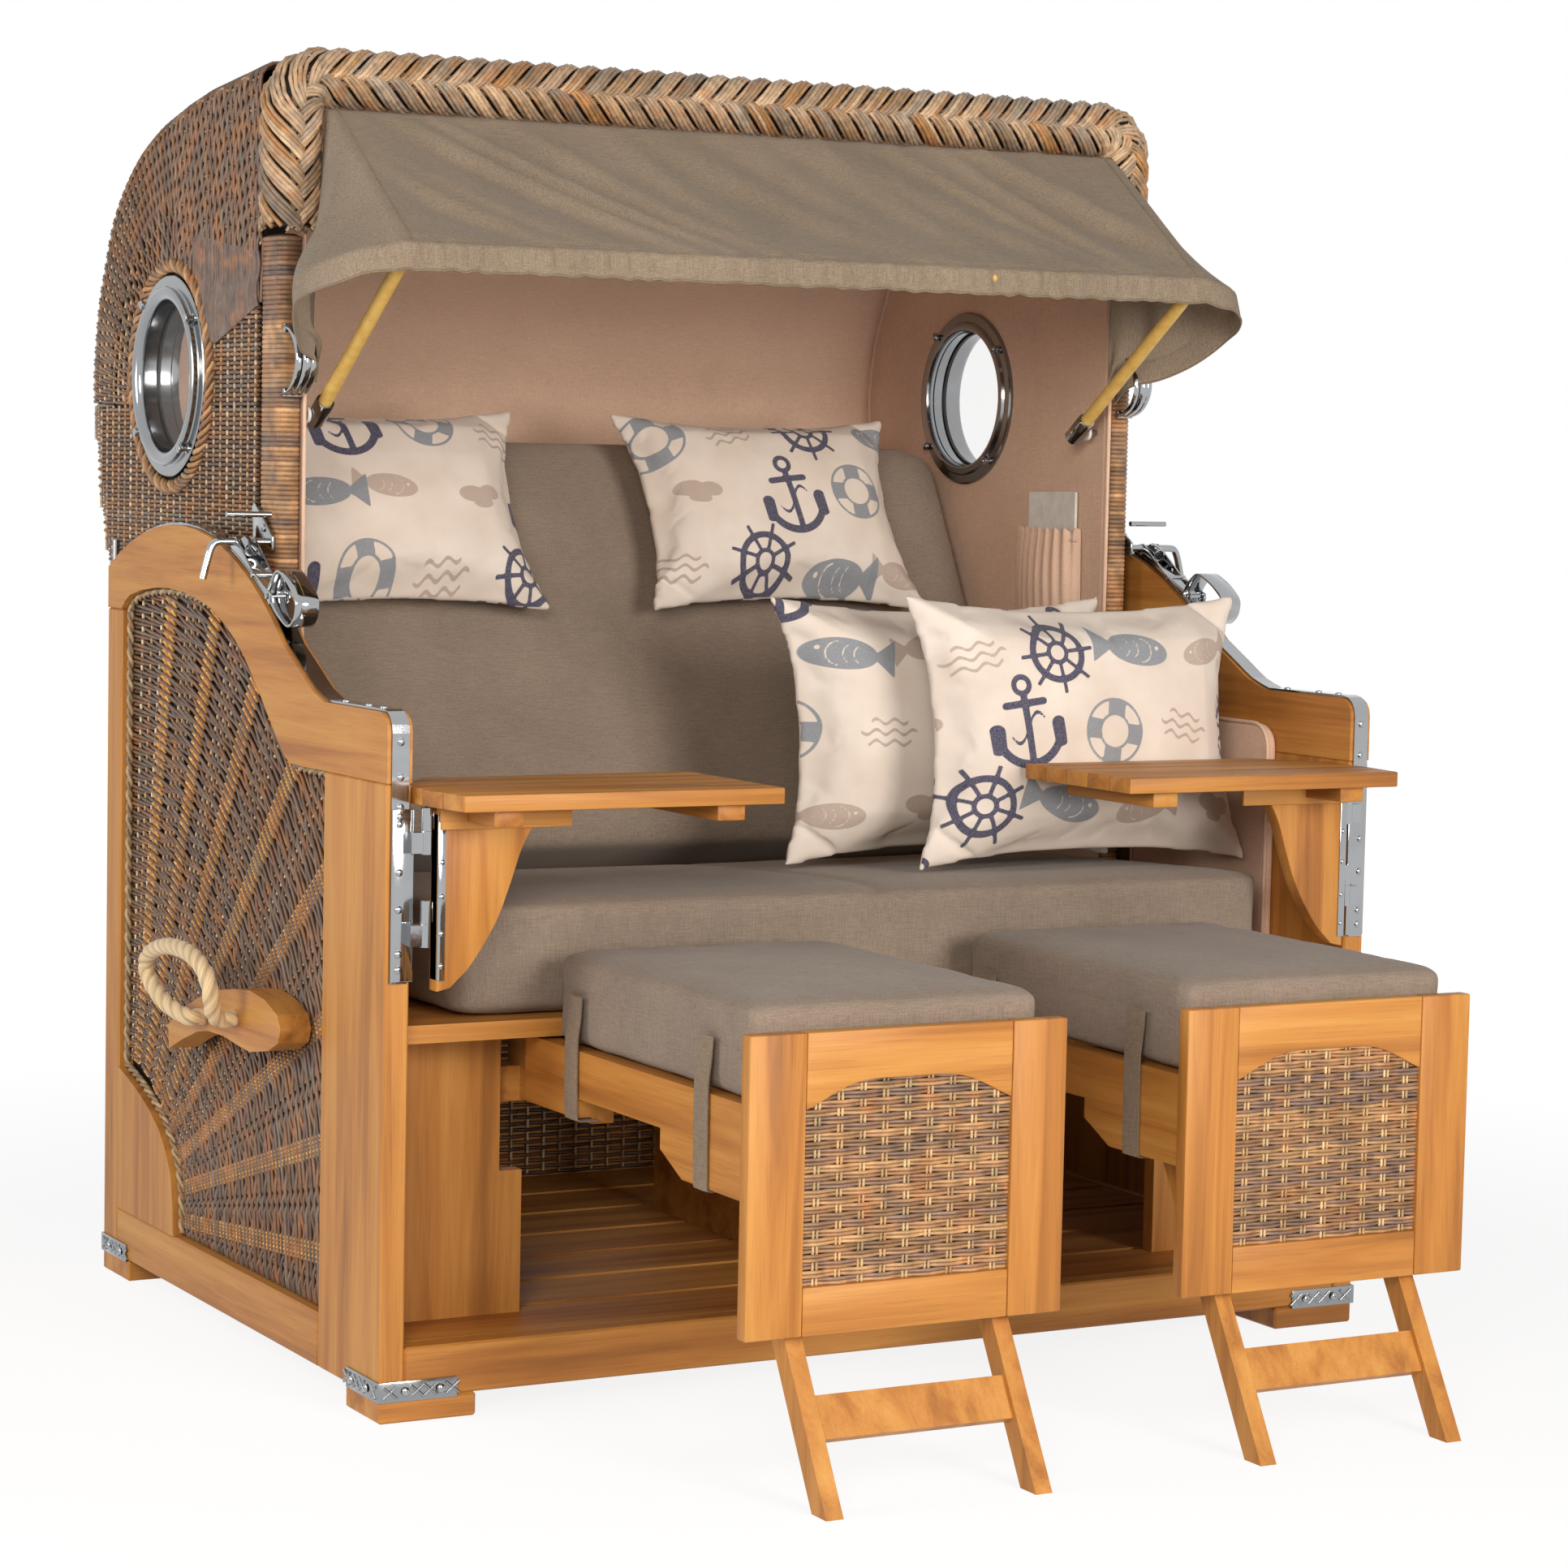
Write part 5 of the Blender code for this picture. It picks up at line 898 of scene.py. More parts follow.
ROPE_ROUTE = ((0.020, 0.357, 0.396), (0.030, 0.357, 0.396), (0.040, 0.357, 0.396), (0.052, 0.345, 0.408),
              (0.060, 0.333, 0.432), (0.063, 0.345, 0.455), (0.064, 0.390, 0.469), (0.064, 0.455, 0.470),
              (0.062, 0.520, 0.456), (0.059, 0.548, 0.436), (0.056, 0.535, 0.414), (0.051, 0.495, 0.395),
              (0.040, 0.456, 0.385), (0.030, 0.456, 0.385), (0.020, 0.456, 0.385))


ROPE_LAY = 0.062
ROPE_RADIUS = 0.0100


def make_rope(label, side):
    """Three-strand hemp: the strands wind round each other once in 62 mm along the rope's route."""
    out = HANDLE_FACE - 0.020
    route = curved([(side * (out + reach), along + BASE_FRONT, up) for reach, along, up in ROPE_ROUTE], 2)
    line = even_line(curved(route, 4), 0.0035)
    ahead, length = directions(line), lengths_along(line)
    sides = 24
    normal = Vector((0, 0, 1))
    points, lay, groove_shade = [], [], []
    for number, place in enumerate(line):
        way = Vector(ahead[number])
        normal = (normal - way * normal.dot(way)).normalized()
        other = way.cross(normal)
        turn = 2 * math.pi * length[number] / ROPE_LAY
        for step in range(sides):
            angle = 2 * math.pi * step / sides
            lobe = abs(math.cos(1.5 * (angle - turn)))
            reach = ROPE_RADIUS * (0.80 + 0.20 * lobe ** 0.55)
            points.append(Vector(place) + (normal * math.cos(angle) + other * math.sin(angle)) * reach)
            lay.append((length[number] + 0.021 * angle, ROPE_RADIUS * (angle - turn), 0))
            # Painted shade: how far the colour darkens in the grooves between the strands, 1 on the crests.
            groove_shade.append(min(1.0, 0.15 + 1.1 * lobe ** 0.8))
    item = piece(f"hemp_rope_{label}", points, tube_faces(len(line), sides), HEMP)
    store(item, "lay", lay)
    store(item, "groove_shade", groove_shade)
    outward(item, 0.0000001)
    item.data.shade_smooth()
    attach(item, "base")
    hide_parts(f"rope_loop_{label}")
    return item


for label, side in SIDES:
    make_rope(label, side)


# Solids that keep their form

GRAIN = {"foot_front": ("X", 2), "foot_rear": ("X", 3), "front_post": ("Z", 1), "rear_post": ("Z", 2),
         "arm_board": ("Y", 2), "bottom_rail": ("Y", 1), "corner_fan": ("Z", 3), "divider": ("Z", 2),
         "handle_block": ("Y", 3), "footrest_panel": ("Z", 1), "footrest_drawer": ("Y", 2),
         "footrest_legs": ("Z", 3), "side_table": ("X", 1)}
PLAIN_GRAIN = {"front_sill": ("X", 2), "floor_deck": ("X", 3), "rear_panel": ("X", 1), "seat_board": ("X", 2)}


def finish_solid(name, material):
    """Gives a solid of the model its material and leaves its form."""
    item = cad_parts[name]
    item.data.materials.clear()
    item.data.materials.append(material)


for label, _ in SIDES:
    for name, (grain, seed) in GRAIN.items():
        finish_solid(f"{name}_{label}", TEAK[grain, seed])
    for name in ("arm_strip", "clamp", "clamp_lever", "bow_grip"):
        finish_solid(f"{name}_{label}", CHROME)
for name, (grain, seed) in PLAIN_GRAIN.items():
    finish_solid(name, TEAK[grain, seed])


# Weaves

def over_and_under(line, normal, crossings, overs, lift):
    """A strand that follows a line and passes over or under what crosses it at the given distances.
    Comes back as rows of point and facing."""
    line, normal = np.asarray(line, float), np.asarray(normal, float)
    normal = np.broadcast_to(normal, line.shape)
    along = lengths_along(line)
    order = np.argsort(crossings)
    crossings = np.asarray(crossings, float)[order]
    overs = np.asarray(overs, float)[order]
    inside_run = (crossings > 0.002) & (crossings < along[-1] - 0.002)
    crossings, overs = crossings[inside_run], overs[inside_run]
    marks, height = [0.0], [overs[0] * lift * 0.2 if len(overs) else 0.0]
    for number, (place, over) in enumerate(zip(crossings, overs)):
        if number:
            marks.append((place + crossings[number - 1]) / 2)
            height.append(lift * (over + overs[number - 1]) / 2 * 0.92)
        marks.append(place)
        height.append(lift * over)
    marks.append(along[-1])
    height.append(height[-1] * 0.2)
    corners = along[1:-1]
    if len(corners):
        gaps = np.abs(corners[:, None] - np.array(marks)[None, :])
        corners = corners[np.min(gaps, axis=1) > 0.002]
    at = np.sort(np.concatenate([marks, corners]))
    out = np.interp(at, marks, height)
    places = np.stack([np.interp(at, along, line[:, axis]) for axis in range(3)], axis=1)
    faces = np.stack([np.interp(at, along, normal[:, axis]) for axis in range(3)], axis=1)
    faces /= np.linalg.norm(faces, axis=1)[:, None]
    return np.hstack([places + faces * out[:, None], faces])


def dives(count, number, cycle=2, turn=0):
    """Over (1) or under (-1) for each crossing of a row, shifted by one from row to row."""
    return np.where((np.arange(count) + number) % cycle == turn, -1.0, 1.0)


def faced(line, face):
    """Rows of point and facing for a straight strand."""
    return np.hstack([line, np.tile(face, (len(line), 1))])


def pick(random, palette):
    """A strand's colour: one of the palette's by weight, a little lighter or darker each time."""
    codes, weights = zip(*palette)
    shade = paint_of(codes[random.choice(len(codes), p=np.array(weights) / sum(weights))])
    shade[:3] *= random.uniform(0.82, 1.18)
    return shade


HOOD_SHADES = (("#6A4D3B", 5), ("#7C583A", 3), ("#5D4839", 3), ("#836247", 3), ("#746253", 2))
STAKE_SHADES = (("#CDB18A", 3), ("#BF9C70", 2), ("#DCC8A5", 1))
PATCH_SHADES = (("#624E43", 5), ("#6F5A4D", 3), ("#8A6245", 1))
SIDE_SHADES = (("#60493A", 5), ("#6E503B", 4), ("#7D5638", 3), ("#6E5C4E", 2))
HONEY_SHADES = (("#C98F45", 4), ("#DFA95A", 3), ("#B87B3C", 2))
POST_SHADES = (("#A97E56", 4), ("#BF946A", 3), ("#86654A", 2), ("#987250", 3), ("#705747", 1))
BRAID_SHADES = (("#B5987A", 5), ("#A88866", 4), ("#C2A685", 3), ("#A67A4C", 2), ("#95806A", 2),
                ("#A2907C", 2))
WREATH_SHADES = (("#A67B50", 2), ("#BE9468", 2), ("#8A6544", 1))
FOOTREST_SHADES = (("#8E6A4A", 4), ("#A37B55", 4), ("#806555", 2), ("#B08A5E", 2))
FOOTREST_STAKE_SHADES = (("#CDB184", 2), ("#BE9C6E", 2))
REAR_SHADES = (("#4A3A30", 3), ("#6A4A34", 2))

WEAVE_X = 0.5955
RING_CUT = 0.140
HOOD_ROUND = 0.020
STAKE_PLACES = HOOD_FRONT + 0.014 + 0.0228 * np.arange(40)
STAKE_DEPTHS = 0.012 + 0.0180 * np.arange(40)


def off_porthole(points):
    """Distance of each point (y, z) to the weave's round cut at the porthole."""
    return np.linalg.norm(points - PORTHOLE, axis=1) - RING_CUT


def hood_rows():
    """Where each row of the hood's weave leaves the side and turns onto the roof or the back."""
    line = even_line(curved([(y, z, 0) for y, z in ROOF], 6)[:, :2], 0.0056)
    ahead = directions(line)
    return line, np.stack([-ahead[:, 1], ahead[:, 0]], axis=1)


def patch_foot(y):
    """Lower edge of the upright weave over the porthole."""
    return np.interp(y, (0.520, 0.534, 0.662, 0.700, 0.730, 0.800),
                     (1.221, 1.217, 1.178, 1.187, 1.160, 1.140))


def patch_head(y):
    """Upper edge of the upright weave over the porthole."""
    return np.interp(y, (0.520, 0.546, 0.730, 0.760), (1.274, 1.276, 1.301, 1.240))


def make_hood_side(label, side):
    """Weave of one side: rows that run out to the edge, their stakes and the upright patch."""
    random = np.random.default_rng(11 if side < 0 else 12)
    edge_line, edge_out = hood_rows()
    outline = towards_inside(hood_outline(), 0.004)
    runs, stakes = [], {}
    face = (side, 0, 0)

    def lay(start, end, crossings, overs, lift, colour, girth=1.0, turns_over=None):
        """One row on the flat side, from its inner end to the rounded corner."""
        run = np.array(end) - np.array(start)
        length = np.linalg.norm(run)
        run /= length
        flat_end = np.array(end) - run * (HOOD_ROUND if turns_over is not None else 0)
        points = [(side * WEAVE_X, *start), (side * WEAVE_X, *flat_end)]
        normals = [face, face]
        if turns_over is not None:
            for turn in (22.5, 45, 67.5, 90):
                turn = math.radians(turn)
                points.append((side * (WEAVE_X - HOOD_ROUND * (1 - math.cos(turn))),
                               *(flat_end + run * HOOD_ROUND * math.sin(turn))))
                normals.append((side * math.cos(turn), *(run * math.sin(turn))))
        rows = over_and_under(points, normals, crossings, overs, lift)
        spot = off_porthole(rows[:, 1:3])
        edge = spot if turns_over is not None else np.minimum(spot, inside(rows[:, 1:3], outline))
        for part in cut_runs(rows, edge):
            runs.append((part[:, :3], part[:, 3:], girth, colour))

    for number, (edge, out) in enumerate(zip(edge_line, edge_out)):
        colour = pick(random, HOOD_SHADES)
        if edge[0] < 0.80 and edge[1] > 1.2:
            foot = np.array((edge[0], patch_foot(edge[0])))
            length = edge[1] - foot[1]
            depths = STAKE_DEPTHS[STAKE_DEPTHS < length]
            zigzag = 0.004 * np.sin(2 * math.pi * edge[0] / 0.075)
            overs = dives(len(depths), number, 3, 2)
            free = edge[1] - depths > patch_head(edge[0])
            lay(foot, edge, (length - depths + zigzag)[free], overs[free], 0.0029, colour, 1.0, out)
            for place, depth in enumerate(depths[free]):
                stakes.setdefault(("upper", place), []).append((edge[0], edge[1] - depth - zigzag))
        elif edge[1] > 1.10:
            run = edge - np.array((0.80, 1.10))
            reach = np.linalg.norm(run)
            run /= reach
            start = 0.128 if number % 2 else 0.240
            foot = np.array((0.80, 1.10)) + run * start
            depths = STAKE_DEPTHS[STAKE_DEPTHS < reach - start]
            overs = dives(len(depths), number, 3, 2) if reach > 0.30 else dives(len(depths), number)
            lay(foot, edge, reach - start - depths, overs, 0.0029, colour, 0.92, out)
            for place, depth in enumerate(depths):
                if number % 2:
                    stakes.setdefault(("upper", place), []).append(tuple(edge - run * depth))
        else:
            lay((HOOD_FRONT + 0.001, edge[1]), edge, STAKE_PLACES - HOOD_FRONT - 0.001,
                dives(len(STAKE_PLACES), number), 0.0029, colour, 0.95, out)
    for number, height in enumerate(np.arange(0.448, 1.220, 0.0054)):
        if 0.742 < height < 1.100:
            continue
        far = 1.02 if height < 0.742 else 0.79
        if height > 1.10:
            line = [(y, height) for y in np.arange(HOOD_FRONT + 0.001, far, 0.004)]
            line = [point for point in line if point[1] < patch_foot(point[0]) - 0.002]
            if len(line) < 3:
                continue
            far = line[-1][0]
        lay((HOOD_FRONT + 0.001, height), (far, height), STAKE_PLACES - HOOD_FRONT - 0.001,
            dives(len(STAKE_PLACES), number), 0.0029, pick(random, HOOD_SHADES), 0.95)

    for (_, place), line in stakes.items():
        if len(line) < 6:
            continue
        line = np.array(line)
        flat = np.full((len(line), 1), side * (WEAVE_X - 0.0003))
        rows = faced(np.hstack([flat, line]), face)[::2]
        gaps = np.linalg.norm(np.diff(rows[:, 1:3], axis=0), axis=1)
        pieces = np.split(rows, np.where(gaps > 0.03)[0] + 1)
        for part in pieces:
            if len(part) < 3:
                continue
            for run in cut_runs(part, off_porthole(part[:, 1:3])):
                runs.append((run[:, :3], run[:, 3:], 0.80, pick(random, STAKE_SHADES)))
    for y in STAKE_PLACES[:27]:
        heights = np.arange(0.445, 1.235, 0.008)
        flat = np.full(len(heights), side * (WEAVE_X - 0.0003))
        line = np.stack([flat, np.full(len(heights), y), heights], axis=1)
        limit = min(patch_foot(y) - 0.002, 1.235) if y < 0.80 else 1.10 + max(0, 0.06 - abs(y - 0.95))
        keep = np.minimum(off_porthole(line[:, 1:]), inside(line[:, 1:], outline))
        keep = np.minimum(keep, limit - heights)
        for run in cut_runs(faced(line, face), keep):
            runs.append((run[:, :3], run[:, 3:], 0.80, pick(random, STAKE_SHADES)))

    for y in np.arange(HOOD_FRONT + 0.004, 0.735, 0.0050):
        low, high = patch_foot(y), patch_head(y) + 0.006
        heights = np.linspace(low - 0.004, high, 9)
        wave = 0.0026 + 0.0012 * np.sin(np.linspace(0, 2 * math.pi, 9))
        lean = 0.003 * np.sin((heights - low) / max(0.02, high - low) * 2 * math.pi)
        line = np.stack([side * (WEAVE_X + wave), y + lean, heights], axis=1)
        for run in cut_runs(faced(line, face), off_porthole(line[:, 1:])):
            runs.append((run[:, :3], run[:, 3:], 1.10, pick(random, PATCH_SHADES)))
    item = strands(f"hood_weave_{label}", runs, 0.0026, CANE)
    return set_down(item, "hood", ["hood_basket"])


def make_hood_back(name, first, last, seed):
    """Rows across the roof or the back, with their stakes running front to rear."""
    random = np.random.default_rng(seed)
    edge_line, edge_out = hood_rows()
    half = WEAVE_X - HOOD_ROUND
    spread = np.linspace(-half + 0.006, half - 0.006, 49)
    runs = []
    for number in range(int(first * len(edge_line)), int(last * len(edge_line))):
        edge, out = edge_line[number], edge_out[number]
        points = [(-half, *edge), (half, *edge)]
        rows = over_and_under(points, (0, *out), spread + half, dives(len(spread), number), 0.0027)
        runs.append((rows[:, :3], rows[:, 3:], 1.0, pick(random, HOOD_SHADES)))
    part = slice(int(first * len(edge_line)), int(last * len(edge_line)), 3)
    for place in spread:
        line = np.hstack([np.full((len(edge_line[part]), 1), place), edge_line[part]])
        facing = np.hstack([np.zeros((len(line), 1)), edge_out[part]])
        runs.append((line, facing, 0.80, pick(random, STAKE_SHADES)))
    item = strands(name, runs, 0.0026, CANE, sides=4)
    return set_down(item, "hood", ["hood_basket"])


def make_hood_core():
    """The dark shell behind the weave, the underside panel and the tilt bosses; the shell's dark colour is painted
    shade seen through the weave.
    """
    outer = towards_inside([*map(tuple, ROOF), underside(0.205), underside(0.148), (HOOD_FRONT, 0.60)], 0.008)
    shell = [tuple(point) for point in curved([(y, z, 0) for y, z in outer[:17]], 3)[:, :2]]
    shell[0] = (HOOD_FRONT, shell[0][1])
    shell += [underside(0.205, 0.004), underside(0.148, 0.004), underside(0.148, 0.031)]
    inner = [tuple(point) for point in roof_inside(0.031)]
    edge = underside(0.148, 0.031)
    while inner[-1][1] < edge[1] + (inner[-1][0] - edge[0]) * math.tan(UNDER_SLOPE):
        inner.pop()
    reach = (inner[-1][0] - TILT[0] + 0.031 * math.sin(UNDER_SLOPE)) / math.cos(UNDER_SLOPE)
    shell += [underside(reach, 0.031), *reversed(inner)]
    shell[-1] = (HOOD_FRONT, shell[-1][1])
    core = board("hood_core", shell, -0.5905, 0.5905, "X", SHADE_BACKING, 0)
    set_down(core, "hood", ["hood_basket"])
    wall = towards_inside(hood_outline(), 0.008)
    wall[-1], wall[0] = (HOOD_FRONT, 0.441), (HOOD_FRONT, wall[0][1])
    hole = arc(PORTHOLE, 0.0985, 0, 360, 48)[:-1]
    for label, side in SIDES:
        sheet = board(f"hood_side_core_{label}", wall, side * 0.5668, side * 0.5905, "X", SHADE_BACKING, 0, [hole])
        set_down(sheet, "hood", ["hood_basket"])
        boss = turned(f"tilt_boss_{label}", [(0, -0.010), (0.015, -0.010), (0.015, 0.030), (0, 0.030)],
                      (side * 0.598, *TILT), (side, 0, 0), STEEL, 32)
        set_down(boss, "hood", ["hood_basket"])


def make_post_winding(label, side):
    """Flat cane wound round the hood's front post, ring on ring, with a darker collar at the top."""
    random = np.random.default_rng(21 if side < 0 else 22)
    ring = []
    half_x, half_y, bend = 0.0132, 0.0292, 0.009
    for corner_x, corner_y, start in ((1, 1, 0), (-1, 1, 90), (-1, -1, 180), (1, -1, 270)):
        for step in range(4):
            turn = math.radians(start + 30 * step)
            ring.append((corner_x * (half_x - bend) + bend * math.cos(turn),
                         corner_y * (half_y - bend) + bend * math.sin(turn), math.cos(turn), math.sin(turn)))
    ring = np.array(ring)
    middle = np.array((side * POST_X, POST_Y))
    points, facing, edges, paint, girth = [], [], [], [], []
    tone = pick(random, POST_SHADES)
    for height in np.arange(0.4445, 1.2985, 0.0057):
        if random.random() < 0.62:
            tone = pick(random, POST_SHADES)
        shade = tone * (0.62, 0.60, 0.66, 1) if height > 1.216 else tone
        swell = 1.0018 if height > 1.216 else 1.0
        start = len(points) * 16
        ring_points = np.hstack([middle + ring[:, :2] * swell, np.full((16, 1), height)])
        points.append(ring_points)
        facing.append(np.hstack([ring[:, 2:], np.zeros((16, 1))]))
        edges += [(start + k, start + (k + 1) % 16) for k in range(16)]
        paint.append(np.tile(shade, (16, 1)))
        girth.append(np.full(16, 1.0))
    item = piece(f"hood_post_winding_{label}", np.concatenate(points), [], CANE, edges)
    for name, values in (("facing", facing), ("girth", girth), ("paint", paint)):
        store(item, name, np.concatenate(values))
    through_nodes(item, STRANDS, Radius=0.0032, Flatness=0.8, Sides=6, Finish=CANE)
    set_down(item, "hood", [f"hood_post_{label}"])
    # Dark core under the winding: painted shade between the rings.
    core = block(f"hood_post_core_{label}", (side * POST_X - 0.0125, POST_Y - 0.0285, 0.441),
                 (side * POST_X + 0.0125, POST_Y + 0.0285, 1.2995), SHADE_BACKING, 0.006)
    set_down(core, "hood", [f"hood_post_{label}"])


def braid_path():
    """Middle line of the braid, from the left post over the roof edge to the right post."""
    half, top, bend = 0.578, 1.482, 0.036
    corner = arc((half - bend, top - bend), bend, 0, 90, 8)
    right = [(half, 1.300), (half, 1.37), *corner]
    points = [(x, 0.478, z) for x, z in right] + [(-x, 0.478, z) for x, z in reversed(right)]
    return even_line(points, 0.004)


def make_braid():
    """Plait round the hood's front edge: bundles of four round rattan strands that dive under each
    other along the middle. A bundle starts every 31 mm on each side."""
    random = np.random.default_rng(31)
    path = braid_path()
    outward_way = np.cross(directions(path), (0.0, 1.0, 0.0))
    if np.sum(outward_way * (path - (0, 0, 1.287)), axis=1).mean() < 0:
        outward_way = -outward_way
    length = 0.004 * (len(path) - 1)
    pitch = 0.0295
    runs = []
    for family in (1, -1):
        for number in range(-3, int(length / pitch) + 3):
            start = pitch * (number + (0.5 if family < 0 else 0))
            base = pick(random, BRAID_SHADES)
            for strand in range(4):
                shift = (strand - 1.5) * 0.0060
                colour = (base * random.uniform(0.80, 1.16) if random.random() < 0.8
                          else pick(random, BRAID_SHADES))
                colour[3] = 1
                q = np.linspace(0, 1, 13)
                turn = np.radians(np.interp(q, (0, 0.28, 0.75, 1), (165, 105, 4, -36)))
                place = start + np.interp(q, (0, 0.28, 0.75, 1), (-0.016, 0.006, 0.066, 0.094)) + shift
                ride = np.interp(q, (0, 0.12, 0.35, 0.58, 0.74, 0.86, 1),
                                 (-0.004, 0.000, 0.0036, 0.0062, 0.0044, -0.0040, -0.0100))
                ride = ride - 0.0012 * (strand - 1.5) ** 2
                index = np.clip(place / 0.004, 0, len(path) - 1)
                if index[0] <= 0 or index[-1] >= len(path) - 1:
                    inside_part = (place > 0.001) & (place < length - 0.001)
                    if inside_part.sum() < 3:
                        continue
                    index, turn, ride, q = index[inside_part], turn[inside_part], ride[inside_part], q[inside_part]
                low = np.floor(index).astype(int).clip(0, len(path) - 2)
                part = (index - low)[:, None]
                centre = path[low] * (1 - part) + path[low + 1] * part
                out = outward_way[low] * (1 - part) + outward_way[low + 1] * part
                front = np.array((0.0, -1.0, 0.0))
                sway = turn * family
                radial_out, radial_front = np.sin(sway)[:, None], np.cos(sway)[:, None]
                skin = ((0.0305 + ride)[:, None] * radial_out * out
                        + (0.0385 + ride)[:, None] * radial_front * front)
                facing = radial_out * out / 0.034 + radial_front * front / 0.042
                facing /= np.linalg.norm(facing, axis=1)[:, None]
                girth = np.interp(q, (0, 0.1, 0.9, 1), (0.85, 1, 1, 0.8))
                runs.append((centre + skin, facing, girth, colour))
    item = strands("roof_edge_braid", runs, 0.0028, RATTAN, sides=6)
    set_down(item, "hood", ["hood_braid"])
    # Dark core inside the braid: painted shade between the bundles.
    core = pipe("roof_edge_core", path[2:-2], 1.0, SHADE_BACKING, facing=(0, -1, 0), section=oval(0.034, 0.027, 12))
    set_down(core, "hood", ["hood_braid"])


def make_wreath(label, side):
    """Four natural canes twisted round the porthole."""
    random = np.random.default_rng(41)
    runs = []
    for strand in range(4):
        turn = np.radians(np.linspace(0, 360, 181))
        roll = turn * 17 + 2 * math.pi * strand / 4
        reach = 0.1375 + 0.0062 * np.cos(roll)
        out = 0.0050 * np.sin(roll)
        ring = np.stack([side * (0.5985 + out), PORTHOLE[0] + reach * np.cos(turn),
                         PORTHOLE[1] + reach * np.sin(turn)], axis=1)
        runs.append((ring, (side, 0, 0), 1.0, pick(random, WREATH_SHADES)))
    item = strands(f"porthole_wreath_{label}", runs, 0.0034, RATTAN, sides=6)
    set_down(item, "hood", ["hood_basket"])


for label, side in SIDES:
    make_hood_side(label, side)
    make_post_winding(label, side)
    make_wreath(label, side)
make_hood_back("hood_weave_roof", 0, 0.5, 13)
make_hood_back("hood_weave_back", 0.5, 1, 14)
make_hood_core()
make_braid()


SUN = (0.845, 0.087)


def make_side_panel(label, side):
    """Sunrise weave: arcs round the lower rear corner over radial stakes, with honey-coloured rays."""
    random = np.random.default_rng(51 if side < 0 else 52)
    plane = side * 0.6335
    face = (side, 0, 0)
    runs = []
    bands = np.radians(5.5 + 10.6 * np.arange(8))
    stakes = []
    for number in range(9):
        if number == 0:
            stakes += [(math.radians(turn), False) for turn in (1.3, 3.0)]
            continue
        low, high = bands[number - 1], bands[number] if number < 8 else math.pi / 2
        shares = (0.36, 0.50, 0.64) if number < 8 else (0.25, 0.5, 0.75)
        stakes += [(low + (high - low) * share, False) for share in shares]
    for band in bands:
        stakes += [(band + math.radians(offset), True) for offset in (-0.95, 0.95)]
    stakes.sort()
    angles = np.array([angle for angle, _ in stakes])
    honey = np.array([is_honey for _, is_honey in stakes])
    for number, reach in enumerate(np.arange(0.196, 0.990, 0.0054)):
        overs = dives(len(angles), number, 3)
        overs[honey] = -1.0 if number % 2 else 1.0
        turns = np.linspace(0, math.pi / 2, 46)
        line = np.stack([np.full(46, plane), SUN[0] - reach * np.cos(turns),
                         SUN[1] + reach * np.sin(turns)], axis=1)
        rows = over_and_under(line, face, angles * reach, overs, 0.0027)
        colour = pick(random, SIDE_SHADES)
        for part in cut_runs(rows, inside(rows[:, 1:3], OPENING) - 0.0015):
            runs.append((part[:, :3], part[:, 3:], 1.0, colour))
    for angle in angles[~honey]:
        reaches = np.arange(0.190, 1.0, 0.012)
        line = np.stack([np.full(len(reaches), plane - side * 0.0004), SUN[0] - reaches * math.cos(angle),
                         SUN[1] + reaches * math.sin(angle)], axis=1)
        rows = faced(line, face)
        for part in cut_runs(rows, inside(rows[:, 1:3], OPENING) - 0.0015):
            runs.append((part[:, :3], part[:, 3:], 0.85, pick(random, STAKE_SHADES)))
    item = strands(f"side_weave_{label}", runs, 0.00245, CANE)
    set_down(item, "base", [f"wicker_panel_{label}"])

    runs = []
    for band in bands:
        for strand in range(5):
            reaches = np.arange(0.193, 1.0, 0.0054)
            spread = (strand - 2) * (0.0030 + 0.0030 * reaches)
            wave = 0.0012 + 0.0022 * np.cos(np.pi * np.arange(len(reaches)))
            y = SUN[0] - reaches * math.cos(band) + spread * math.sin(band)
            z = SUN[1] + reaches * math.sin(band) + spread * math.cos(band)
            line = np.stack([plane + side * wave, y, z], axis=1)
            rows = faced(line, face)
            tone = pick(random, HONEY_SHADES)
            for part in cut_runs(rows, inside(rows[:, 1:3], OPENING) - 0.0015):
                gone = np.linalg.norm(part[:, 1:3] - np.array(SUN), axis=1)
                runs.append((part[:, :3], part[:, 3:], 0.62 + 0.42 * gone, tone))
    item = strands(f"honey_rays_{label}", runs, 0.0031, CANE)
    set_down(item, "base", [f"wicker_panel_{label}"])

    back_outline = towards_inside(OPENING, 0.0012)
    # A black sheet just behind the weave: painted shade seen through the gaps between strands.
    sheet = board(f"side_backing_{label}", back_outline, side * 0.6290, side * 0.6305, "X", UNDER_WEAVE, 0)
    set_down(sheet, "base", [f"wicker_panel_{label}"])
    lining = board(f"side_lining_{label}", back_outline, side * 0.6215, side * 0.6285, "X", TEAK["Z", 2], 0)
    set_down(lining, "base", [f"wicker_panel_{label}"])

    inner = towards_inside(OPENING, 0.0048)
    turn_at = len(inner) - len(fan_edge())
    runs = []
    for part in (inner[:turn_at], inner[turn_at - 1:]):
        line = even_line(part, 0.004)
        ahead = directions(line)
        across = np.stack([-ahead[:, 1], ahead[:, 0]], axis=1)
        roll = 2 * math.pi * 0.004 * np.arange(len(line)) / 0.030
        for strand in range(2):
            turn = roll + math.pi * strand
            spot = line + across * (0.0022 * np.cos(turn))[:, None]
            points = np.hstack([(side * (0.6395 + 0.0024 * np.sin(turn)))[:, None], spot])
            runs.append((points, face, 1.0, paint_of("#B39A76") if strand else paint_of("#8F7657")))
    item = strands(f"side_cord_edging_{label}", runs, 0.0027, RATTAN, sides=6)
    set_down(item, "base", [f"wicker_panel_{label}"])


FOOTREST_HALF = 0.1875


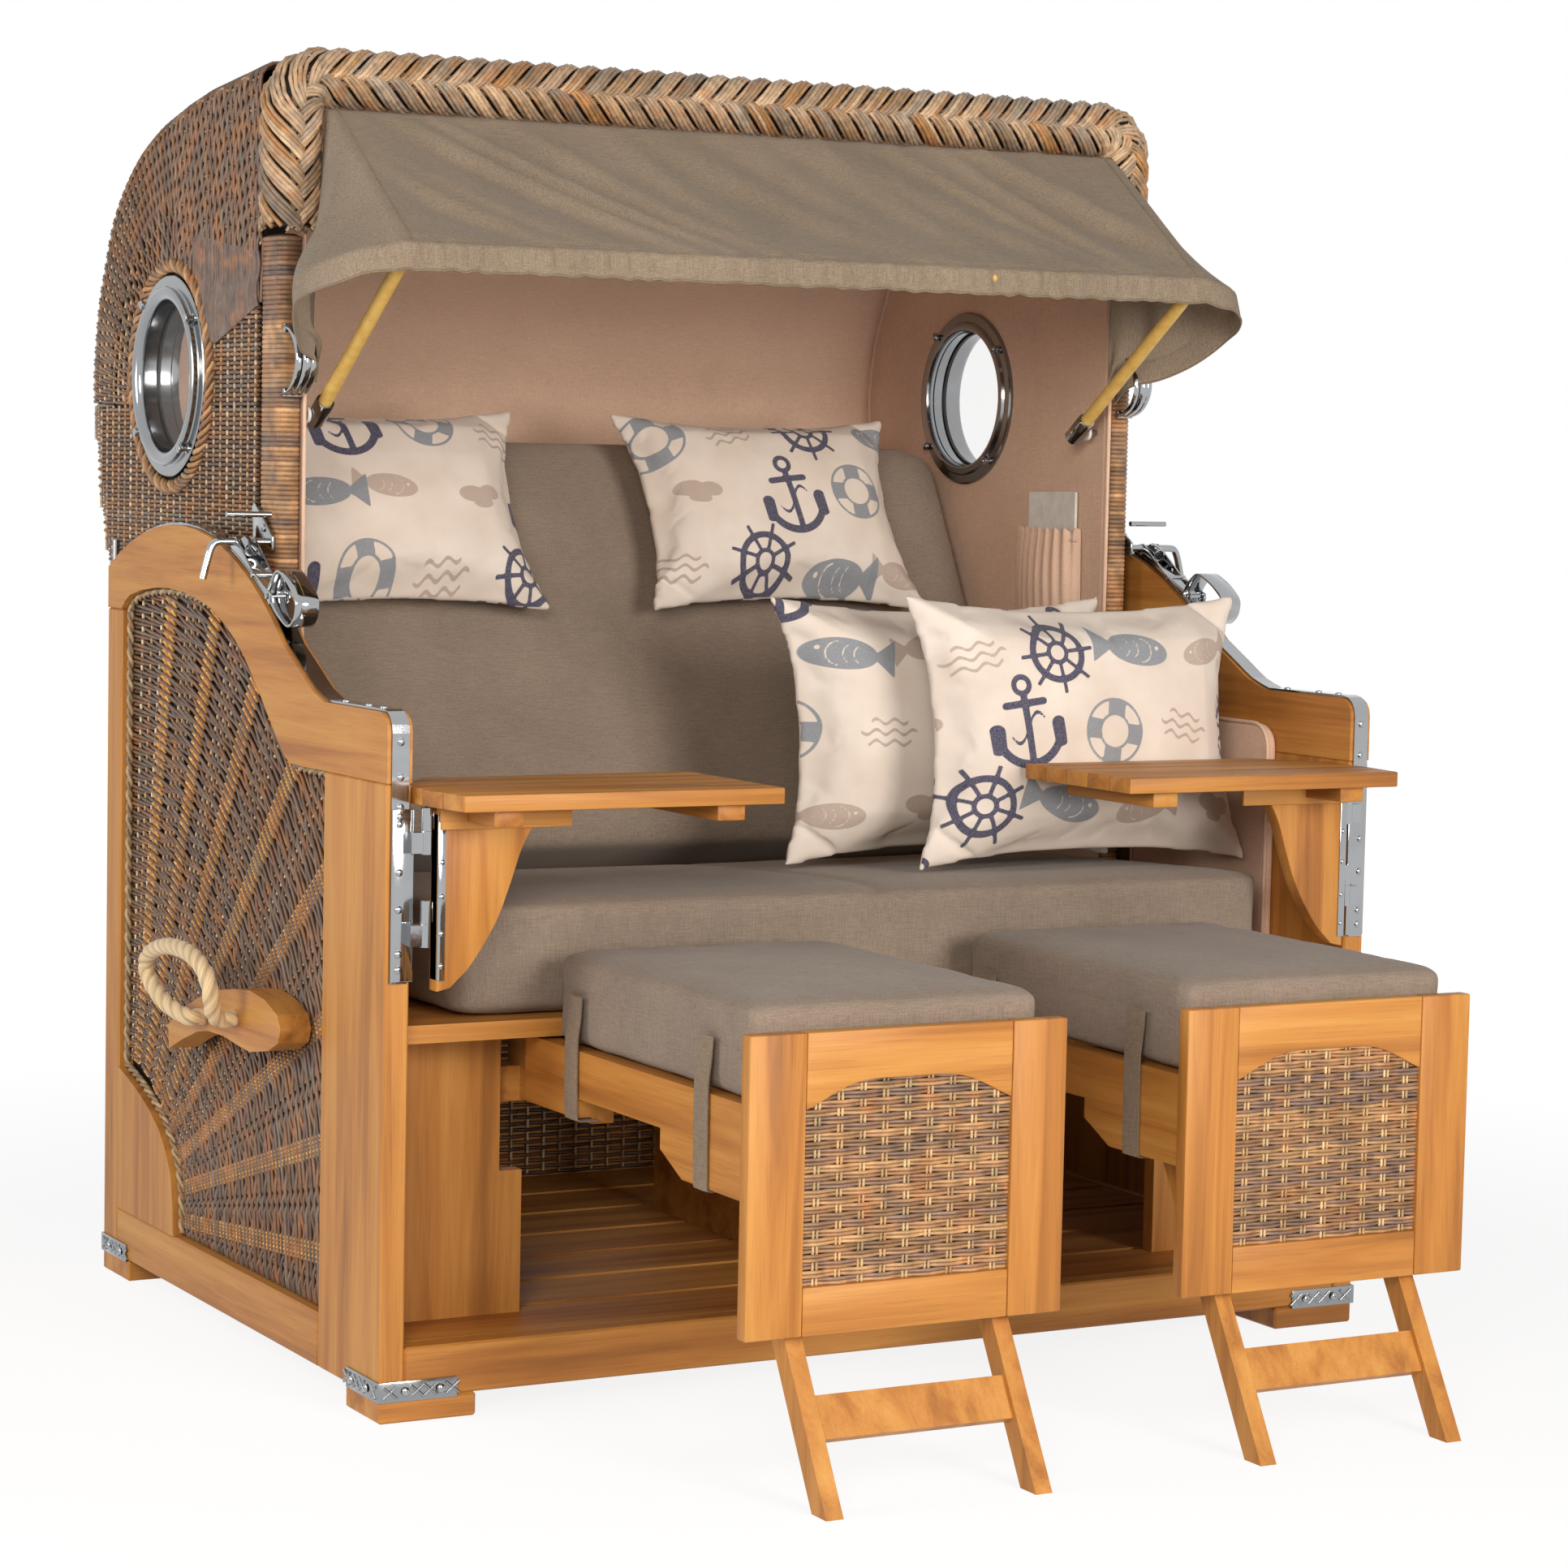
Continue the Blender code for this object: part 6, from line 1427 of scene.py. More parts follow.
def footrest_arch(middle):
    """Lower edge of the footrest's top rail, right to left."""
    third, foot = FOOTREST_HALF / 3, 0.1215
    return curved([(middle + foot, 0.398, 0), (middle + third, 0.4232, 0), (middle, 0.426, 0),
                   (middle - third, 0.4232, 0), (middle - foot, 0.398, 0)], 6)[:, :2]


def make_footrest_panel(label, side):
    """Stiles, an arched top rail and a bottom rail round a woven field."""
    middle, body = side * FOOTREST_X, f"footrest_{label}"
    front, back, low, high, half, stile = -0.455, -0.437, 0.168, 0.477, FOOTREST_HALF, 0.066
    left, right, weave = middle - half + stile, middle + half - stile, front + 0.0062
    parts = [block("stile_a", (middle - half, front, low), (left - 0.0003, back, high),
                   TEAK["Z", 1], 0.0022),
             block("stile_b", (right + 0.0003, front, low), (middle + half, back, high),
                   TEAK["Z", 3], 0.0022)]
    arch = footrest_arch(middle)
    rail = [(left, high), (left, 0.398), *map(tuple, arch[::-1][1:-1]),
            (right, 0.398), (right, high)]
    parts.append(board("top_rail", rail, front + 0.0006, back, "Y", TEAK["X", 2], 0.0018))
    parts.append(block("bottom_rail", (left, front + 0.0006, low),
                       (right, back, 0.218), TEAK["X", 3], 0.0018))
    # Dark sheet behind the woven field: painted shade in its gaps.
    parts.append(block("back_sheet", (left - 0.001, front + 0.0115, 0.217),
                       (right + 0.001, back - 0.0005, 0.43), SHADE_BACKING, 0))
    frame_item = joined(f"footrest_front_{label}", parts)
    set_down(frame_item, body, [f"footrest_panel_{label}"])
    random = np.random.default_rng(61 if side < 0 else 62)
    field = [(left, 0.218), (right, 0.218), *map(tuple, footrest_arch(middle))]
    runs = []
    places = left + 0.016 + 0.0264 * np.arange(9)
    for number, height in enumerate(np.arange(0.2200, 0.426, 0.0041)):
        line = [(left - 0.001, weave, height), (right + 0.001, weave, height)]
        rows = over_and_under(line, (0, -1, 0), places - line[0][0], dives(9, number // 2), 0.0026)
        for part in cut_runs(rows, inside(rows[:, [0, 2]], field) + 0.0008):
            runs.append((part[:, :3], part[:, 3:], 1.0, pick(random, FOOTREST_SHADES)))
    for place in (*(places - 0.0023), *(places + 0.0023)):
        heights = np.arange(0.2185, 0.430, 0.006)
        line = np.stack([np.full(len(heights), place), np.full(len(heights), front + 0.0066), heights], axis=1)
        rows = faced(line, (0.0, -1.0, 0.0))
        for part in cut_runs(rows, inside(rows[:, [0, 2]], field) + 0.0008):
            runs.append((part[:, :3], part[:, 3:], 0.80, pick(random, FOOTREST_STAKE_SHADES)))
    item = strands(f"footrest_weave_{label}", runs, 0.0021, CANE)
    set_down(item, body, [f"footrest_panel_{label}"])


def make_rear_inlay():
    """Open dark weave behind the chair, in the pocket of the rear panel."""
    random = np.random.default_rng(71)
    runs = []
    half, low, high = 0.5602, 0.0868, 0.3395
    for number, height in enumerate(np.arange(low, high, 0.0085)):
        places = np.arange(-half + 0.012, half, 0.024)
        overs = dives(len(places), number)
        for front, way in ((0.8835, 1.0), (0.8630, -1.0)):
            rows = over_and_under([(-half, front, height), (half, front, height)], (0, way, 0), places + half,
                                  overs, 0.0024)
            runs.append((rows[:, :3], rows[:, 3:], 1.0, pick(random, REAR_SHADES)))
            if number == 0:
                for place in places:
                    line = [(place, front, height_step) for height_step in np.arange(low, high, 0.02)]
                    runs.append((line, (0, way, 0), 0.9, pick(random, STAKE_SHADES)))
    item = strands("rear_inlay_weave", runs, 0.0025, CANE, sides=4)
    set_down(item, "base", ())


for label, side in SIDES:
    make_side_panel(label, side)
    make_footrest_panel(label, side)
make_rear_inlay()


# Linings of the hood

def make_liner():
    """Stretched lining of the roof, back and sides, with its piping."""
    inner = roof_inside(0.0345)
    low_edge = underside(0.148, 0.034)
    inner = inner[[point[1] > low_edge[1] + (point[0] - low_edge[0]) * math.tan(UNDER_SLOPE) + 0.004
                   or point[1] > 1.0 for point in inner]]
    columns = 61
    random = np.random.default_rng(81)
    phase = random.uniform(0, 6.28, 6)
    ahead = directions(inner)
    into = np.stack([ahead[:, 1], -ahead[:, 0]], axis=1)
    points = []
    for row, (place, way) in enumerate(zip(inner, into)):
        for x in np.linspace(-LINER_X, LINER_X, columns):
            wave = 0.0016 * (math.sin(9 * x + phase[0]) * math.sin(0.21 * row + phase[1])
                             + 0.6 * math.sin(17 * x + 0.1 * row + phase[2]))
            pull = min(1.0, (0.5645 - abs(x)) / 0.03)
            tuck = 0.0010 * math.sin(0.9 * row + phase[3]) * (1 - pull)
            depth = 0.0016 + (wave + 0.0020) * pull + tuck
            points.append((x, *(place + way * depth)))
    sheet = piece("liner_roof_and_back", points, grid_faces(len(inner), columns), LINER_CLOTH)
    thickened(outward(sheet), 0.0012)
    sheet.data.shade_smooth()
    set_down(sheet, "hood", ["hood_basket"])

    outline = [(0.4590, 0.4450), (0.600, 0.4450), low_edge]
    outline += [tuple(point) for point in inner[::-1]]
    outline += [(HOOD_FRONT + 0.001, inner[0][1]), (HOOD_FRONT + 0.001, 1.2985), (0.4590, 1.2985)]
    hole = arc(PORTHOLE, 0.0990, 0, 360, 48)[:-1]
    for label, side in SIDES:
        side_sheet = board(f"liner_side_{label}", outline, side * 0.5652, side * LINER_X, "X",
                           LINER_CLOTH, 0, [hole])
        set_down(side_sheet, "hood", ["hood_basket"])
        seam = np.hstack([np.full((len(inner), 1), side * 0.5632), inner + into * 0.0020])
        front = np.array([(side * 0.5636, 0.4592, z) for z in np.arange(0.60, 1.2975, 0.02)])
        runs = [(line, (side, 0, 0), girth, (1, 1, 1, 1)) for line, girth in
                ((even_line(seam, 0.012), 1.0), (front, 1.1), (front + (0, 0.0100, 0), 0.7))]
        item = strands(f"liner_piping_{label}", runs, 0.0024, LINER_CLOTH, sides=8)
        set_down(item, "hood", ())


def make_pocket():
    """Pocket on the right lining, gathered by an elastic at its mouth, with a folded newspaper in it."""
    low, high, near, far = 0.800, 0.962, 0.512, 0.668
    columns, rows = 89, 25
    points = []
    for row in range(rows):
        up = row / (rows - 1)
        gather = 0.30 + 0.70 * up ** 1.5
        for column in range(columns):
            across = column / (columns - 1)
            bulge = 0.010 + 0.013 * math.sin(math.pi * min(1, up * 0.9)) ** 0.8
            belly = math.sin(math.pi * across) ** 0.6 * bulge
            wave = math.sin(2 * math.pi * 8.5 * across + 1.3 * math.sin(3 * up))
            fold = 0.0042 * gather * (0.5 + 0.5 * wave)
            shut = min(1, across / 0.05, (1 - across) / 0.05)
            neck = 1 - 0.06 * up
            y = (near + far) / 2 + (across - 0.5) * (far - near) * neck
            frill = 0.0025 * math.sin(2 * math.pi * 8.5 * across) if row > rows - 3 else 0
            points.append((0.5632 - 0.0012 - (belly + fold) * shut, y, low + (high - low) * up + frill))
    cloth = piece("lining_pocket", points, grid_faces(rows, columns), LINER_CLOTH)
    thickened(outward(cloth), 0.0012)
    cloth.data.shade_smooth()
    set_down(cloth, "hood", ())
    elastic = [(0.5632 - 0.0016 - math.sin(math.pi * share) ** 0.6 * 0.0150 - 0.0032
                * (0.5 + 0.5 * math.sin(17 * math.pi * share)) * min(1, share / 0.05, (1 - share) / 0.05),
                0.590 + (share - 0.5) * 0.1495, high - 0.014) for share in np.linspace(0.02, 0.98, 120)]
    band = pipe("pocket_elastic", elastic, 0.0022, LINER_CLOTH, 8)
    set_down(band, "hood", ())
    sheets = []
    for number in range(4):
        x = 0.5575 + 0.0011 * number
        top = 1.0125 - 0.0015 * number
        edge = [(0.527 + 0.0012 * number, 0.822), (0.638, 0.822), (0.6385, top - 0.002),
                (0.5275 + 0.0012 * number, top)]
        sheets.append(board(f"leaf_{number}", edge, x, x + 0.0008, "X", PAPER, 0))
    fold = pipe("paper_fold", [(0.5595, 0.5268, z) for z in np.linspace(0.823, 1.0115, 12)], 0.0023, PAPER, 8)
    paper = joined("folded_newspaper", [*sheets, fold])
    set_down(paper, "hood", ())


make_liner()
make_pocket()


# Metalwork

def make_screw_head():
    """Domed screw with a cross slot, 1 unit across, as a pattern for the scattering tree."""
    ring = [(0, 0.0), (0.50, 0.0), (0.50, 0.05), (0.42, 0.16), (0.25, 0.24), (0.12, 0.25), (0.12, 0.17), (0, 0.17)]
    return turned("screw_pattern", ring, (0, 0, 0), (0, 0, 1), CHROME, 16)


SCREW = make_screw_head()


def make_screws(name, body, places, size):
    """Screws on a list of (point, facing)."""
    item = scattered(name, SCREW, places, size, CHROME)
    return set_down(item, body, ())


def tilt_place(turn, out):
    """A point (y, z) at an angle and distance from the tilt axis."""
    turn = math.radians(turn)
    return TILT[0] + out * math.cos(turn), TILT[1] + out * math.sin(turn)


def make_strip_screws(label, side):
    """Screws of the metal strip, down the post and over the arm."""
    places = [((side * STRIP_X, -0.0028, height), (0, -1, 0))
              for height in (0.740, 0.702, 0.670, 0.648, 0.570, 0.546)]
    for turn in (100, 88, 76, 64):
        y, z = tilt_place(turn, ARM_RADIUS + 0.0015)
        places.append(((side * STRIP_X, y, z), (0, math.cos(math.radians(turn)), math.sin(math.radians(turn)))))
    for y in (0.045, 0.085, 0.150):
        places.append(((side * STRIP_X, y, 0.7738), (0, 0, 1)))
    make_screws(f"strip_screws_{label}", "base", places, 0.0085)


def make_corner_iron(label, side, rear):
    """Embossed angle plate round a foot, two screws in each leg."""
    y_face = 0.8955 if rear else -0.0005
    way = 1 if rear else -1
    low, high = 0.0236, 0.0462
    x_face = side * 0.6505
    x_proud, y_proud = x_face + side * 0.0016, y_face + way * 0.0016
    parts = [block("leg_x", (x_proud, y_face, low), (side * 0.5590, y_proud, high), STEEL, 0.0006),
             block("leg_y", (x_face, y_face, low), (x_proud, y_face - way * 0.0890, high), STEEL, 0.0006)]
    screws = []
    for start in (0.030, 0.072):
        screws.append(((side * (0.6505 - start), y_face + way * 0.0030, 0.0349), (0, way, 0)))
        screws.append(((side * (0.6505 + 0.0030), y_face - way * start, 0.0349), (side, 0, 0)))
    for start in (0.012, 0.044, 0.060, 0.086):
        for lean in (-1, 1):
            a, b = start - 0.008, start + 0.008
            low_z, high_z = 0.0349 - lean * 0.0065, 0.0349 + lean * 0.0065
            for ends in (((side * (0.6505 - a), y_proud, low_z), (side * (0.6505 - b), y_proud, high_z)),
                         ((x_proud, y_face - way * a, low_z), (x_proud, y_face - way * b, high_z))):
                parts.append(pipe("rib", ends, 0.0017, STEEL, 8))
    end = "rear" if rear else "front"
    iron = joined(f"corner_iron_{end}_{label}", parts)
    set_down(iron, "base", ())
    make_screws(f"corner_screws_{end}_{label}", "base", screws, 0.010)


def knuckle(side, height):
    """One barrel of the table's hinge round its pin."""
    return turned("knuckle", [(0.0018, 0), (0.0066, 0), (0.0066, 0.0248), (0.0018, 0.0248)],
                  (side * HINGE_X, HINGE_Y, height), (0, 0, 1), CHROME, 24)


def hinge_leaves(label, side):
    """Strap hinge between the post and the table's bracket: leaves, knuckles and screws."""
    parts = [block("leaf", (side * 0.6195, -0.0050, 0.482), (side * 0.6455, -0.0029, 0.668), CHROME, 0.0008)]
    for height in (0.520, 0.620):
        parts.append(block("tongue", (side * HINGE_X, -0.0165, height + 0.001),
                           (side * 0.6250, -0.0040, height + 0.024), CHROME, 0.0012))
        parts.append(knuckle(side, height))
    leaf = joined(f"post_hinge_{label}", parts)
    set_down(leaf, "base", ())
    places = [((side * 0.6370, -0.0050, height), (0, -1, 0))
              for height in (0.495, 0.512, 0.560, 0.600, 0.652, 0.660)]
    make_screws(f"post_hinge_screws_{label}", "base", places, 0.0085)


def make_table(label, side):
    """Planked table top on two battens and a curved bracket, hung on its hinge."""
    def at(inwards, forwards):
        return side * (HINGE_X - inwards), HINGE_Y - forwards
    outline = [at(0, 0.098), at(0.383, 0.098), at(0.383, -0.127), at(0.050, -0.127), at(-0.010, -0.050),
               at(-0.010, 0.025)]
    low, top = 0.673, 0.691
    body = f"table_{label}"
    parts = []
    ends = np.linspace(-0.112, 0.113, 6)
    xs = sorted((side * 0.619, side * 0.226))
    for number, (start, end) in enumerate(zip(ends, ends[1:])):
        strip = [(xs[0] - 0.01, start + 0.0006), (xs[1] + 0.01, start + 0.0006), (xs[1] + 0.01, end - 0.0006),
                 (xs[0] - 0.01, end - 0.0006)]
        parts.append(board("plank", clip_polygon(outline, strip), low, top, "Z", TEAK["X", number % 3 + 1],
                           0.0016))
    parts.append(block("cleat", (at(0.010, 0)[0], -0.0300, low - 0.026),
                       (at(0.165, 0)[0], -0.0245, low + 0.001), TEAK["X", 1], 0.0014))
    for inwards in (0.040, 0.307):
        parts.append(block("batten", (*at(inwards, 0.084), low - 0.018),
                           (*at(inwards + 0.034, -0.099), low + 0.001), TEAK["Y", 2], 0.0016))
    rise, start, reach = 0.183, 0.009, 0.116
    edge = curved([(start + reach * along, 0.472 + rise * up, 0) for along, up in
                   ((1.00, 1.00), (0.86, 0.84), (0.74, 0.62), (0.60, 0.40), (0.36, 0.16), (0.14, 0.02))], 5)[:, :2]
    bracket = [(start, 0.472), (start, low + 0.001), (0.141, low + 0.001), (0.141, 0.6575), *map(tuple, edge)]
    bracket = [(side * (HINGE_X - along), up) for along, up in bracket]
    parts.append(board("bracket", bracket, -0.024, -0.004, "Y", TEAK["Z", 1], 0.0016))
    wood = joined(f"table_wood_{label}", parts)
    set_down(wood, body, [f"side_table_{label}"])
    near, far = sorted((side * 0.6000, side * 0.5985))
    metal = [block("leaf", (near, -0.0225, 0.484), (far + 0.0006, -0.0055, 0.664), CHROME, 0.0008),
             block("leaf_front", (side * 0.6008, -0.0258, 0.484), (side * 0.5915, -0.0240, 0.664), CHROME, 0.0006)]
    for height in (0.5453, 0.6453):
        metal.append(knuckle(side, height))
        metal.append(block("tongue", (side * 0.6060, -0.0175, height + 0.001),
                           (side * 0.5995, -0.0105, height + 0.024), CHROME, 0.001))
    hinge = joined(f"table_hinge_{label}", metal)
    set_down(hinge, body, ())
    places = [((side * 0.5960, -0.0258, height), (0, -1, 0))
              for height in (0.500, 0.535, 0.575, 0.612, 0.650)]
    make_screws(f"table_hinge_screws_{label}", body, places, 0.0062)


def clip_polygon(subject, window):
    """The part of a convex outline inside a convex window."""
    result = [tuple(point) for point in subject]
    count = len(window)
    area = sum(window[k][0] * window[(k + 1) % count][1] - window[(k + 1) % count][0] * window[k][1]
               for k in range(count))
    turn = 1 if area > 0 else -1
    for k in range(count):
        a, b = np.array(window[k]), np.array(window[(k + 1) % count])
        side_of = [turn * ((b - a)[0] * (p[1] - a[1]) - (b - a)[1] * (p[0] - a[0])) for p in result]
        kept = []
        for number, point in enumerate(result):
            before, level, last = result[number - 1], side_of[number], side_of[number - 1]
            if (level >= 0) != (last >= 0):
                share = last / (last - level)
                kept.append((before[0] + (point[0] - before[0]) * share,
                             before[1] + (point[1] - before[1]) * share))
            if level >= 0:
                kept.append(point)
        result = kept
    return [point for number, point in enumerate(result) if math.dist(point, result[number - 1]) > 0.0001]


def make_porthole(label, side):
    """Turned steel porthole: flange, raised rim, deep sleeve, inner ring, pane and clamping nuts."""
    out = 0.5983
    rim = [(0.0925, -0.0325), (0.0980, -0.0325), (0.0980, 0), (0.1245, 0), (0.1250, 0.0012), (0.1250, 0.0040),
           (0.1236, 0.0052), (0.1120, 0.0056), (0.1105, 0.0070), (0.1100, 0.0120), (0.1085, 0.0136),
           (0.1055, 0.0143), (0.1020, 0.0143), (0.0985, 0.0134), (0.0950, 0.0110), (0.0932, 0.0070),
           (0.0925, 0.0020)]
    ring = turned(f"porthole_ring_{label}", rim, (side * out, *PORTHOLE), (side, 0, 0), STEEL, 96)
    inner = [(0.0928, 0), (0.1180, 0), (0.1180, 0.0038), (0.1160, 0.0056), (0.1060, 0.0064), (0.1035, 0.0098),
             (0.0985, 0.0112), (0.0945, 0.0098), (0.0928, 0.0060)]
    back = turned("inner", inner, (side * LINER_X, *PORTHOLE), (-side, 0, 0), STEEL, 96)
    seal = turned("seal", [(0.0905, -0.0024), (0.0930, -0.0024), (0.0930, 0.0024), (0.0905, 0.0024)],
                  (side * 0.5820, *PORTHOLE), (side, 0, 0), UNDER_WEAVE, 64)
    metal = joined(f"porthole_metal_{label}", [ring, back, seal])
    set_down(metal, "hood", [f"porthole_{label}"])
    pane = turned(f"porthole_pane_{label}", [(0, -0.0015), (0.0915, -0.0015), (0.0915, 0.0015), (0, 0.0015)],
                  (side * 0.5820, *PORTHOLE), (side, 0, 0), PANE, 64)
    set_down(pane, "hood", [f"porthole_{label}"])
    profile = [(0, 0), (0.0062, 0), (0.0062, 0.0022), (0.0038, 0.0030), (0.0036, 0.0062), (0.0052, 0.0072),
               (0.0058, 0.0096), (0.0052, 0.0120), (0.0030, 0.0134), (0, 0.0138)]
    knobs = []
    for turn in (52, 142, 232, 322):
        for reach, x, way in ((0.1135, out + 0.0045, side), (0.1085, LINER_X - 0.0040, -side)):
            y = PORTHOLE[0] + reach * math.cos(math.radians(turn))
            z = PORTHOLE[1] + reach * math.sin(math.radians(turn))
            knobs.append(turned("knob", profile, (side * x, y, z), (way, 0, 0), CHROME, 20))
    nuts = joined(f"porthole_knobs_{label}", knobs)
    set_down(nuts, "hood", ())


def make_bow():
    """Bent yellow tube with chromed sockets and white plastic washers at its pivots."""
    pivot, front, bend = Vector((BOW_X, BOW_Y, BOW_Z)), Vector((BOW_X, 0.232, 1.272)), 0.034
    run = (front - pivot).normalized()
    right = [tuple(pivot + run * distance) for distance in (0.010, 0.10, 0.20)]
    corner = front - run * bend - Vector((bend, 0, 0))
    for step in range(13):
        turn = math.radians(7.5 * step)
        right.append(tuple(corner + Vector((bend * math.cos(turn), 0, 0)) + run * bend * math.sin(turn)))
    right += [(x, 0.232, 1.272) for x in (0.44, 0.30, 0.15)]
    line = [*right, (0, 0.232, 1.272), *[(-x, y, z) for x, y, z in reversed(right)]]
    bow_tube = pipe("canopy_bow_tube", line, 0.0085, TUBE, 20)
    set_down(bow_tube, "bow", ["canopy_bow"])
    parts, washers = [], []
    for side in (-1, 1):
        middle = Vector((side * BOW_X, BOW_Y, BOW_Z))
        start = middle - run * 0.014
        parts.append(turned("socket", [(0, 0), (0.0098, 0), (0.0115, 0.0016), (0.0115, 0.0405), (0.0105, 0.0420),
                                       (0.0086, 0.0420), (0.0086, 0.020), (0, 0.020)], start, run, CHROME, 28))
        parts.append(turned("pin", [(0, -0.012), (0.0040, -0.012), (0.0040, 0.0290), (0, 0.0290)],
                            middle, (side, 0, 0), CHROME, 16))
        washers.append(turned("washer", [(0.0042, 0.0125), (0.0100, 0.0125), (0.0100, 0.0165), (0.0042, 0.0165)],
                              middle, (side, 0, 0), PAPER, 24))
    sockets = joined("bow_sockets", [*parts, *washers])
    set_down(sockets, "bow", ["canopy_bow"])


def make_grip(label, side):
    """Arched handle of three ribbed chrome bands on the front of the hood's post."""
    parts = []
    for offset, reach in ((-0.0085, 0.0460), (0.0, 0.0492), (0.0085, 0.0460)):
        turns = np.radians(np.linspace(-90, 90, 33))
        line = [(side * (POST_X + offset), 0.4558 - reach * math.cos(turn), 1.152 + 0.0392 * math.sin(turn))
                for turn in turns]
        parts.append(pipe("band", line, 1.0, CHROME, facing=(1, 0, 0), section=oval(0.0052, 0.0024, 8)))
    for z in (1.1145, 1.1895):
        parts.append(block("foot", (side * POST_X - 0.0115, 0.4486, z - 0.0050),
                           (side * POST_X + 0.0115, 0.4556, z + 0.0050), CHROME, 0.0012))
    grip = joined(f"hood_grip_{label}", parts)
    set_down(grip, "hood", [f"bow_grip_{label}"])


def make_clamp(label, side):
    """Channel that grips the arm's strip, with its tube and pin, and the flat ring that frees it."""
    inner, outer, gauge = 0.6225, 0.6478, 0.0025
    lower, upper = arc(TILT, 0.5502, 121.3, 107.9, 14), arc(TILT, 0.5524, 107.9, 121.3, 14)
    parts = [board("shoe", [*lower, *upper], side * inner, side * outer, "X", CHROME, 0.0006)]
    cheek = [*arc(TILT, 0.5486, 122.9, 108.0, 14), (0.4760, 0.9440), (0.4600, 0.9462), (0.4080, 0.9090),
             (0.3700, 0.8925), (0.3600, 0.8890), (0.3490, 0.8850), (0.3480, 0.8790)]
    for near, far in ((inner, inner + gauge), (outer - gauge, outer)):
        parts.append(board("cheek", cheek, side * near, side * far, "X", CHROME, 0.0006))
    for place, reach in (((0.3568, 0.8808), 0.0034), ((0.4020, 0.9035), 0.0030)):
        parts.append(turned("pin", [(0, 0.6215), (reach, 0.6215), (reach, 0.6500), (0, 0.6500)],
                            (0, *place), (side, 0, 0), CHROME, 16))
    parts.append(turned("tube", [(0, 0), (0.0086, 0), (0.0086, 0.020), (0.0060, 0.020), (0.0060, 0.003), (0, 0.003)],
                        (side * 0.6352, 0.4580, 0.9390), (0, -0.93, -0.36), CHROME, 28))
    clamp = joined(f"clamp_channel_{label}", parts)
    set_down(clamp, "hood", [f"clamp_{label}"])
    loop = np.array(((0.3298, 0.9128), (0.3472, 0.9011), (0.3620, 0.8838), (0.3360, 0.8633), (0.2953, 0.8465),
                     (0.2758, 0.8593), (0.2715, 0.8797), (0.2968, 0.8982)))
    for _ in range(3):
        after = np.roll(loop, -1, axis=0)
        loop = np.stack((loop * 0.8 + after * 0.2, loop * 0.2 + after * 0.8), axis=1).reshape(-1, 2)
    band = [(0.0145, 0.0008), (0.0140, 0.0013), (-0.0140, 0.0013), (-0.0145, 0.0008), (-0.0145, -0.0008),
            (-0.0140, -0.0013), (0.0140, -0.0013), (0.0145, -0.0008)]
    ring = pipe(f"clamp_ring_{label}", [(side * 0.6330, y, z) for y, z in loop], 1.0, CHROME, closed=True,
                facing=(1, 0, 0), section=band)
    set_down(ring, f"lever_{label}", [f"clamp_lever_{label}"])


def make_clamp_details(label, side):
    """Plate, rod and bent handle of the tilting fitting on the hood's side, and the stop peg behind it."""
    plate = [(0.5130, 0.9860), (0.5200, 0.9800), (0.5120, 0.9300), (0.4560, 0.9300), (0.4550, 0.9465)]
    parts = [board("side_plate", plate, side * 0.6010, side * 0.6045, "X", CHROME, 0.0010)]
    parts.append(pipe("rod", [(side * x, 0.4620, 0.9720) for x in (0.6030, 0.6300, 0.6580)], 0.0034, CHROME, 14))
    bends = ((0.6030, 0.9400), (0.6400, 0.9400), (0.6620, 0.9400), (0.6725, 0.9385), (0.6780, 0.9300),
             (0.6820, 0.9160), (0.6870, 0.8965))
    line = curved([(side * x, 0.4620, z) for x, z in bends], 5)
    parts.append(pipe("handle", line, 0.0046, CHROME, 14))
    parts.append(turned("screw_head", [(0, 0), (0.0050, 0), (0.0046, 0.0020), (0, 0.0028)],
                        (side * 0.6045, 0.4790, 0.9560), (side, 0, 0), CHROME, 20))
    metal = joined(f"clamp_rods_{label}", parts)
    set_down(metal, "hood", ())
    peg = pipe(f"rear_peg_{label}", [(side * STRIP_X, 0.908, 0.877), (side * STRIP_X, 0.908, 0.930)], 0.0045,
               CHROME, 14)
    set_down(peg, "base", ())


for label, side in SIDES:
    make_strip_screws(label, side)
    for rear in (False, True):
        make_corner_iron(label, side, rear)
    hinge_leaves(label, side)
    make_table(label, side)
    make_porthole(label, side)
    make_grip(label, side)
    make_clamp(label, side)
    make_clamp_details(label, side)
make_bow()
bpy.data.objects.remove(SCREW)


# Cushions and pillows

SOFT = []
SETTLED = 20


def soft_copy(node, voxel, smoothing, shrink=0.0):
    """The node's form as an even closed mesh, measured from the base's front face."""
    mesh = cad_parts[node].data.copy()
    item = bpy.data.objects.new(f"{node}_cover", mesh)
    bpy.context.scene.collection.objects.link(item)
    mesh.transform(Matrix.Translation((0, -BASE_FRONT, 0)))
    outward(item)
    even = item.modifiers.new("even", "REMESH")
    even.mode = "VOXEL"
    even.voxel_size = voxel
    soft = item.modifiers.new("soft", "SMOOTH")
    soft.factor = 0.5
    soft.iterations = smoothing
    made_plain(item)
    if shrink:
        normals = np.empty(len(item.data.vertices) * 3)
        item.data.vertices.foreach_get("normal", normals)
        set_positions(item, positions(item) - normals.reshape(-1, 3) * shrink)
    return item


def positions(item):
    """The points of a piece as an array."""
    values = np.empty(len(item.data.vertices) * 3)
    item.data.vertices.foreach_get("co", values)
    return values.reshape(-1, 3)


def set_positions(item, places):
    """Moves the points of a piece."""
    item.data.vertices.foreach_set("co", np.asarray(places, float).ravel())
    item.data.update()


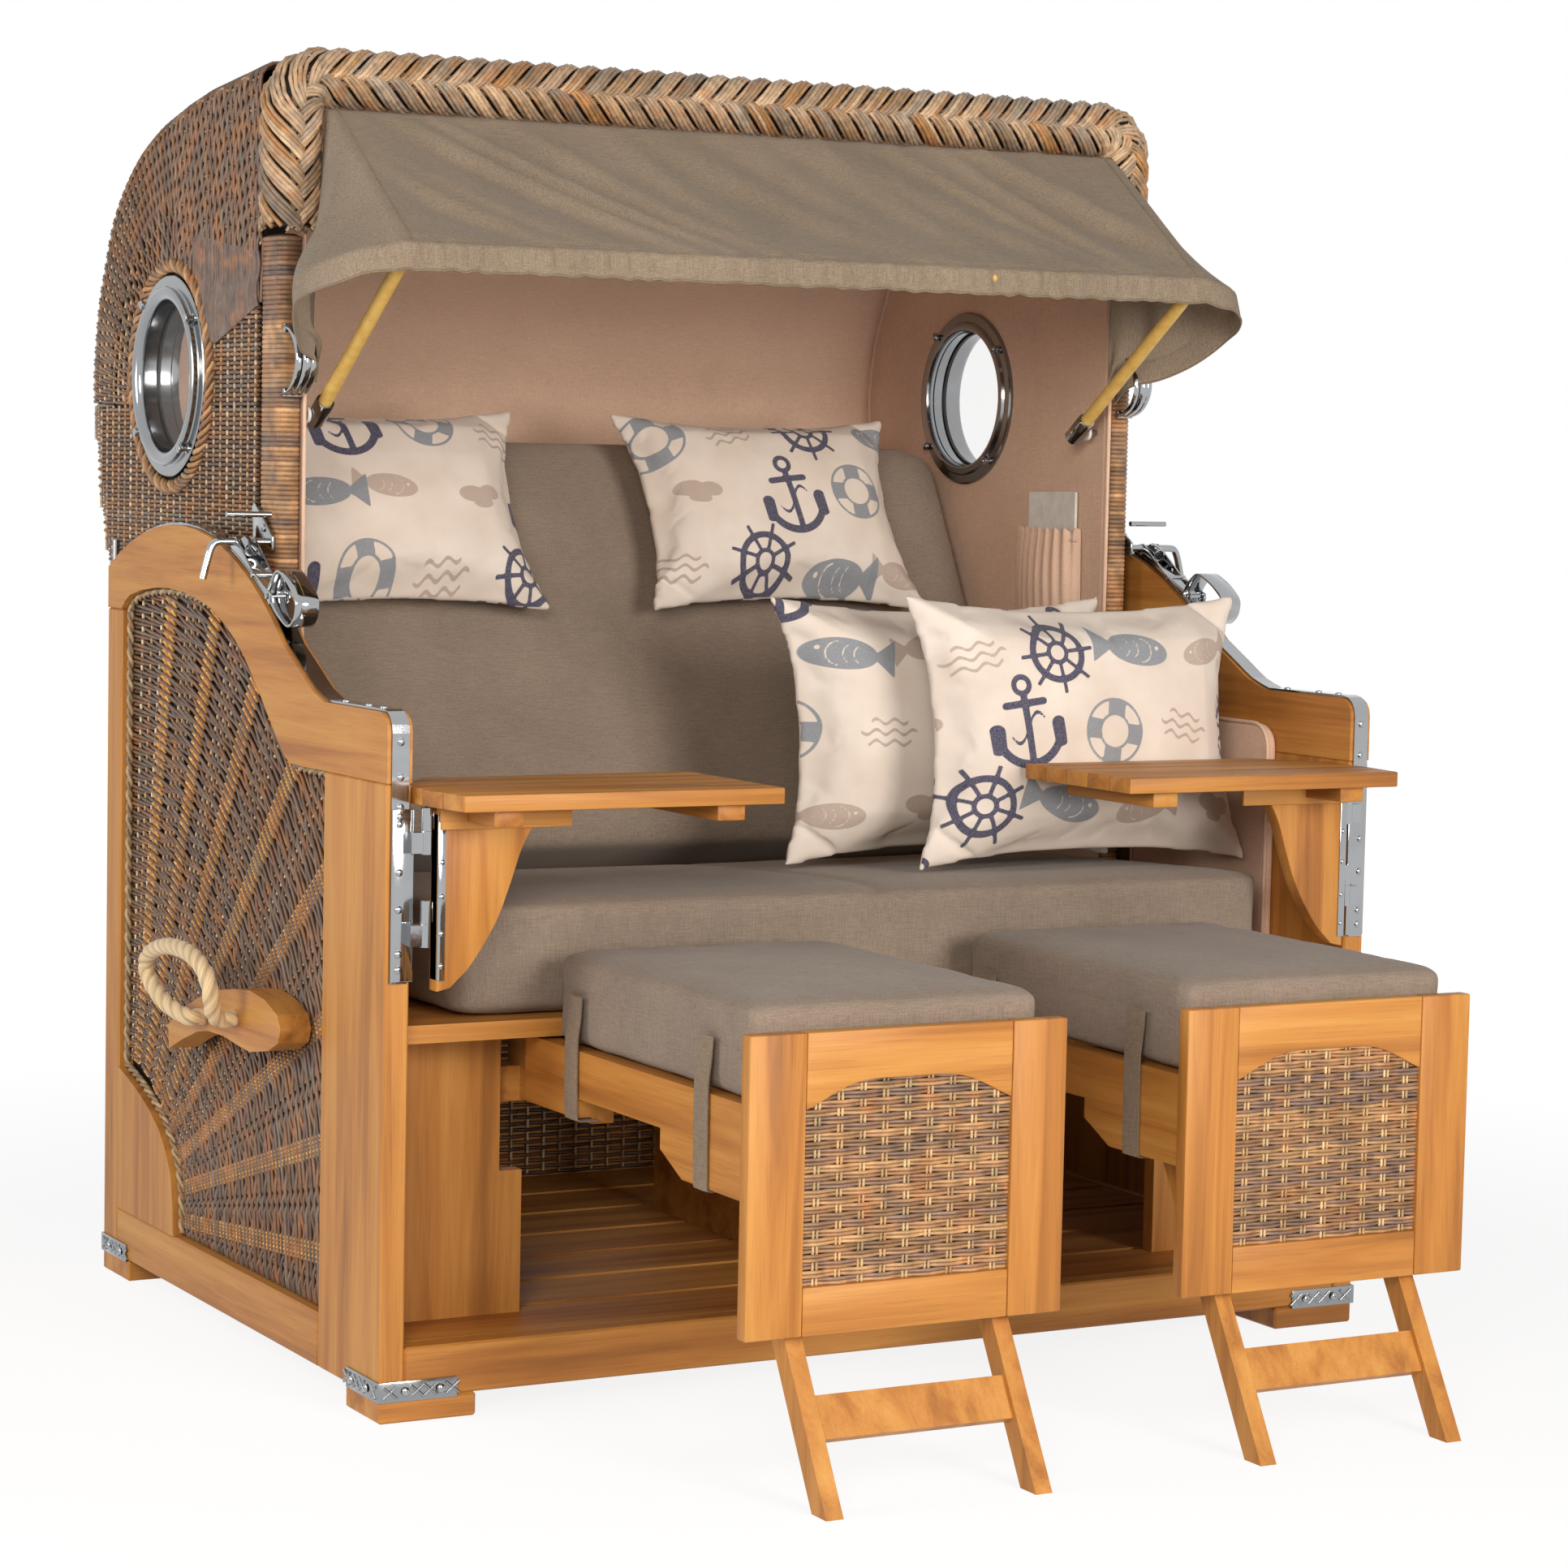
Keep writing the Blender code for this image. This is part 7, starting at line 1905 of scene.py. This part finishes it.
def fill_cushion(item, pressure, cap):
    """Puts cloth under air pressure; run_simulations() lets all of them settle together."""
    cloth = item.modifiers.new("filling", "CLOTH")
    cloth.settings.quality = 6
    cloth.settings.mass = 0.35
    cloth.settings.tension_stiffness = 12.0
    cloth.settings.compression_stiffness = 12.0
    cloth.settings.shear_stiffness = 4
    cloth.settings.bending_stiffness = 0.6
    cloth.settings.use_pressure = True
    cloth.settings.uniform_pressure_force = pressure
    cloth.settings.effector_weights.gravity = 0
    cloth.point_cache.frame_start = 1
    cloth.point_cache.frame_end = SETTLED
    SOFT.append((item, cap))


def run_simulations():
    """Lets the filled covers settle and keeps each point within its cover's cap."""
    scene = bpy.context.scene
    scene.frame_start, scene.frame_end = 1, SETTLED
    for number in range(1, SETTLED + 1):
        scene.frame_set(number)
    graph = bpy.context.evaluated_depsgraph_get()
    results = []
    for item, cap in SOFT:
        settled = item.evaluated_get(graph).to_mesh()
        values = np.empty(len(settled.vertices) * 3)
        settled.vertices.foreach_get("co", values)
        start = positions(item)
        move = values.reshape(-1, 3) - start
        far = np.linalg.norm(move, axis=1)[:, None]
        move *= cap * np.tanh(far / cap) / np.maximum(far, 1e-9)
        results.append((item, start + move))
    for item, places in results:
        item.modifiers.clear()
        set_positions(item, places)
    scene.frame_set(1)


def refined(item):
    """Rounds a cover off by one step of subdivision."""
    finer = item.modifiers.new("finer", "SUBSURF")
    finer.levels = 1
    finer.render_levels = 1
    return made_plain(item)


def finish_soft(item, body, node, material):
    """Dresses a settled cover and sets it down on its body."""
    item.data.materials.clear()
    item.data.materials.append(material)
    refined(item)
    item.data.shade_smooth()
    set_down(item, body, [node])


# Print of the pillows: anchors and helms in navy, rings and fish in grey-blue, waves and pebbles in taupe

def bar(u, v, start, end, half):
    """Distance to a bar between two points, negative inside it."""
    start, end = np.array(start), np.array(end)
    run = end - start
    share = np.clip(((u - start[0]) * run[0] + (v - start[1]) * run[1]) / (run @ run), 0, 1)
    return np.hypot(u - start[0] - share * run[0], v - start[1] - share * run[1]) - half


def anchor(u, v):
    """Anchor with a rope round its shank."""
    shape = bar(u, v, (0, -0.040), (0, 0.030), 0.0036)
    shape = np.minimum(shape, bar(u, v, (-0.021, 0.021), (0.021, 0.021), 0.0036))
    shape = np.minimum(shape, np.abs(np.hypot(u, v - 0.040) - 0.0085) - 0.0027)
    arms = np.abs(np.hypot(u, v + 0.006) - 0.0350) - 0.0042
    shape = np.minimum(shape, np.maximum(arms, v + 0.016))
    for side in (-1, 1):
        fluke = bar(u, v, (side * 0.0345, -0.020), (side * 0.0335, -0.004), 0.0075)
        shape = np.minimum(shape, np.maximum(fluke, np.abs(u) - 0.0400))
    rope = np.abs(v + 0.004 - 0.0145 * np.sin(u / 0.0075)) - 0.0018
    return np.minimum(shape, np.maximum(rope, np.abs(u) - 0.020))


def helm(u, v):
    """Steering wheel with eight spokes."""
    reach, turn = np.hypot(u, v), np.arctan2(v, u)
    shape = np.minimum(np.abs(reach - 0.033) - 0.0040, np.abs(reach - 0.012) - 0.0026)
    wrapped = (turn + math.pi / 8) % (math.pi / 4) - math.pi / 8
    spoke = np.maximum(np.abs(reach * np.sin(wrapped)) - 0.0022, np.maximum(reach - 0.050, 0.011 - reach))
    return np.minimum(shape, spoke)


def life_ring(u, v):
    """Ring with four filled bands."""
    reach, turn = np.hypot(u, v), np.arctan2(v, u)
    outline = np.minimum(np.abs(reach - 0.041) - 0.0016, np.abs(reach - 0.022) - 0.0016)
    wrapped = (turn + math.pi / 4) % (math.pi / 2) - math.pi / 4
    fill = np.maximum(np.abs(reach - 0.0315) - 0.0092, np.abs(reach * wrapped) - 0.0130)
    return np.minimum(outline, fill)


def fish(u, v):
    """Fish with an eye, a gill and two scales."""
    body = (np.sqrt((u / 0.041) ** 2 + (v / 0.0185) ** 2) - 1) * 0.0185
    tail = np.maximum(np.abs(v) + (u + 0.034) * 0.8, -(u + 0.062))
    shape = np.minimum(body, np.maximum(tail, u + 0.034))
    shape = np.maximum(shape, 0.0028 - np.hypot(u - 0.026, v - 0.005))
    gill = np.abs(np.hypot(u - 0.004, v) - 0.014) - 0.0010
    shape = np.maximum(shape, -np.maximum(gill, 0.004 - u))
    for row in (-0.018, -0.006):
        scale = np.abs(np.hypot(u - row + 0.006, v) - 0.012) - 0.0009
        shape = np.maximum(shape, -np.maximum(scale, row - u))
    return shape


def waves(u, v):
    """Three wavy lines."""
    shape = np.full(u.shape, 1.0)
    for row, half in ((0.013, 0.024), (0, 0.036), (-0.013, 0.028)):
        line = np.abs(v - row - 0.0032 * np.sin(2 * math.pi * u / 0.024)) - 0.0019
        shape = np.minimum(shape, np.maximum(line, np.abs(u) - half))
    return shape


def pebbles(u, v):
    """Three flat pebbles."""
    shape = np.full(u.shape, 1.0)
    for place, wide, high in (((-0.014, 0.002), 0.019, 0.011), ((0.012, 0.005), 0.015, 0.010),
                              ((0.000, -0.010), 0.014, 0.007)):
        reach = np.sqrt(((u - place[0]) / wide) ** 2 + ((v - place[1]) / high) ** 2)
        shape = np.minimum(shape, (reach - 1) * high)
    return shape


MOTIFS = (("navy_ink", anchor, 1.18), ("slate_ink", life_ring, 0.95), ("taupe_ink", waves, 1.0),
          ("navy_ink", helm, 1.0), ("slate_ink", fish, 1.05), ("taupe_ink", fish, 0.85), ("taupe_ink", pebbles, 1.0))


def print_cotton(item, centre, turn, seed):
    """Stores how far each point of the cover lies from each ink's shapes."""
    random = np.random.default_rng(seed)
    local = (positions(item) - np.array(centre)) @ np.array(turn.to_3x3())
    across, up = local[:, 0] + np.where(local[:, 1] > 0, 0.037, 0.0), local[:, 2]
    inks = {name: np.full(len(local), 1.0) for name in ("navy_ink", "slate_ink", "taupe_ink")}
    order = 0
    for row, height in enumerate(np.arange(-0.20, 0.21, 0.098)):
        for column, place in enumerate(np.arange(-0.34, 0.35, 0.112)):
            ink, shape, size = MOTIFS[(3 * row + column + seed) % len(MOTIFS)]
            middle = (place + (0.056 if row % 2 else 0) + random.uniform(-0.010, 0.010),
                      height + random.uniform(-0.010, 0.010))
            lean = random.uniform(-0.35, 0.35) * (0.4 if shape is anchor else 1)
            u, v = across - middle[0], up - middle[1]
            u, v = ((u * math.cos(lean) + v * math.sin(lean)) / size,
                    (v * math.cos(lean) - u * math.sin(lean)) / size)
            if order % 3 == 1 and shape is fish:
                u = -u
            inks[ink] = np.minimum(inks[ink], shape(u, v) * size)
            order += 1
    for name, values in inks.items():
        store(item, name, values)


PILLOW_PLACES = []
for name, body, lean, seed in (("neck_pillow_left", "hood", RECLINE, 3), ("neck_pillow_right", "hood", RECLINE, 5),
                               ("throw_pillow_rear", "base", 8.0, 8), ("throw_pillow_front", "base", 8.0, 13)):
    cover = soft_copy(name, 0.0052, 3)
    turn = Matrix.Rotation(math.radians(-lean), 4, "X")
    places = positions(cover)
    centre = (places.min(axis=0) + places.max(axis=0)) / 2
    across = np.array(turn.to_3x3()).T @ np.array((0.0, 0.0, 1.0))
    off = places - centre
    places[:, 0] += off[:, 0] * 0.030
    places += np.outer(off @ across, across) * 0.030
    set_positions(cover, places)
    fill_cushion(cover, 5.0, 0.012)
    PILLOW_PLACES.append((cover, name, body, centre, turn, seed))

SEAT_COVER = soft_copy("seat_cushion", 0.010, 3, 0.001)
BACK_COVER = soft_copy("backrest_cushion", 0.011, 3, 0.002)
FOOT_COVERS = {label: soft_copy(f"footrest_cushion_{label}", 0.0075, 2, 0.0005) for label, _ in SIDES}
for cover in (SEAT_COVER, BACK_COVER, *FOOT_COVERS.values()):
    fill_cushion(cover, 4.0, 0.003)
run_simulations()


def settle(places, wrinkle, seed, flat_low=None):
    """Small lived-in creases and, where the cushion rests, a flat underside."""
    random = np.random.default_rng(seed)
    for _ in range(14):
        middle = places[random.integers(len(places))]
        way = random.normal(size=3)
        way /= np.linalg.norm(way)
        reach = random.uniform(0.05, 0.14)
        off = places - middle
        along = off @ way
        near = np.exp(-(np.linalg.norm(off, axis=1) / reach) ** 2)
        places = places + np.array((0, 0, 1)) * (wrinkle * near * np.cos(along / 0.012))[:, None]
    if flat_low is not None:
        places[:, 2] = np.maximum(places[:, 2], flat_low)
    return places


places = positions(SEAT_COVER)
seam = np.exp(-(places[:, 0] / 0.0070) ** 2)
upper = np.clip((places[:, 2] - 0.44) / 0.05, 0, 1)
places[:, 2] -= 0.0065 * seam * (places[:, 2] > 0.5)
places[:, 1] += 0.0050 * seam * (places[:, 1] < 0.075) * upper
places = settle(places, 0.0010, 91, 0.42885)
places[:, 1] = np.maximum(places[:, 1], 0.0405)
set_positions(SEAT_COVER, places)
finish_soft(SEAT_COVER, "base", "seat_cushion", CUSHION_CANVAS)

places = positions(BACK_COVER)
lean = math.radians(RECLINE)
local_front = (places[:, 1] - 0.598) * math.cos(lean) - (places[:, 2] - 0.556) * math.sin(lean)
seam = np.exp(-(places[:, 0] / 0.006) ** 2) * (local_front < 0.03)
places[:, 1] += 0.0045 * seam
places = settle(places, 0.0008, 92)
places[:, 0] = np.clip(places[:, 0], -0.5590, 0.5590)
set_positions(BACK_COVER, places)
finish_soft(BACK_COVER, "hood", "backrest_cushion", CUSHION_CANVAS)

for label, side in SIDES:
    cover = FOOT_COVERS[label]
    places = positions(cover)
    middle_height = np.exp(-((places[:, 2] - 0.462) / 0.0035) ** 2)
    off = places[:, 0] - side * FOOTREST_X
    wall = np.abs(off) > 0.165
    places[:, 0] -= np.sign(off) * 0.0016 * middle_height * wall
    places = settle(places, 0.0006, 93, 0.40485)
    places[:, 1] = np.maximum(places[:, 1], -0.4364)
    set_positions(cover, places)
    finish_soft(cover, f"footrest_{label}", f"footrest_cushion_{label}", CUSHION_CANVAS)
    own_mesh(cover)

for cover, name, body, centre, turn, seed in PILLOW_PLACES:
    refined(cover)
    print_cotton(cover, centre, turn, seed)
    cover.data.materials.clear()
    cover.data.materials.append(PRINT)
    cover.data.shade_smooth()
    set_down(cover, body, [name])


# Canopy

def canopy_edges():
    """Head along the hood's front edge, fold over the bow and hem under it, from left to right."""
    head = [(0.5560, 0.4525, 1.132), (0.5560, 0.4525, 1.215), (0.5530, 0.4480, 1.300), (0.5500, 0.4450, 1.380),
            (0.5460, 0.4440, 1.4440)]
    fold = [(0.5580, 0.4410, 1.154), (0.5660, 0.4200, 1.178), (0.6050, 0.3760, 1.194), (0.6370, 0.3020, 1.243),
            (0.6040, 0.2380, 1.268), (0.5440, 0.2190, 1.2830)]
    hem = [(0.5580, 0.4400, 1.128), (0.5670, 0.4150, 1.150), (0.6060, 0.3720, 1.166), (0.6400, 0.2980, 1.214),
           (0.6040, 0.2340, 1.240), (0.5440, 0.2185, 1.2520)]
    count, middle = 34, 170

    def whole(points, steps):
        line = even_line(curved(points, steps), 0.004)
        right = np.stack([np.interp(np.linspace(0, 1, count), np.linspace(0, 1, len(line)), line[:, axis])
                          for axis in range(3)], axis=1)
        left = right * (-1, 1, 1)
        share = np.linspace(0, 1, middle + 1)[1:-1, None]
        return np.vstack([left, left[-1] * (1 - share) + right[-1] * share, right[::-1]])
    return whole(head, 8), whole(fold, 10), whole(hem, 10), count


def make_canopy():
    """One sheet: creased in long slanting folds, drawn over the bow and puckered along its hem."""
    head, fold, hem, corner = canopy_edges()
    random = np.random.default_rng(101)
    rows, columns, turn = 52, len(head), 0.86
    down = np.linspace(0, 1, rows)[:, None]
    above = np.clip(down / turn, 0, 1)[:, :, None]
    below = np.clip((down - turn) / (1 - turn), 0, 1)[:, :, None]
    grid = head[None] * (1 - above) + fold[None] * (above - below) + hem[None] * below
    x = grid[:, :, 0]
    flat = np.clip((0.545 - np.abs(x)) / 0.09, 0, 1)
    flat = flat * flat * (3 - 2 * flat)
    taut = above[:, :, 0]
    sag = np.sin(math.pi * taut)
    height = -0.010 * sag * flat
    for number in range(13):
        place, reach = -0.56 + 0.085 * number + random.uniform(-0.03, 0.03), random.uniform(0.012, 0.040)
        across = x - place - random.uniform(0.12, 0.34) * (taut - 0.35)
        crease = np.exp(-(across / reach) ** 2) - 0.6 * np.exp(-((across + 1.6 * reach) / (1.5 * reach)) ** 2)
        height = height + random.uniform(0.0045, 0.0105) * flat * sag ** 0.7 * crease
    for _ in range(20):
        place, reach = random.uniform(-0.53, 0.53), random.uniform(0.005, 0.012)
        length = random.uniform(0.08, 0.26)
        top = random.choice((random.uniform(0.0, 0.25), random.uniform(0.75, 0.95)))
        across = x - place - random.uniform(-0.1, 0.4) * (taut - top)
        height = height + (random.uniform(-0.0035, 0.0035) * flat * np.exp(-((taut - top) / length) ** 2)
                           * np.exp(-(across / reach) ** 2))
    grid[:, :, 2] += height
    grid[:, :, 1] -= 0.4 * height
    flap = 1 - np.clip((0.560 - np.abs(x)) / 0.02, 0, 1)
    ripple = np.sin(2 * math.pi * (grid[:, :, 2] * 7.0 + 2.2 * down))
    grid[:, :, 0] += np.sign(x) * flap * np.sin(math.pi * down) * 0.0060 * ripple
    ripple = np.sin(2 * math.pi * (grid[:, :, 2] * 5.0 + down) + 1.0)
    grid[:, :, 1] += flap * np.sin(math.pi * down) * 0.0050 * ripple
    band = below[:, :, 0]
    pucker = sum(random.uniform(0.3, 1.0) * np.sin(2 * math.pi * (hem[:, 0] * random.uniform(8, 46)
                                                                    + random.uniform(0, 1))) for _ in range(9))
    straight = np.clip((0.60 - np.abs(hem[:, 0])) / 0.08, 0, 1)
    grid[:, :, 1] += 0.0019 * np.sin(math.pi * band ** 0.7) * pucker[None] * straight
    grid[:, :, 2] += 0.0007 * band * np.roll(pucker, 5)[None]
    grid[:, :, 2] -= 0.0030 * np.exp(-((down - turn + 0.015) / 0.011) ** 2) * straight
    cloth = piece("canopy_sheet", grid.reshape(-1, 3), grid_faces(rows, columns), CANOPY_CANVAS)
    outward(cloth, 0.0000001)
    if np.mean([polygon.normal.z for polygon in cloth.data.polygons]) < 0:
        cloth.data.flip_normals()
    thickened(cloth, 0.0014)
    cloth.data.shade_smooth()
    # The hem, fold and seam lines are thin raised strands; their darker colour is painted shade along the stitching.
    lines = [(grid[rows - 1], 1.0, 0), (grid[int(rows * turn) - 1], 0.5, 0.0004)]
    lines += [(grid[:int(rows * turn), number], 0.9, 0.0008) for number in (corner + 1, columns - corner - 2)]
    stitches = [(even_line(line, 0.006) + (0, -0.0004, rise), (0, -0.3, 1), girth, (1, 1, 1, 1))
                for line, girth, rise in lines]
    trim = strands("canopy_hem_and_seams", stitches, 0.0015, PIPING, sides=6)
    for item in (cloth, trim):
        item.data.transform(Matrix.Translation((0, BASE_FRONT, 0)))
    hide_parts("canopy_cloth")
    for item in (cloth, trim):
        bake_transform(item)


make_canopy()


# Seat fittings

def make_side_pads():
    """Thin quilted pads on the inner faces of the armrests, with a piped edge."""
    outline = [(0.1455, 0.4292), (0.1455, 0.700), *arc((0.1755, 0.700), 0.030, 180, 90, 6)[1:], (0.4395, 0.730),
               (0.4395, 0.4292)]
    for label, side in SIDES:
        pad = board(f"side_pad_cover_{label}", towards_inside(outline, 0.001), side * 0.6030, side * 0.6200,
                    "X", LINER_CLOTH, 0)
        bevelled(pad, 0.0065, 4, 50)
        made_plain(pad)
        smooth_look(pad, 60)
        set_down(pad, "base", [f"side_pad_{label}"])
        rim = np.array([*outline, outline[0]])
        line = even_line(np.hstack([np.full((len(rim), 1), side * 0.6046), rim]), 0.008)
        trim = strands(f"side_pad_piping_{label}", [(line[1:-1], (side, 0, 0), 1.0, (1, 1, 1, 1))], 0.0026,
                       LINER_CLOTH, sides=8)
        set_down(trim, "base", ())


def make_straps():
    """Canvas straps, 30 mm wide, that hold each footrest cushion to its rails."""
    for label, side in SIDES:
        middle, body = side * FOOTREST_X, f"footrest_{label}"
        parts = []
        for start, low in ((-0.345, 0.3045), (-0.042, 0.3285)):
            for edge in (-1, 1):
                profile = [(0.1788, 0.4630), (0.1800, 0.440), (0.1826, 0.4200), (0.1832, 0.4040), (0.1830, 0.3600),
                           (0.1824, low + 0.006), (0.1800, low - 0.0006), (0.1700, low - 0.0012),
                           (0.1580, low - 0.0012), (0.1560, low - 0.0008)]
                line = curved([(out, up, 0) for out, up in profile], 4)[:, :2]
                ring = []
                for out, up in line:
                    for width in np.linspace(-0.015, 0.015, 5):
                        bow = 0.0006 * math.cos(width / 0.015 * math.pi / 2)
                        ring.append((middle + edge * (out + bow), start + width, up))
                strap = outward(piece("strap", ring, grid_faces(len(line), 5), PIPING))
                parts.append(thickened(strap, 0.0016))
        straps = joined(f"footrest_straps_{label}", parts)
        smooth_look(straps, 50)
        set_down(straps, body, ())
        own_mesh(straps)


make_side_pads()
make_straps()
